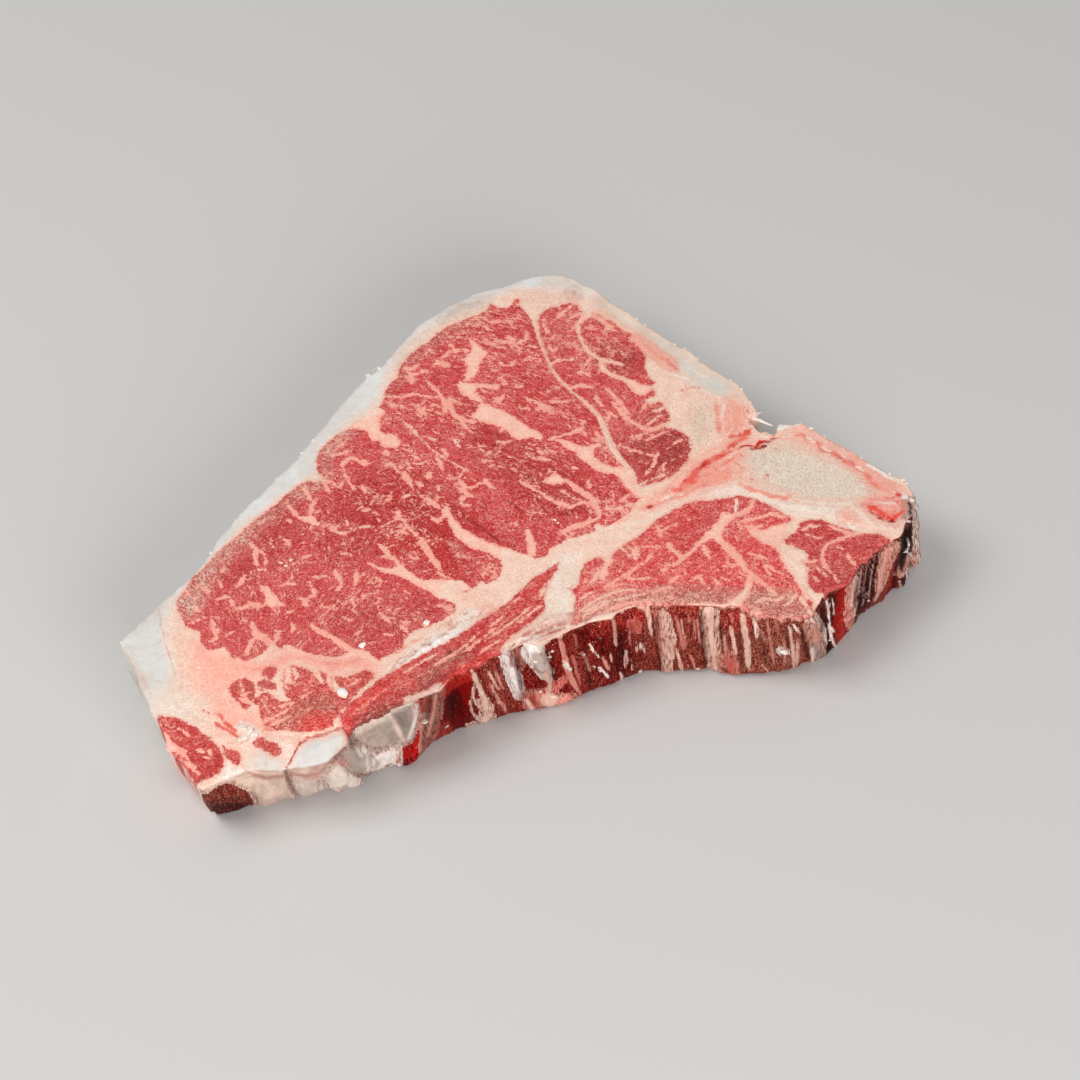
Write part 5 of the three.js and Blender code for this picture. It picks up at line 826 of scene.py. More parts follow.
def area_depth(q, points, margin=4.0):
    """How deep each point lies in the outline, in mm; negative outside, and -margin far from it."""
    poly = to_q(points)
    out = np.full(len(q), -margin)
    idx = near(q, poly, margin)
    if len(idx):
        s = q[idx]
        d, _ = segments(s, poly, np.roll(poly, -1, axis=0))
        out[idx] = np.maximum(-margin, np.where(inside(s, poly), d, -d))
    return out


def line_depth(q, points, w0, w1, margin=2.5):
    poly = to_q(points)
    out = np.full(len(q), -margin)
    if len(poly) < 2:
        return out
    idx = near(q, poly, margin + max(w0, w1) * PX)
    if len(idx):
        d, t = segments(q[idx], poly[:-1], poly[1:])
        width = (w0 + (w1 - w0) * t) * (0.5 + 0.5 * ramp(np.minimum(t, 1 - t), 0, 0.16))
        out[idx] = np.maximum(-margin, width * PX / 2 - d)
    return out


def linear(c):
    c = np.asarray(c, float) / 255
    return np.where(c <= 0.04045, c / 12.92, ((c + 0.055) / 1.055) ** 2.4)


def lay(colour, weight, new):
    colour[:] = colour + weight[:, None] * (linear(new) - colour)


def smooth_line(points, closed, per):
    p = np.asarray(points, float)
    n = len(p)
    out = []
    for i in range(n if closed else n - 1):
        if closed:
            a, b, c, d = p[i - 1], p[i], p[(i + 1) % n], p[(i + 2) % n]
        else:
            b, c = p[i], p[i + 1]
            a = p[i - 1] if i else 2 * b - c
            d = p[i + 2] if i + 2 < n else 2 * c - b
        for k in range(per):
            t = k / per
            out.append(0.5 * (2 * b + (c - a) * t + (2 * a - 5 * b + 4 * c - d) * t * t + (3 * b - 3 * c + d - a) * t ** 3))
    if not closed:
        out.append(p[-1])
    return np.array(out)


def arc(p, closed=False):
    d = np.hypot(*(np.diff(np.vstack([p, p[:1]]) if closed else p, axis=0).T))
    return np.concatenate([[0], np.cumsum(d)])


def at_arc(p, s, where, closed=False):
    q = np.vstack([p, p[:1]]) if closed else p
    return np.column_stack([np.interp(where, s, q[:, 0]), np.interp(where, s, q[:, 1])])


# ------------------------------------------------------------------ outlines in millimetres
SHIFT = np.array([0.1527, -0.2671])
BONE_FOOT = [[97.6, 5.8], [86.2, 2.1], [70.8, 1.4], [59.5, 5.0], [52.8, 9.0], [45.9, 4.3], [37.6, 2.1], [29.8, -4.5], [20.7, -12.4],
             [10.6, -18.6], [5.6, -17.4], [10.6, -13.5], [20.8, -5.9], [32.6, 5.8], [40.6, 15.6], [42.6, 21.9], [40.3, 30.6], [39.5, 39.9],
             [38.6, 47.8], [36.0, 54.9], [31.3, 61.8], [23.4, 72.8], [19.7, 77.7], [16.4, 84.4], [14.0, 94]]
FAT_LINE = [[16.0, 82.0], [10.5, 79.6], [4.2, 78.4], [0.1, 70.5], [-4.6, 76.8], [-14.6, 75.3], [-23.2, 69.5], [-31.8, 59.8], [-39.4, 45.8],
            [-48.1, 31.4], [-54.6, 21.0], [-56.0, 12.2], [-62.4, 4.6], [-74.3, -11.0], [-82.2, -23.0], [-87.4, -32.4], [-84.2, -42.4],
            [-74.6, -50.6], [-57.1, -50.2], [-45.0, -51.0], [-38.2, -56.2], [-42.0, -66.7], [-43.4, -76.0], [-43.8, -96]]
# Lower edge against upper edge: x, y, and how far the foot lies from it.
FEET = [[-101.3, -46.3, 4.1, 1.9], [-93.7, -36.2, 1.5, .6], [-77, -7.4, 1.6, .1], [-55.8, 28.3, 1.4, -.7], [-33.3, 66.2, .7, -1.4],
        [-9.2, 86.4, .2, -1.6], [4.5, 91, -.1, -1.6], [15.4, 86.1, -.1, -.4], [39.4, 61, -.2, -.3], [58.9, 35.6, -.3, -.2], [66.2, 29, -.4, -.2],
        [84.8, 18.5, -.4, -.1], [97.2, 5, 3.6, .2], [97.9, -5.2, 3.0, 5.4], [93.5, -12.7, 3.4, 6.4], [86.9, -16.7, 3.3, 5.9],
        [81.5, -22.7, 3.2, 6.4], [76.6, -29, 2.8, 5.6], [70.7, -34.5, 2.8, 4.4], [64.8, -38.6, 2.1, 4.0], [55.4, -38, 1.3, 2],
        [46.4, -35.4, .9, 0], [32.7, -35.2, .7, -.2], [21, -37.9, .4, -.8], [11.6, -42.4, 1.2, -.8], [1.7, -48.1, 1.3, .1],
        [-8, -52.1, 1, 1.8], [-17.7, -57.8, .8, 3.1], [-27.2, -65.4, .7, 4.4], [-37.2, -70.5, 0, 3.2], [-43.8, -75.5, .2, 4],
        [-48.4, -81.6, -.2, 7.2], [-55.5, -84.5, -.6, 7.2], [-66.9, -85, -.3, 5.4], [-74, -87.1, .3, 5.4], [-78.7, -91, 0, 8.2],
        [-83.8, -82.9, 3.2, 3.2], [-89.3, -73.9, 3.5, 2.8], [-94.4, -60.6, 3.8, 2.4], [-98.5, -51.7, 4, 2.1]]
LEVELS = np.array([0, 0.35, 0.8, 1.4, 2.1, 2.9, 3.8, 4.8, 5.8, 6.8, 7.8, 8.8, 9.8, 10.8, 11.8, 12.8, 13.8, 14.8, 15.8, 16.8, 17.8, 18.8,
                   19.8, 20.8, 21.7, 22.5, 23.3, 24.0, 24.55, 25.0]) / 25

# Rim: from the view to millimetres, then evenly spaced, closer along the side that shows.
rim_uv = np.array(RIM, float)
rx, ry = face_point(rim_uv[:, 0], rim_uv[:, 1])
rim_xy = np.column_stack([rx, ry])
first_front = RIM.index((913, 492))
last_front = RIM.index((199, 787))
fine = smooth_line(rim_xy, True, 10)
s_fine = arc(fine, True)
s_mark = s_fine[np.arange(len(RIM)) * 10]
s0, s1, total = s_mark[first_front], s_mark[last_front], s_fine[-1]
steps = []
s = 0.0
while s < total - 0.3:
    steps.append(s)
    s += 0.45 if s0 - 1 < s < s1 + 1 else 0.8
steps = np.array(steps)
rim = at_arc(fine, s_fine, steps, True)
ahead = at_arc(fine, s_fine, (steps + 1.2) % total, True) - at_arc(fine, s_fine, (steps - 1.2) % total, True)
ahead /= np.hypot(ahead[:, 0], ahead[:, 1])[:, None]
rim_out = np.column_stack([-ahead[:, 1], ahead[:, 0]])
front = (steps > s0) & (steps < s1)
back_fat = (steps < s_mark[RIM.index((590, 286))])
ragged = 0.20 * noise(steps / 1.1, 3.3, seed=5) + 0.14 * noise(steps / 0.45, 1.3, seed=6)
ragged = np.where(front, 0.6 * ragged, ragged)
burrs = np.clip(noise(steps / 1.5, 7.7, seed=9) - 0.55, 0, 1) * 1.5
rim = rim + rim_out * (ragged + np.where(front, 0, burrs))[:, None]

feet = np.array(FEET, float)
mark = np.array([np.argmin(np.hypot(*(rim - (f[:2] + SHIFT)).T)) for f in feet])
order = np.argsort(steps[mark])
fs, fo = steps[mark][order], feet[order, 2:]
foot = np.column_stack([np.interp(steps, fs, fo[:, k], period=total) for k in (0, 1)])


def round_off(values, sigma):
    """Smooths values along the rim."""
    out = np.zeros_like(values)
    weight = 0
    for d in np.linspace(-2 * sigma, 2 * sigma, 17):
        w = math.exp(-0.5 * (d / sigma) ** 2)
        out += w * np.column_stack([np.interp((steps + d) % total, steps, values[:, k], period=total) for k in range(values.shape[1])])
        weight += w
    return out / weight


foot = round_off(foot, 2.5)
fx, fy = look([p[0] for p in FOOT], [p[1] for p in FOOT], 0.0)
order = np.argsort(fx)
fx, fy = fx[order], fy[order]
bx = rim[:, 0] + foot[:, 0]
want = np.interp(bx, fx, fy) - rim[:, 1]
blend = np.where(front, ramp(bx, -88, -82) * (1 - ramp(bx, 86, 94)), 0)
foot[:, 1] += blend * (want - foot[:, 1])
foot = round_off(foot, 1.0)
tucked = np.where(front | (rim[:, 0] > -60), 0, ramp(-rim_out[:, 1], 0.0, 0.5))
foot -= 2.2 * tucked[:, None] * rim_out

# Inner lines, clipped to the rim.
def inner_line(points):
    p = smooth_line(np.array(points) + SHIFT, False, 12)
    s = arc(p)
    p = at_arc(p, s, np.arange(0, s[-1], 0.6))
    keep = inside(p, rim)
    d = np.array([np.min(np.hypot(*(rim - a).T)) for a in p])
    return p[keep & (d > 0.45)]


bone_line = inner_line(BONE_FOOT)
i_end = int(np.argmin(np.hypot(*(rim - bone_line[0]).T)))
i_chine = int(np.argmin(np.hypot(*(rim - bone_line[-1]).T)))
fat_line = inner_line(FAT_LINE)
bone_poly = np.vstack([bone_line, [[10, 110], [130, 110], [130, 6]]])
clear = ~inside(fat_line, bone_poly) & (np.array([np.min(np.hypot(*(bone_line - a).T)) for a in fat_line]) > 0.4)
fat_line = fat_line[np.argmax(clear):]
i_triple = int(np.argmin(np.hypot(*(bone_line - fat_line[0]).T)))
i_front = int(np.argmin(np.hypot(*(rim - fat_line[-1]).T)))

NR, NB, NF = len(rim), len(bone_line), len(fat_line)
col_xy = np.vstack([rim, bone_line, fat_line])
outer = np.arange(len(col_xy)) < NR
col_out = np.vstack([rim_out, np.zeros((NB + NF, 2))])
col_s = np.concatenate([steps, np.zeros(NB + NF)])
col_front = np.concatenate([front, np.zeros(NB + NF, bool)])
col_foot = np.vstack([foot, np.zeros((NB + NF, 2))])
col_near = np.concatenate([np.arange(NR), [int(np.argmin(np.hypot(*(rim - a).T))) for a in col_xy[NR:]]])
col_pull = np.clip(1 - np.hypot(*(col_xy - col_xy[col_near]).T) / 14, 0, 1) ** 1.5

r = lambda a, b: [(a + k) % NR for k in range(((b - a) % NR) + 1)]
bone_ids = list(range(NR, NR + NB))
fat_ids = list(range(NR + NB, NR + NB + NF))
LOOPS = {
    "bone": r(i_chine, i_end) + bone_ids,
    "fat": r(i_front, i_chine) + bone_ids[i_triple:][::-1] + fat_ids,
    "lean": r(i_end, i_front) + fat_ids[::-1] + bone_ids[:i_triple + 1][::-1],
}


# ------------------------------------------------------------------ tissue fields
MUSCLES = [(LOIN, 1.0), (DEEP, 0.75), (FILLET, 0.8), (STRAP, 0.45), (RIBBON, 0.3), (SIDE1, 0.5), (SIDE2, 0.5), (SIDE3, 0.4), (SIDE4, 0.55),
           (SIDE5, 0.5), (TAIL, 0.6), (TAIL2, 0.4)]
SMALL = (SIDE1, SIDE2, SIDE3, SIDE4, SIDE5, TAIL, TAIL2)


def polar(x, y):
    cx, cy = face_point(np.array([270.0]), np.array([690.0]))
    dx, dy = x - cx[0], y - cy[0]
    return np.hypot(dx, dy), np.arctan2(dx, dy) * 70


def grain(q, x, y, z):
    """Coordinates along which the fibres run: across, along, height."""
    a, b = polar(x, y)
    for shape, angle in ((DEEP, -38), (FILLET, 40), (STRAP, 12), (RIBBON, 46), (SIDE4, 20), (TAIL, -50)):
        t = math.radians(angle)
        w = area_depth(q, shape, 2.0) > -0.3
        a = np.where(w, -x * math.sin(t) + y * math.cos(t), a)
        b = np.where(w, x * math.cos(t) + y * math.sin(t), b)
    return np.column_stack([a, b * 0.82, z * 0.6])


def face_fields(u, v, x, y, z):
    q = np.column_stack([u / QX, v / QY])
    n = len(q)
    q = q + 0.20 * drift(x / 1.5, y / 1.5, 100) + 0.22 * drift(x / 5.0, y / 5.0, 104)
    qp = q + 0.45 * drift(x / 2.0, y / 2.0, 108) + 0.55 * drift(x / 5.5, y / 5.5, 112)
    m = np.full(n, -4.0)
    density = np.zeros(n)
    qs = q + 0.28 * drift(x / 0.9, y / 0.9, 116)
    for shape, d in MUSCLES:
        a = area_depth(qs if shape in SMALL else q, shape)
        density = np.where(a > -0.5, d, density)
        m = np.maximum(m, a)
    muscle = m.copy()
    for shape in FAT_AREAS:
        a = area_depth(q, shape)
        m = np.minimum(m, -a)
    fat = np.tile(linear(CREAM), (n, 1))
    for colour, feather, strength, shape in FAT_PAINT:
        f = feather * PX
        lay(fat, strength * ramp(area_depth(qp, shape, 5), -f, f), colour)
    stain, stain_tint = np.zeros(n), fat.copy()
    for colour, strength, w0, w1, line in FAT_LINES:
        a = line_depth(qp, line, w0, w1)
        lay(stain_tint, ramp(a, -1.0, -0.3), colour)
        half = max(w0, w1) * PX / 2
        stain = np.maximum(stain, strength * ramp(a, -0.45 - 0.45 * half, min(0.35, 0.2 + 0.5 * half) if half < 0.6 else 0.75 * half))
    within = ramp(muscle, 0.1, 0.8)
    stain *= 1 - within
    lay(fat, within, (251, 192, 174))
    middle = np.full(n, -4.0)
    for shape in FAT_AREAS:
        middle = np.maximum(middle, area_depth(qp, shape))
    lay(fat, 0.25 * ramp(middle, 0.2, 1.5), (254, 224, 202))
    white = np.zeros(n)
    for shape in SMOOTH:
        white = np.maximum(white, ramp(area_depth(qp, shape, 5), -0.5, 0.5) * (1 - within))
    s = np.full(n, -2.5)
    for w0, w1, tone, line in SEAMS:
        a = line_depth(q, line, w0, w1)
        if tone:
            lay(fat, ramp(a, -0.5, 0.1), (CREAM, CREAM, CHALK)[tone])
        s = np.maximum(s, a)
    lean = np.tile(linear((206, 98, 92)), (n, 1))
    for colour, feather, strength, shape in LEAN_PAINT:
        f = feather * PX
        lay(lean, strength * ramp(area_depth(qp, shape, 6), -f, f), colour)
    for colour, strength, w0, w1, line in LEAN_LINES:
        lay(lean, strength * ramp(line_depth(qp, line, w0, w1), -0.35, 0.25), colour)
    dry = np.zeros(n)
    for colour, feather, strength, shape in LEAN_PAINT:
        if colour in ((216, 168, 150), (208, 140, 124), (206, 146, 128), (214, 160, 142)):
            dry = np.maximum(dry, ramp(area_depth(qp, shape, 5), -0.8, 0.8))
    porous = np.maximum(ramp(area_depth(q, BODY, 5), -1.5, 1.5), ramp(area_depth(q, LAMINA, 5), -1, 1))
    return {"m": m, "s": s, "density": density, "fat": fat, "lean": lean, "dry": dry, "porous": porous, "flow": grain(q, x, y, z),
            "wall": np.zeros(n), "dark": np.zeros(n), "wet": np.zeros(n), "smooth": white, "stain": stain, "stain_tint": stain_tint, "pool": np.zeros(n)}


def wall_relief(u, v):
    q = np.column_stack([u / QX, v / QY])
    h = np.zeros(len(q))
    for colour, feather, relief, smooth, shape in WALL_FAT:
        h = np.maximum(h, relief * ramp(area_depth(q, shape, 3), -0.6, 0.8 if relief < 1.2 else 1.5))
    for colour, feather, strength, relief, shape in WALL_LEAN:
        if relief:
            h += relief * ramp(area_depth(q, shape, 3), -0.8, 1.2)
    for w0, w1, colour, relief, line in WALL_LINES:
        h = np.maximum(h, relief * ramp(line_depth(q, line, w0, w1), -0.5, 0.3))
    for w0, w1, strength, depth, line in WALL_CRACK_SHADE:
        h -= depth * ramp(line_depth(q, line, w0, w1), -0.6, 0.4)
    return h


WALL_LIFT = 1.04                     # the sides get a little less light than the face


def wall_fields(u, v, x, y, z):
    q = np.column_stack([u / QX, v / QY])
    n = len(q)
    lean = np.tile(linear((132, 62, 50)), (n, 1))
    for colour, feather, strength, relief, shape in WALL_LEAN:
        f = feather * PX
        lay(lean, strength * ramp(area_depth(q, shape, 6), -f, f), colour)
    fat = np.tile(linear((206, 160, 142)), (n, 1))
    lean *= WALL_LIFT * np.array([0.98, 0.76, 0.72])
    m = np.full(n, 1.5)
    calm = np.zeros(n)
    for colour, feather, relief, smooth, shape in WALL_FAT:
        f = feather * PX
        a = area_depth(q, shape, 5)
        m = np.minimum(m, -a)
        calm += ramp(a, -0.3, 0.3) * (smooth - calm)
        lay(fat, ramp(a, -f - 0.4, f - 0.2), colour)
    pool = np.zeros(n)
    for colour, feather, strength, relief, shape in WALL_LEAN:
        if relief <= -0.8 and feather >= 4:
            pool = np.maximum(pool, ramp(area_depth(q, shape, 3), -0.2, 1.0))
    s = np.full(n, -2.5)
    for w0, w1, colour, relief, line in WALL_LINES:
        a = line_depth(q, line, w0, w1)
        lay(fat, ramp(a, -0.8, 0.0), colour)
        s = np.maximum(s, a)
    fat *= WALL_LIFT * (1.10 - calm[:, None] * np.array([0.20, 0.26, 0.28]))
    # painted shade in the cracks and hollows of the side
    dark = np.zeros(n)
    for w0, w1, strength, depth, line in WALL_CRACK_SHADE:
        dark = np.maximum(dark, strength * ramp(line_depth(q, line, w0, w1), -0.5, 0.3))
    return {"m": m, "s": s, "density": np.zeros(n), "fat": fat, "lean": lean, "dry": np.zeros(n), "porous": np.zeros(n),
            "flow": np.column_stack([x, y, z * 0.2]), "wall": np.ones(n), "dark": dark, "wet": np.ones(n), "smooth": calm, "stain": np.zeros(n), "stain_tint": fat, "pool": pool}


# ------------------------------------------------------------------ meshes
def hexes(loop_xy, step, seed, avoid, gap):
    lo, hi = loop_xy.min(0) - 1, loop_xy.max(0) + 1
    dy = step * math.sqrt(3) / 2
    rows = np.arange(lo[1], hi[1], dy)
    pts = []
    for k, yy in enumerate(rows):
        xs = np.arange(lo[0] + (step / 2 if k % 2 else 0), hi[0], step)
        pts.append(np.column_stack([xs, np.full(len(xs), yy)]))
    p = np.vstack(pts)
    p += step * 0.13 * np.column_stack([noise(p[:, 0] * 7.1, p[:, 1] * 6.3, seed=seed), noise(p[:, 0] * 6.7, p[:, 1] * 7.9, seed=seed + 1)])
    p = p[inside(p, loop_xy)]
    tree = kdtree.KDTree(len(avoid))
    for i, a in enumerate(avoid):
        tree.insert((a[0], a[1], 0), i)
    tree.balance()
    keep = [tree.find((a[0], a[1], 0))[2] > gap for a in p]
    return p[np.array(keep)]


def fill(loop_xy, extra):
    pts = np.vstack([loop_xy, extra])
    n = len(loop_xy)
    vs, _, fs, ov, _, _ = delaunay_2d_cdt([tuple(p) for p in pts], [], [list(range(n))], 1, 1e-7, True)
    if len(vs) != len(pts):
        raise RuntimeError("triangulation changed the points: %d of %d" % (len(vs), len(pts)))
    back = np.array([o[0] for o in ov])
    t = back[np.array(fs)]
    a, b, c = pts[t[:, 0]], pts[t[:, 1]], pts[t[:, 2]]
    area = (b[:, 0] - a[:, 0]) * (c[:, 1] - a[:, 1]) - (b[:, 1] - a[:, 1]) * (c[:, 0] - a[:, 0])
    t[area < 0] = t[area < 0][:, ::-1]
    middle = (a + b + c) / 3
    return t[inside(middle, loop_xy)]


def line_points(step):
    out = []
    for w0, w1, _, line in SEAMS:
        out.append(line)
    for row in FAT_LINES + LEAN_LINES:
        out.append(row[-1])
    pts = []
    for line in out:
        p = np.array(line, float)
        x, y = face_point(p[:, 0], p[:, 1])
        xy = np.column_stack([x, y])
        s = arc(xy)
        if s[-1] < 0.3:
            continue
        pts.append(at_arc(xy, s, np.linspace(0, s[-1], max(2, int(s[-1] / step) + 1))))
    return np.vstack(pts)


def thin(points, gap):
    """Drops points closer than gap to an earlier one."""
    cell = {}
    keep = []
    for i, (a, b) in enumerate(points):
        key = (int(math.floor(a / gap)), int(math.floor(b / gap)))
        ok = True
        for dx in (-1, 0, 1):
            for dy in (-1, 0, 1):
                for j in cell.get((key[0] + dx, key[1] + dy), ()):
                    if math.hypot(points[j][0] - a, points[j][1] - b) < gap:
                        ok = False
        if ok:
            cell.setdefault(key, []).append(i)
            keep.append(i)
    return points[keep]


def skin_height(x, y):
    """Height of the upper face with its softened outer edge and slight unevenness."""
    z = cut_height(x, y)
    d = rim_distance(x, y)
    z = z - 0.3 * np.clip(1 - d / 0.9, 0, 1) ** 2
    u, v = project(np.column_stack([x, y, z]))
    q = np.column_stack([u / QX, v / QY])
    for height, shape in LUMPS:
        z = z + height * ramp(area_depth(q, shape, 3), -0.3, 1.0)
    for depth, w0, w1, line in GROOVES:
        z = z - depth * ramp(line_depth(q, line, w0, w1), -0.6, 0.3)
    return z + 0.10 * fbm(x / 5.0, y / 5.0, seed=40) + 0.05 * fbm(x / 1.3, y / 1.3, seed=41)


def rim_distance(x, y):
    out = np.full(len(x), 9.0)
    tree = RIM_TREE
    for i in range(len(x)):
        d = tree.find((x[i], y[i], 0))[2]
        out[i] = d
    return out


RIM_TREE = kdtree.KDTree(NR)
for i, a in enumerate(rim):
    RIM_TREE.insert((a[0], a[1], 0), i)
RIM_TREE.balance()

STROKES = thin(line_points(0.5), 0.3)


def column_rings():
    """Positions of every column at every level."""
    n, k = len(col_xy), len(LEVELS)
    inset = np.where(outer, 0.20, 0.0)
    top_xy = col_xy - col_out * inset[:, None]
    top_xy = np.where(outer[:, None], top_xy, col_xy + col_pull[:, None] * (top_xy - col_xy)[col_near])
    top_z = skin_height(top_xy[:, 0], top_xy[:, 1])
    P = np.zeros((k, n, 3))
    for j, t in enumerate(LEVELS):
        z = top_z * (1 - t)
        down = t ** 1.25
        depth = top_z - z
        soft = np.where(outer, 0.20 * np.clip(1 - depth / 0.6, 0, 1) ** 2, 0)
        foot_soft = np.where(outer, 1.2 * np.clip(1 - z / 2.2, 0, 1) ** 2, 0)
        belly = np.where(outer, 0.55 * math.sin(math.pi * t), 0)
        xy = col_xy + col_foot * down + col_out * (belly - soft - foot_soft)[:, None]
        P[j, :, :2] = xy
        P[j, :, 2] = z
    return P, top_xy


RINGS, TOP_XY = column_rings()
# unevenness of the sides
for j, t in enumerate(LEVELS):
    if j == 0:
        continue
    p = RINGS[j]
    fade = ramp(np.full(len(p), t * 25), 0.2, 2.0) * (1 - 0.6 * ramp(np.full(len(p), t * 25), 23.5, 25))
    s = col_s
    fibres = 0.55 * fbm(s / 2.6, t * 1.3, seed=50) + 0.30 * fbm(s / 0.9, t * 3.0, seed=51) + 0.28 * fbm(s / 3.0, t * 8.0, seed=52) + 0.14 * fbm(s / 1.0, t * 20.0, seed=53)
    calm = 0.35 * fbm(s / 6.0, t * 3.0, seed=54) + 0.12 * fbm(s / 1.5, t * 10.0, seed=55)
    h = np.where(col_front, fibres * 1.15, calm)
    h = np.where(outer, h * fade, 0)
    u, v = project(p)
    h = h + np.where(col_front, wall_relief(u, v) * fade, 0)
    RINGS[j, :, :2] += col_out * h[:, None]
corner = np.clip(1 - np.abs(steps - s_mark[RIM.index((203, 790))]) / 14, 0, 1)
for j, t in enumerate(LEVELS):
    w = np.clip(1.6 * corner, 0, 1) * t ** 0.5
    soft = round_off(RINGS[j, :NR, :2], 1.6)
    RINGS[j, :NR, :2] += w[:, None] * (soft - RINGS[j, :NR, :2])
    shift = (RINGS[j, :, :2] - col_xy)[col_near]
    RINGS[j, :, :2] = np.where(outer[:, None], RINGS[j, :, :2], col_xy + col_pull[:, None] * shift)
BASE_UV = project(RINGS.reshape(-1, 3))


def build(name, loop, step, under):
    ids = np.array(loop)[::-1]          # anticlockwise from above
    n, k = len(ids), len(LEVELS)
    top_loop = TOP_XY[ids]
    gap = step * 0.55
    extra = STROKES[inside(STROKES, top_loop)]
    tree = kdtree.KDTree(n)
    for i, a in enumerate(top_loop):
        tree.insert((a[0], a[1], 0), i)
    tree.balance()
    extra = extra[np.array([tree.find((a[0], a[1], 0))[2] > 0.3 for a in extra])] if len(extra) else extra
    grid = hexes(top_loop, step, 60, np.vstack([top_loop, extra]), gap)
    extra = np.vstack([extra, grid])
    top_tris = fill(top_loop, extra)
    low_loop = RINGS[-1][ids][:, :2]
    low_extra = hexes(low_loop, under, 70, low_loop, under * 0.5)
    low_tris = fill(low_loop, low_extra)

    side = RINGS[:, ids]                                    # k, n, 3
    top_extra = np.column_stack([extra, skin_height(extra[:, 0], extra[:, 1])])
    low = np.column_stack([low_extra, np.zeros(len(low_extra))])
    n_side, n_top = n * k, len(extra)
    second = n_side + n_top + len(low)      # the walls inside the steak have points of their own
    verts = np.vstack([side.reshape(-1, 3), top_extra, low, side.reshape(-1, 3)])
    faces = []
    tmap = np.concatenate([np.arange(n), n_side + np.arange(n_top)])
    faces.append(tmap[top_tris])
    a = np.arange(n)
    b = (a + 1) % n
    quads = []
    for j in range(k - 1):
        quads.append(np.column_stack([j * n + a, (j + 1) * n + a, (j + 1) * n + b, j * n + b]))
    inner_col = ~outer[ids]
    quads = np.vstack(quads)
    quads[np.tile(inner_col[a] | inner_col[b], k - 1)] += second
    lmap = np.concatenate([(k - 1) * n + np.arange(n), n_side + n_top + np.arange(len(low))])
    bottom = lmap[low_tris][:, ::-1]
    n_tris = len(top_tris) + 2 * len(quads) + len(bottom)
    if n_tris > 199000:
        raise RuntimeError(name + " has too many triangles")

    # where each vertex gets its tissue from: 0 upper face, 1 front side, 2 other sides, 3 lower face
    ring, colid = np.full(len(verts), -1), np.zeros(len(verts), int)
    for start in (0, second):
        ring[start:start + n_side] = np.repeat(np.arange(k), n)
        colid[start:start + n_side] = np.tile(ids, k)
    kind = np.where(ring > 0, np.where(col_front[colid] & outer[colid], 1, 2), 0)
    kind[n_side + n_top:second] = 3
    kind[second:] = 2
    loops = np.concatenate([faces[0].ravel(), quads.ravel(), bottom.ravel()])
    used = np.unique(loops)
    place = np.full(len(verts), -1)
    place[used] = np.arange(len(used))
    loops = place[loops]
    verts, ring, colid, kind = verts[used], ring[used], colid[used], kind[used]
    print(name, "vertices", len(verts), "triangles", n_tris)

    me = bpy.data.meshes.new(name)
    counts = np.concatenate([np.full(len(faces[0]), 3), np.full(len(quads), 4), np.full(len(bottom), 3)])
    me.vertices.add(len(verts))
    me.vertices.foreach_set("co", (verts * MM).ravel())
    me.loops.add(len(loops))
    me.loops.foreach_set("vertex_index", loops.astype(np.int32))
    me.polygons.add(len(counts))
    me.polygons.foreach_set("loop_start", np.concatenate([[0], np.cumsum(counts)[:-1]]).astype(np.int32))
    me.update(calc_edges=True)
    me.validate()
    if len(me.polygons) != len(counts):
        raise RuntimeError("faces were dropped from " + name)
    me.polygons.foreach_set("use_smooth", np.ones(len(counts), bool))
    me.update()

    x, y, z = verts.T
    src = verts.copy()
    sel = (kind == 2) | (kind == 1)
    inward = col_xy[colid] - col_out[colid] * 1.3
    wob = noise(col_s[colid] / 3.0, ring * 0.25, seed=80)
    inward = inward - col_out[colid] * (0.8 * wob)[:, None]
    src[sel, :2] = inward[sel]
    src[sel, 2] = cut_height(*inward[sel].T)
    b3 = kind == 3
    wx = x + 1.6 * noise(x / 22, y / 22, seed=90) + 0.7 * noise(x / 6, y / 6, seed=91)
    wy = y + 1.6 * noise(x / 22, y / 22, seed=92) + 0.7 * noise(x / 6, y / 6, seed=93)
    src[b3, 0] = wx[b3]
    src[b3, 1] = wy[b3]
    src[b3, 2] = cut_height(wx[b3], wy[b3])
    u, v = project(src)
    fields = face_fields(u, v, src[:, 0], src[:, 1], z)
    w = np.where(kind == 1)[0]
    if len(w):
        ring_uv = project(verts[w])
        wall = wall_fields(ring_uv[0], ring_uv[1], x[w], y[w], z[w])
        drop = cut_height(*col_xy[colid[w]].T) - z[w]
        along = col_s[colid[w]]
        over = ramp(0.35 + 1.5 * noise(along / 2.1, 2.2, seed=97) + 0.8 * noise(along / 0.7, 1.2, seed=98) - drop, -0.3, 0.5)
        over = np.where(drop < 4, over, 0) * (1 - wall["smooth"]) * (ring_uv[0] < 893)
        for key in fields:
            share = over if wall[key].ndim == 1 else over[:, None]
            fields[key][w] = wall[key] + share * (fields[key][w] - wall[key])
    hid = kind == 2
    fields["stain"][hid] = 0
    fields["flow"][hid] = np.column_stack([x, y, z * 0.3])[hid]
    fields["wet"] = np.where(kind == 1, 1.0, 0.15)
    if name == "steak_bone":
        fields["m"][kind != 1] = np.minimum(fields["m"][kind != 1], -1.0)
        fields["s"][kind != 1] = np.minimum(fields["s"][kind != 1], -1.0)
        fields["porous"][hid] = 1.0
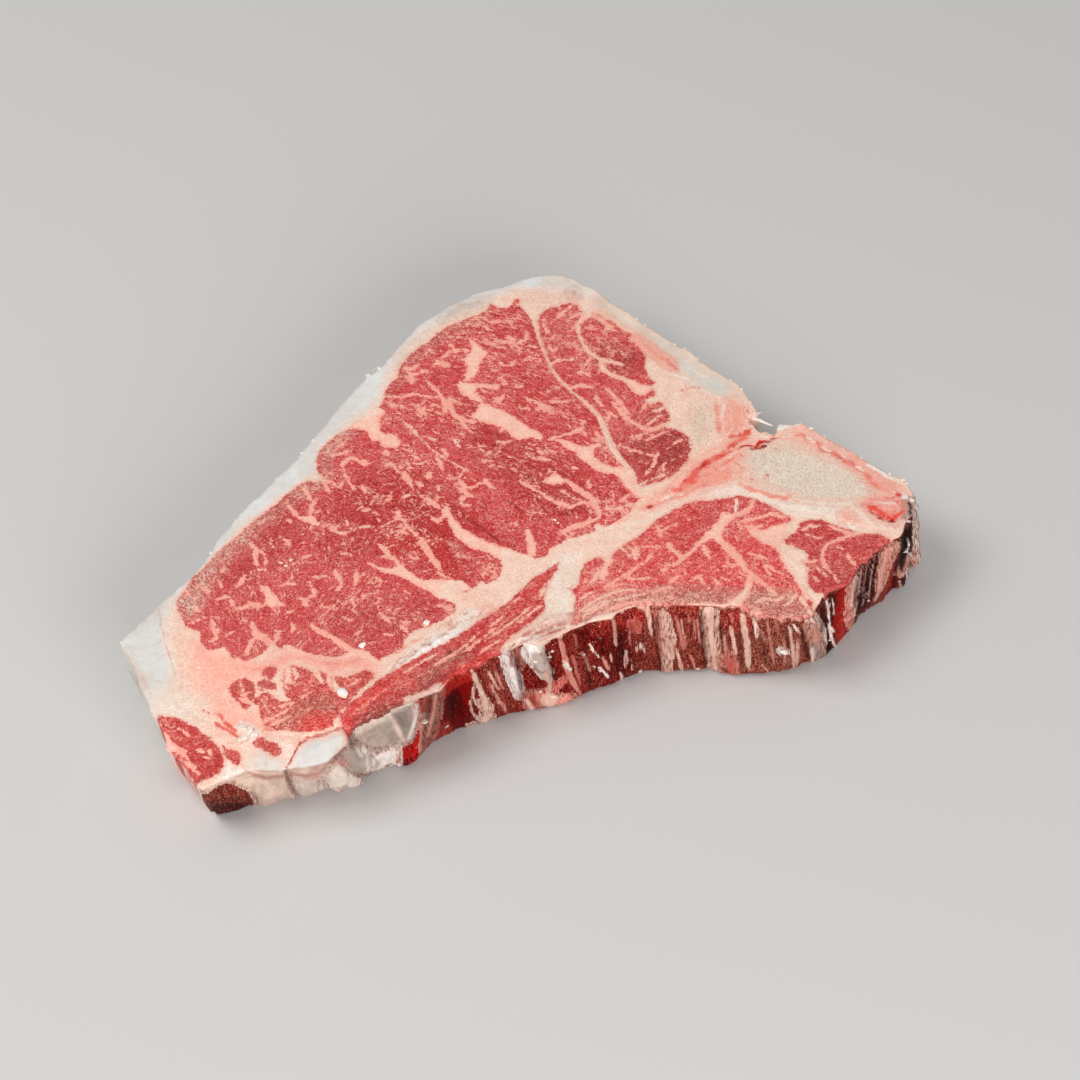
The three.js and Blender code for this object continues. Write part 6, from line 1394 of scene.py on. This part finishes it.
    # the cap's outer skin is smooth and chalky where it doesn't show
    skin = hid & ~col_front[colid] & outer[colid]
    if name == "steak_fat":
        mem = np.where(skin, ramp(z, 0, 3), 0) * (0.55 + 0.35 * noise(x / 9, y / 9, z / 9, seed=95))
        lay(fields["fat"], np.clip(mem, 0, 1), (236, 228, 218))
        plain = skin & (col_xy[colid, 1] > -62)
        fields["m"][plain] = np.minimum(fields["m"][plain], -1.0)
        fields["s"][plain] = np.minimum(fields["s"][plain], -1.0)

    def put(label, data):
        attr = me.attributes.new(label, "FLOAT_VECTOR", "POINT")
        attr.data.foreach_set("vector", np.ascontiguousarray(data, dtype=np.float32).ravel())

    def tint(label, data):
        attr = me.attributes.new(label, "FLOAT_COLOR", "POINT")
        rgba = np.column_stack([data, np.ones(len(data))])
        attr.data.foreach_set("color", np.ascontiguousarray(rgba, dtype=np.float32).ravel())

    put("tissue", np.column_stack([fields["m"], fields["s"], fields["density"]]))
    put("state", np.column_stack([fields["wall"], fields["wet"], fields["dark"]]))
    put("mark", np.column_stack([fields["stain"], fields["pool"], np.zeros(len(verts))]))
    tint("stain_tint", np.clip(fields["stain_tint"], 0, 1))
    put("look", np.column_stack([fields["dry"], fields["porous"], fields["smooth"]]))
    put("flow", fields["flow"])
    tint("fat_tint", np.clip(fields["fat"], 0, 1))
    tint("lean_tint", np.clip(fields["lean"], 0, 1))

    ob = bpy.data.objects.new(name, me)
    bpy.context.scene.collection.objects.link(ob)
    return ob


# ------------------------------------------------------------------ material
class Tree:
    def __init__(self, name):
        self.mat = bpy.data.materials.new(name)
        self.mat.use_nodes = True
        self.t = self.mat.node_tree
        self.t.nodes.clear()

    def node(self, kind, **props):
        n = self.t.nodes.new(kind)
        for k, v in props.items():
            setattr(n, k, v)
        return n

    def plug(self, socket, value):
        if isinstance(value, bpy.types.NodeSocket):
            self.t.links.new(value, socket)
        elif value is not None:
            socket.default_value = value

    def attr(self, name):
        return self.node("ShaderNodeAttribute", attribute_type="GEOMETRY", attribute_name=name)

    def split(self, vector):
        n = self.node("ShaderNodeSeparateXYZ")
        self.plug(n.inputs[0], vector)
        return n.outputs

    def math(self, op, a, b=None, c=None, clamp=False):
        n = self.node("ShaderNodeMath", operation=op, use_clamp=clamp)
        for s, v in zip(n.inputs, (a, b, c)):
            self.plug(s, v)
        return n.outputs[0]

    def step(self, value, lo, hi, to0=0.0, to1=1.0):
        n = self.node("ShaderNodeMapRange", interpolation_type="SMOOTHSTEP")
        for s, v in zip(n.inputs, (value, lo, hi, to0, to1)):
            self.plug(s, v)
        return n.outputs[0]

    def noise(self, vector, scale, detail=2.0, rough=0.5, warp=0.0, lac=2.0):
        n = self.node("ShaderNodeTexNoise")
        self.plug(n.inputs["Vector"], vector)
        n.inputs["Scale"].default_value = scale
        n.inputs["Detail"].default_value = detail
        n.inputs["Roughness"].default_value = rough
        n.inputs["Lacunarity"].default_value = lac
        n.inputs["Distortion"].default_value = warp
        return n.outputs[0]

    def mix(self, fac, a, b, blend="MIX"):
        n = self.node("ShaderNodeMix", data_type="RGBA", blend_type=blend)
        self.plug(n.inputs[0], fac)
        self.plug(n.inputs[6], a)
        self.plug(n.inputs[7], b)
        return n.outputs[2]

    def times(self, colour, factors):
        n = self.node("ShaderNodeVectorMath", operation="MULTIPLY")
        self.plug(n.inputs[0], colour)
        self.plug(n.inputs[1], factors)
        return n.outputs[0]


def tissue_material(name, rough):
    t = Tree(name)
    tissue = t.split(t.attr("tissue").outputs["Vector"])
    state = t.split(t.attr("state").outputs["Vector"])
    lk = t.split(t.attr("look").outputs["Vector"])
    tags = t.split(t.attr("mark").outputs["Vector"])
    flow = t.attr("flow").outputs["Vector"]
    fat = t.attr("fat_tint").outputs["Color"]
    lean = t.attr("lean_tint").outputs["Color"]
    here = t.node("ShaderNodeTexCoord").outputs["Object"]
    m, s, density = tissue[0], tissue[1], tissue[2]
    wall, wet, dark = state[0], state[1], state[2]
    dry, porous, calm = lk[0], lk[1], lk[2]

    n1 = t.noise(here, 1500, 3, 0.65)
    n0 = t.noise(here, 420, 3, 0.62)
    w = t.math("ADD", t.math("MULTIPLY", t.math("SUBTRACT", n1, 0.5), 1.9), t.math("MULTIPLY", t.math("SUBTRACT", n0, 0.5), 1.9))
    w_side = t.math("MULTIPLY", t.math("SUBTRACT", t.noise(flow, 2.3, 3, 0.62), 0.5), 1.3)
    w = t.math("ADD", t.math("MULTIPLY", w, t.step(wall, 0, 1, 1.0, 0.12)), t.math("MULTIPLY", w_side, wall))
    w = t.math("MULTIPLY", w, t.step(calm, 0, 1, 1.0, 0.45))
    muscle = t.step(t.math("ADD", m, w), -0.12, 0.22)
    seam = t.step(t.math("ADD", s, t.math("MULTIPLY", w, 1.1)), -0.26, 0.12)

    # marbling: two nets of broken lines that swell and thin out
    r1 = t.math("ABSOLUTE", t.math("SUBTRACT", t.noise(flow, 0.33, 3, 0.60, 0.8), 0.5))
    r2 = t.math("ABSOLUTE", t.math("SUBTRACT", t.noise(flow, 0.78, 3, 0.60, 0.9), 0.5))
    b1 = t.noise(flow, 0.50, 3, 0.62, 0.5)
    b2 = t.noise(flow, 1.15, 3, 0.62, 0.5)
    c = t.math("MULTIPLY", t.math("SUBTRACT", t.noise(flow, 0.12, 2, 0.5, 0.3), 0.5), 0.22)
    thick1 = t.math("ADD", t.math("MULTIPLY", t.math("SUBTRACT", b1, 0.535), 0.42), c)
    thick2 = t.math("ADD", t.math("MULTIPLY", t.math("SUBTRACT", b2, 0.560), 0.46), c)
    net1 = t.step(t.math("SUBTRACT", r1, thick1), 0.011, -0.009)
    net2 = t.step(t.math("SUBTRACT", r2, thick2), 0.016, -0.012)
    flecks = t.math("MAXIMUM", t.math("MULTIPLY", net1, 0.9), t.math("MULTIPLY", net2, 0.8))
    flecks = t.math("MULTIPLY", flecks, t.math("MULTIPLY", density, t.step(m, 0.0, 0.7)), clamp=True)

    # lean: fibre bundles, seen end on
    g1 = t.noise(flow, 1.25, 4, 0.66, 1.2)
    g2 = t.noise(here, 2500, 3, 0.70)
    g3 = t.math("ABSOLUTE", t.math("SUBTRACT", t.noise(flow, 0.52, 2, 0.55, 1.6), 0.5))
    g4 = t.math("ABSOLUTE", t.math("SUBTRACT", t.noise(flow, 0.44, 2, 0.55, 1.9), 0.5))
    gap = t.noise(flow, 1.05, 2, 0.6, 0.4)
    patch = t.noise(flow, 0.30, 3, 0.55, 0.5)
    red = t.mix(t.step(patch, 0.36, 0.66), t.times(lean, (1.03, 0.71, 0.76)), t.times(lean, (0.97, 0.45, 0.485)))
    lean_c = t.mix(t.step(g1, 0.54, 0.38), t.times(red, (1.05, 1.0, 1.0)), t.times(red, (0.74, 0.40, 0.42)))
    lean_c = t.mix(t.step(g1, 0.55, 0.68), lean_c, t.times(red, (1.26, 2.3, 2.2)))
    lean_c = t.mix(t.math("MULTIPLY", t.math("MULTIPLY", t.step(g4, 0.055, 0.02), t.step(gap, 0.54, 0.42)), 0.8), lean_c, t.times(red, (0.62, 0.22, 0.25)))
    lean_c = t.mix(t.math("MULTIPLY", t.math("MULTIPLY", t.step(g3, 0.060, 0.015), t.step(gap, 0.44, 0.56)), 0.85), lean_c, t.times(red, (1.36, 3.7, 3.5)))
    # some stretches are smooth and wet, others coarse
    coarse = t.step(t.noise(flow, 0.40, 3, 0.6, 0.5), 0.42, 0.58, 0.42, 1.0)
    warm = t.noise(flow, 0.62, 3, 0.6, 0.7)
    lean_c = t.mix(t.math("MULTIPLY", t.step(warm, 0.55, 0.66), 0.55), lean_c, t.times(red, (1.12, 1.16, 0.86)))
    lean_c = t.mix(t.math("MULTIPLY", t.step(warm, 0.44, 0.35), 0.40), lean_c, t.times(red, (0.84, 0.72, 0.80)))
    lean_c = t.mix(t.math("MULTIPLY", t.math("MULTIPLY", t.step(g2, 0.475, 0.38), 0.92), coarse), lean_c, t.times(red, (0.50, 0.17, 0.19)))
    lean_c = t.mix(t.math("MULTIPLY", t.math("MULTIPLY", t.step(g2, 0.545, 0.64), 0.92), coarse), lean_c, t.times(red, (1.56, 4.2, 4.0)))
    glint = t.noise(here, 2300, 2, 0.6)
    lean_c = t.mix(t.math("MULTIPLY", t.step(glint, 0.68, 0.75), t.step(gap, 0.40, 0.56)), lean_c, (0.92, 0.66, 0.58, 1))
    # it is paler right beside fat
    edge = t.math("MAXIMUM", t.step(t.math("ADD", m, w), 0.55, 0.0), t.step(t.math("ADD", s, w), -0.55, -0.1))
    lean_c = t.mix(t.math("MULTIPLY", edge, 0.34), lean_c, t.times(lean, (1.30, 2.0, 1.85)))
    # dried stretches are speckled with dark and pale
    d1 = t.noise(here, 1800, 3, 0.68)
    lean_c = t.mix(t.math("MULTIPLY", dry, t.step(d1, 0.53, 0.66, 0.0, 0.8)), lean_c, (0.33, 0.18, 0.13, 1))
    lean_c = t.mix(t.math("MULTIPLY", dry, t.step(d1, 0.47, 0.34, 0.0, 0.8)), lean_c, (0.78, 0.56, 0.45, 1))
    # the sides are dark, streaky and speckled, with painted glints among the specks
    streak = t.noise(flow, 0.85, 5, 0.66, 0.8)
    speck_glint = t.noise(here, 2100, 3, 0.74)
    lean_w = t.mix(t.step(streak, 0.34, 0.60), t.times(lean, (0.46, 0.18, 0.18)), t.times(lean, (1.22, 1.0, 0.96)))
    fine_w = t.noise(flow, 1.9, 4, 0.72, 0.8)
    lean_w = t.mix(t.step(fine_w, 0.54, 0.70), lean_w, t.times(lean, (2.0, 3.0, 2.7)))
    lean_w = t.mix(t.step(fine_w, 0.46, 0.34), lean_w, t.times(lean, (0.42, 0.18, 0.18)))
    lean_w = t.mix(t.step(speck_glint, 0.48, 0.39), lean_w, t.times(lean, (0.20, 0.05, 0.05)))
    lean_w = t.mix(t.math("MULTIPLY", t.step(speck_glint, 0.58, 0.65), 0.95), lean_w, t.times(lean, (2.7, 5.0, 4.7)))
    lean_w = t.mix(t.math("MULTIPLY", t.step(glint, 0.64, 0.69), t.step(fine_w, 0.42, 0.54)), lean_w, (0.92, 0.72, 0.64, 1))
    fil = t.noise(flow, 2.9, 2, 0.6, 0.3)
    lean_w = t.mix(t.math("MULTIPLY", t.step(fil, 0.56, 0.62), 0.75), lean_w, t.times(lean, (2.0, 3.4, 3.1)))
    lean_w = t.mix(t.math("MULTIPLY", t.step(fil, 0.43, 0.38), 0.85), lean_w, t.times(lean, (0.30, 0.10, 0.10)))
    lean_w = t.mix(t.math("MULTIPLY", t.step(g2, 0.47, 0.39), 0.7), lean_w, t.times(lean, (0.34, 0.12, 0.12)))
    lean_w = t.mix(t.math("MULTIPLY", t.step(g2, 0.56, 0.63), 0.65), lean_w, t.times(lean, (2.3, 3.9, 3.6)))
    lean_w = t.mix(t.math("MULTIPLY", tags[1], 0.8), lean_w, t.times(lean, (0.92, 0.72, 0.70)))
    lean_c = t.mix(wall, lean_c, lean_w)

    # fat: pinker at its edges, with marks and veins in places
    f1 = t.noise(here, 420, 3, 0.6)
    f2 = t.noise(here, 1700, 3, 0.65)
    marked = t.math("ADD", tags[0], t.math("ADD", t.math("MULTIPLY", t.math("SUBTRACT", n0, 0.5), 1.1), t.math("MULTIPLY", t.math("SUBTRACT", n1, 0.5), 1.0)))
    marked = t.math("MULTIPLY", t.step(marked, 0.24, 0.84), t.step(tags[0], 0.02, 0.40))
    fat = t.mix(marked, fat, t.attr("stain_tint").outputs["Color"])
    inner = t.step(t.math("ADD", t.math("MAXIMUM", t.math("SUBTRACT", 0.0, m), s), t.math("MULTIPLY", w, 0.5)), 0.0, 0.9)
    # and pink wherever it lies inside a muscle
    inner = t.math("MULTIPLY", inner, t.step(m, 0.0, 0.8, 1.0, 0.08))
    fat = t.mix(t.math("MULTIPLY", inner, t.math("SUBTRACT", 1.0, wall)), t.times(fat, (1.0, 0.83, 0.81)), fat)
    fat = t.mix(wall, fat, t.attr("fat_tint").outputs["Color"])
    fat_c = t.mix(t.step(f1, 0.35, 0.68), t.times(fat, (1.04, 1.05, 1.05)), t.times(fat, (0.97, 0.86, 0.84)))
    fat_c = t.mix(t.step(f2, 0.50, 0.70), fat_c, t.times(fat, (0.91, 0.78, 0.75)))
    fat_c = t.mix(t.step(f2, 0.50, 0.34), fat_c, t.times(fat, (1.07, 1.16, 1.18)))
    fat_even = t.mix(t.step(f1, 0.35, 0.68), t.times(fat, (1.03, 1.03, 1.03)), t.times(fat, (0.97, 0.95, 0.94)))
    fat_even = t.mix(t.step(f2, 0.52, 0.68), fat_even, t.times(fat, (0.94, 0.91, 0.89)))
    drift_c = t.noise(here, 75, 3, 0.6, 0.8)
    fat_even = t.mix(t.step(drift_c, 0.40, 0.60), t.times(fat_even, (0.96, 0.925, 0.89)), t.times(fat_even, (1.02, 1.025, 1.03)))
    # painted light and shade: slow mottling of the smooth side fat, lighter and darker, for the bulge of its lobes
    shade_mottle = t.noise(here, 210, 3, 0.6, 0.6)
    fat_side = t.mix(t.step(shade_mottle, 0.40, 0.62), t.times(fat_even, (0.87, 0.84, 0.83)), t.times(fat_even, (1.07, 1.08, 1.09)))
    fat_even = t.mix(wall, fat_even, fat_side)
    fat_c = t.mix(calm, fat_c, fat_even)
    fat_w = t.mix(t.step(streak, 0.38, 0.64), t.times(fat, (1.05, 1.06, 1.06)), t.times(fat, (0.80, 0.64, 0.60)))
    # dark specks and pale painted glints on the streaky side fat
    fat_w = t.mix(t.step(speck_glint, 0.58, 0.72), fat_w, t.times(fat, (0.72, 0.48, 0.44)))
    fat_w = t.mix(t.step(speck_glint, 0.44, 0.34), fat_w, t.times(fat, (1.18, 1.30, 1.32)))
    fat_w = t.mix(t.math("MULTIPLY", t.step(fil, 0.55, 0.62), 0.45), fat_w, t.times(fat, (0.68, 0.42, 0.38)))
    fat_c = t.mix(t.math("MULTIPLY", wall, t.math("SUBTRACT", 1.0, calm)), fat_c, fat_w)
    pores = t.noise(here, 2000, 2, 0.7)
    fat_c = t.mix(t.math("MULTIPLY", porous, t.step(pores, 0.53, 0.64)), fat_c, t.times(fat, (0.85, 0.70, 0.63)))
    fat_c = t.mix(t.math("MULTIPLY", porous, t.step(pores, 0.46, 0.36)), fat_c, t.times(fat, (1.08, 1.12, 1.13)))

    fatness = t.math("MAXIMUM", t.math("SUBTRACT", 1.0, muscle), t.math("MAXIMUM", seam, flecks))
    colour = t.mix(fatness, lean_c, fat_c)
    # painted shade: the cracks and hollows of the side go nearly black
    colour = t.mix(dark, colour, (0.014, 0.003, 0.003, 1))

    shader = t.node("ShaderNodeBsdfPrincipled")
    t.plug(shader.inputs["Base Color"], colour)
    r = t.math("SUBTRACT", t.step(g2, 0.3, 0.7, rough + 0.04, rough - 0.08), t.math("MULTIPLY", wet, 0.12))
    t.plug(shader.inputs["Roughness"], r)
    shader.inputs["IOR"].default_value = 1.4
    t.plug(shader.inputs["Specular IOR Level"], t.math("SUBTRACT", 0.4, t.math("MULTIPLY", t.math("MULTIPLY", wall, 0.36), t.math("SUBTRACT", 1.0, calm))))
    height = t.math("ADD", t.math("MULTIPLY", g1, 0.35), t.math("MULTIPLY", g2, 0.25))
    height = t.math("ADD", height, t.math("MULTIPLY", fatness, 0.16))
    rough_w = t.math("MULTIPLY", wall, t.step(calm, 0, 1, 1.0, 0.15))
    height = t.math("ADD", height, t.math("MULTIPLY", rough_w, t.math("ADD", t.math("MULTIPLY", streak, 1.7), t.math("MULTIPLY", fine_w, 0.6))))
    height = t.math("ADD", height, t.math("MULTIPLY", f2, 0.2))
    bump = t.node("ShaderNodeBump")
    bump.inputs["Strength"].default_value = 0.55
    bump.inputs["Distance"].default_value = 0.0007
    t.plug(bump.inputs["Height"], height)
    t.plug(shader.inputs["Normal"], bump.outputs[0])
    out = t.node("ShaderNodeOutputMaterial")
    t.plug(out.inputs[0], shader.outputs[0])
    return t.mat


# ------------------------------------------------------------------ pieces
lean_ob = build("steak_lean", LOOPS["lean"], 0.56, 1.25)
fat_ob = build("steak_fat", LOOPS["fat"], 0.56, 1.3)
bone_ob = build("steak_bone", LOOPS["bone"], 0.45, 1.3)
for ob, node, slot, rough in ((lean_ob, "lean", "lean", 0.44), (fat_ob, "fat_cover", "fat", 0.50), (bone_ob, "bone", "bone", 0.52)):
    ob.data.materials.append(tissue_material(ob.name + "_tissue", rough))
    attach(ob, "root")
    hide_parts(node)


# ------------------------------------------------------------------ crumbs
def lump(centre, size, seed):
    """A small closed, uneven lump."""
    t = (1 + math.sqrt(5)) / 2
    v = np.array([(-1, t, 0), (1, t, 0), (-1, -t, 0), (1, -t, 0), (0, -1, t), (0, 1, t), (0, -1, -t), (0, 1, -t), (t, 0, -1), (t, 0, 1), (-t, 0, -1), (-t, 0, 1)], float)
    f = [(0, 11, 5), (0, 5, 1), (0, 1, 7), (0, 7, 10), (0, 10, 11), (1, 5, 9), (5, 11, 4), (11, 10, 2), (10, 7, 6), (7, 1, 8), (3, 9, 4), (3, 4, 2), (3, 2, 6),
         (3, 6, 8), (3, 8, 9), (4, 9, 5), (2, 4, 11), (6, 2, 10), (8, 6, 7), (9, 8, 1)]
    v = [tuple(p / np.linalg.norm(p)) for p in v]
    cache = {}
    for _ in range(2):
        g = []
        for a, b, c in f:
            mids = []
            for i, j in ((a, b), (b, c), (c, a)):
                key = (min(i, j), max(i, j))
                if key not in cache:
                    mid = (np.array(v[i]) + np.array(v[j])) / 2
                    v.append(tuple(mid / np.linalg.norm(mid)))
                    cache[key] = len(v) - 1
                mids.append(cache[key])
            ab, bc, ca = mids
            g += [(a, ab, ca), (b, bc, ab), (c, ca, bc), (ab, bc, ca)]
        f = g
    p = np.array(v)
    bulge = 1 + 0.45 * noise(p[:, 0] * 1.3 + seed * 7.1, p[:, 1] * 1.3, p[:, 2] * 1.3, seed=seed) + 0.2 * noise(p[:, 0] * 3 + seed, p[:, 1] * 3, p[:, 2] * 3, seed=seed + 1)
    turn = seed * 1.7
    c, s = math.cos(turn), math.sin(turn)
    p = p * bulge[:, None] * np.array([1.25, 0.85, 0.36]) * size
    p = np.column_stack([p[:, 0] * c - p[:, 1] * s, p[:, 0] * s + p[:, 1] * c, p[:, 2]])
    return p + centre, np.array(f)


def surface_at(u, v):
    """The visible surface point at a place in the view: the cut face, or else the side wall."""
    x, y = face_point(np.array([u], float), np.array([v], float))
    if inside(np.array([[x[0], y[0]]]), rim)[0]:
        return np.array([x[0], y[0], float(skin_height(x, y)[0])])
    us, vs = BASE_UV
    d = np.hypot(us - u, vs - v)
    flags = np.tile(col_front, len(LEVELS))
    flags[:NR] = True
    d = np.where(flags, d, 1e9)
    return RINGS.reshape(-1, 3)[int(np.argmin(d))]


points, faces = [], []
count = 0
for i, (u, v, size) in enumerate(CRUMBS):
    c = surface_at(u, v) + np.array([0, 0, size * 0.12])
    p, f = lump(c, size, 11 + i)
    p[:, 2] = np.maximum(p[:, 2], 0.02)
    points.append(p)
    faces.append(f + count)
    count += len(p)


def sliver(line, width, thick, lift):
    """A pointed splinter along points of the view, its ends tapering away."""
    uv = smooth_line(line, False, 5)
    sx, sy = face_point(uv[:, 0], uv[:, 1])
    n = len(sx)
    t = np.linspace(0, 1, n)
    w = width * np.clip(np.sin(np.pi * (0.12 + 0.88 * t)) ** 0.7, 0.04, 1) * (1 + 0.25 * noise(t * 9, 0.5, seed=120))
    rings = []
    for k in range(8):
        a = 2 * math.pi * k / 8
        rings.append(np.column_stack([sx + 0.3 * w * math.cos(a), sy + w * math.cos(a), lift(t) + thick * w * math.sin(a)]))
    p = np.stack(rings, 1).reshape(-1, 3)
    f = []
    for i in range(n - 1):
        for k in range(8):
            a, b, c, d = i * 8 + k, i * 8 + (k + 1) % 8, (i + 1) * 8 + (k + 1) % 8, (i + 1) * 8 + k
            f += [(a, b, c), (a, c, d)]
    for start, flip in ((0, True), ((n - 1) * 8, False)):
        for k in range(1, 7):
            tri = (start, start + k, start + k + 1)
            f.append(tri[::-1] if flip else tri)
    return p, np.array(f)


for line, width, thick, lift in (([(746, 412), (753, 416), (760, 418), (767, 421), (774, 423.5)], 0.50, 0.7, lambda t: 24.1 - 0.3 * t),
                                 ([(752, 417), (757, 413), (762, 411.5)], 0.28, 0.7, lambda t: 24.2 + 0.4 * t),
                                 ([(372, 371), (375, 368), (378, 365)], 0.22, 0.7, lambda t: 24.5 + 0.2 * t)):
    p, f = sliver(line, width, thick, lift)
    points.append(p)
    faces.append(f + count)
    count += len(p)
points, faces = np.vstack(points), np.vstack(faces)
me = bpy.data.meshes.new("steak_crumbs")
me.from_pydata([tuple(p * MM) for p in points], [], [tuple(int(i) for i in f) for f in faces])
me.update()
crumbs = bpy.data.objects.new("steak_crumbs", me)
bpy.context.scene.collection.objects.link(crumbs)


def plain_material(name, colour, speck, rough):
    t = Tree(name)
    here = t.node("ShaderNodeTexCoord").outputs["Object"]
    n = t.noise(here, 900, 3, 0.6)
    shader = t.node("ShaderNodeBsdfPrincipled")
    t.plug(shader.inputs["Base Color"], t.mix(t.step(n, 0.35, 0.65), colour, speck))
    shader.inputs["Roughness"].default_value = rough
    out = t.node("ShaderNodeOutputMaterial")
    t.plug(out.inputs[0], shader.outputs[0])
    return t.mat


me.materials.append(plain_material("crumb_fat", (0.90, 0.86, 0.80, 1), (0.84, 0.70, 0.60, 1), 0.55))
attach(crumbs, "root")

# ------------------------------------------------------------------ floor, light and camera
bpy.ops.mesh.primitive_plane_add(size=6, location=(0, 0, 0))
floor = bpy.context.object
floor.name = "floor"
tf = Tree("floor_paint")
sh = tf.node("ShaderNodeBsdfPrincipled")
sh.inputs["Base Color"].default_value = (0.62, 0.61, 0.60, 1)
sh.inputs["Roughness"].default_value = 0.75
o = tf.node("ShaderNodeOutputMaterial")
tf.plug(o.inputs[0], sh.outputs[0])
floor.data.materials.append(tf.mat)


def softbox(name, place, aim, size, power, colour=(1, 1, 1)):
    light = bpy.data.lights.new(name, "AREA")
    light.shape = "RECTANGLE"
    light.size, light.size_y = size
    light.energy = power
    light.color = colour
    ob = bpy.data.objects.new(name, light)
    bpy.context.scene.collection.objects.link(ob)
    ob.location = place
    from mathutils import Vector
    ob.rotation_euler = (Vector(aim) - Vector(place)).to_track_quat("-Z", "Y").to_euler()
    return ob


softbox("key", (-0.85, -0.20, 1.25), (0, 0, 0.02), (0.8, 0.8), 12.0, (1, 0.995, 0.985))
softbox("fill", (0.45, -1.20, 0.55), (0, 0, 0.01), (0.9, 0.6), 12.0, (1, 1, 1))
world = bpy.context.scene.world or bpy.data.worlds.new("studio")
bpy.context.scene.world = world
world.use_nodes = True
bg = world.node_tree.nodes.get("Background")
bg.inputs[0].default_value = (1, 1, 1, 1)
bg.inputs[1].default_value = 0.38
bpy.context.scene.view_settings.view_transform = "Standard"
bpy.context.scene.view_settings.look = "None"

cam = bpy.data.cameras.new("camera")
cam.sensor_fit = "HORIZONTAL"
cam.sensor_width = 36
cam.lens = FOCAL / 1080 * 36
cam.clip_start = 0.01
cam.clip_end = 20
camera = bpy.data.objects.new("camera", cam)
bpy.context.scene.collection.objects.link(camera)
camera.location = tuple(EYE * MM)
camera.rotation_euler = (math.radians(90) - TILT, 0, 0)
bpy.context.scene.camera = camera
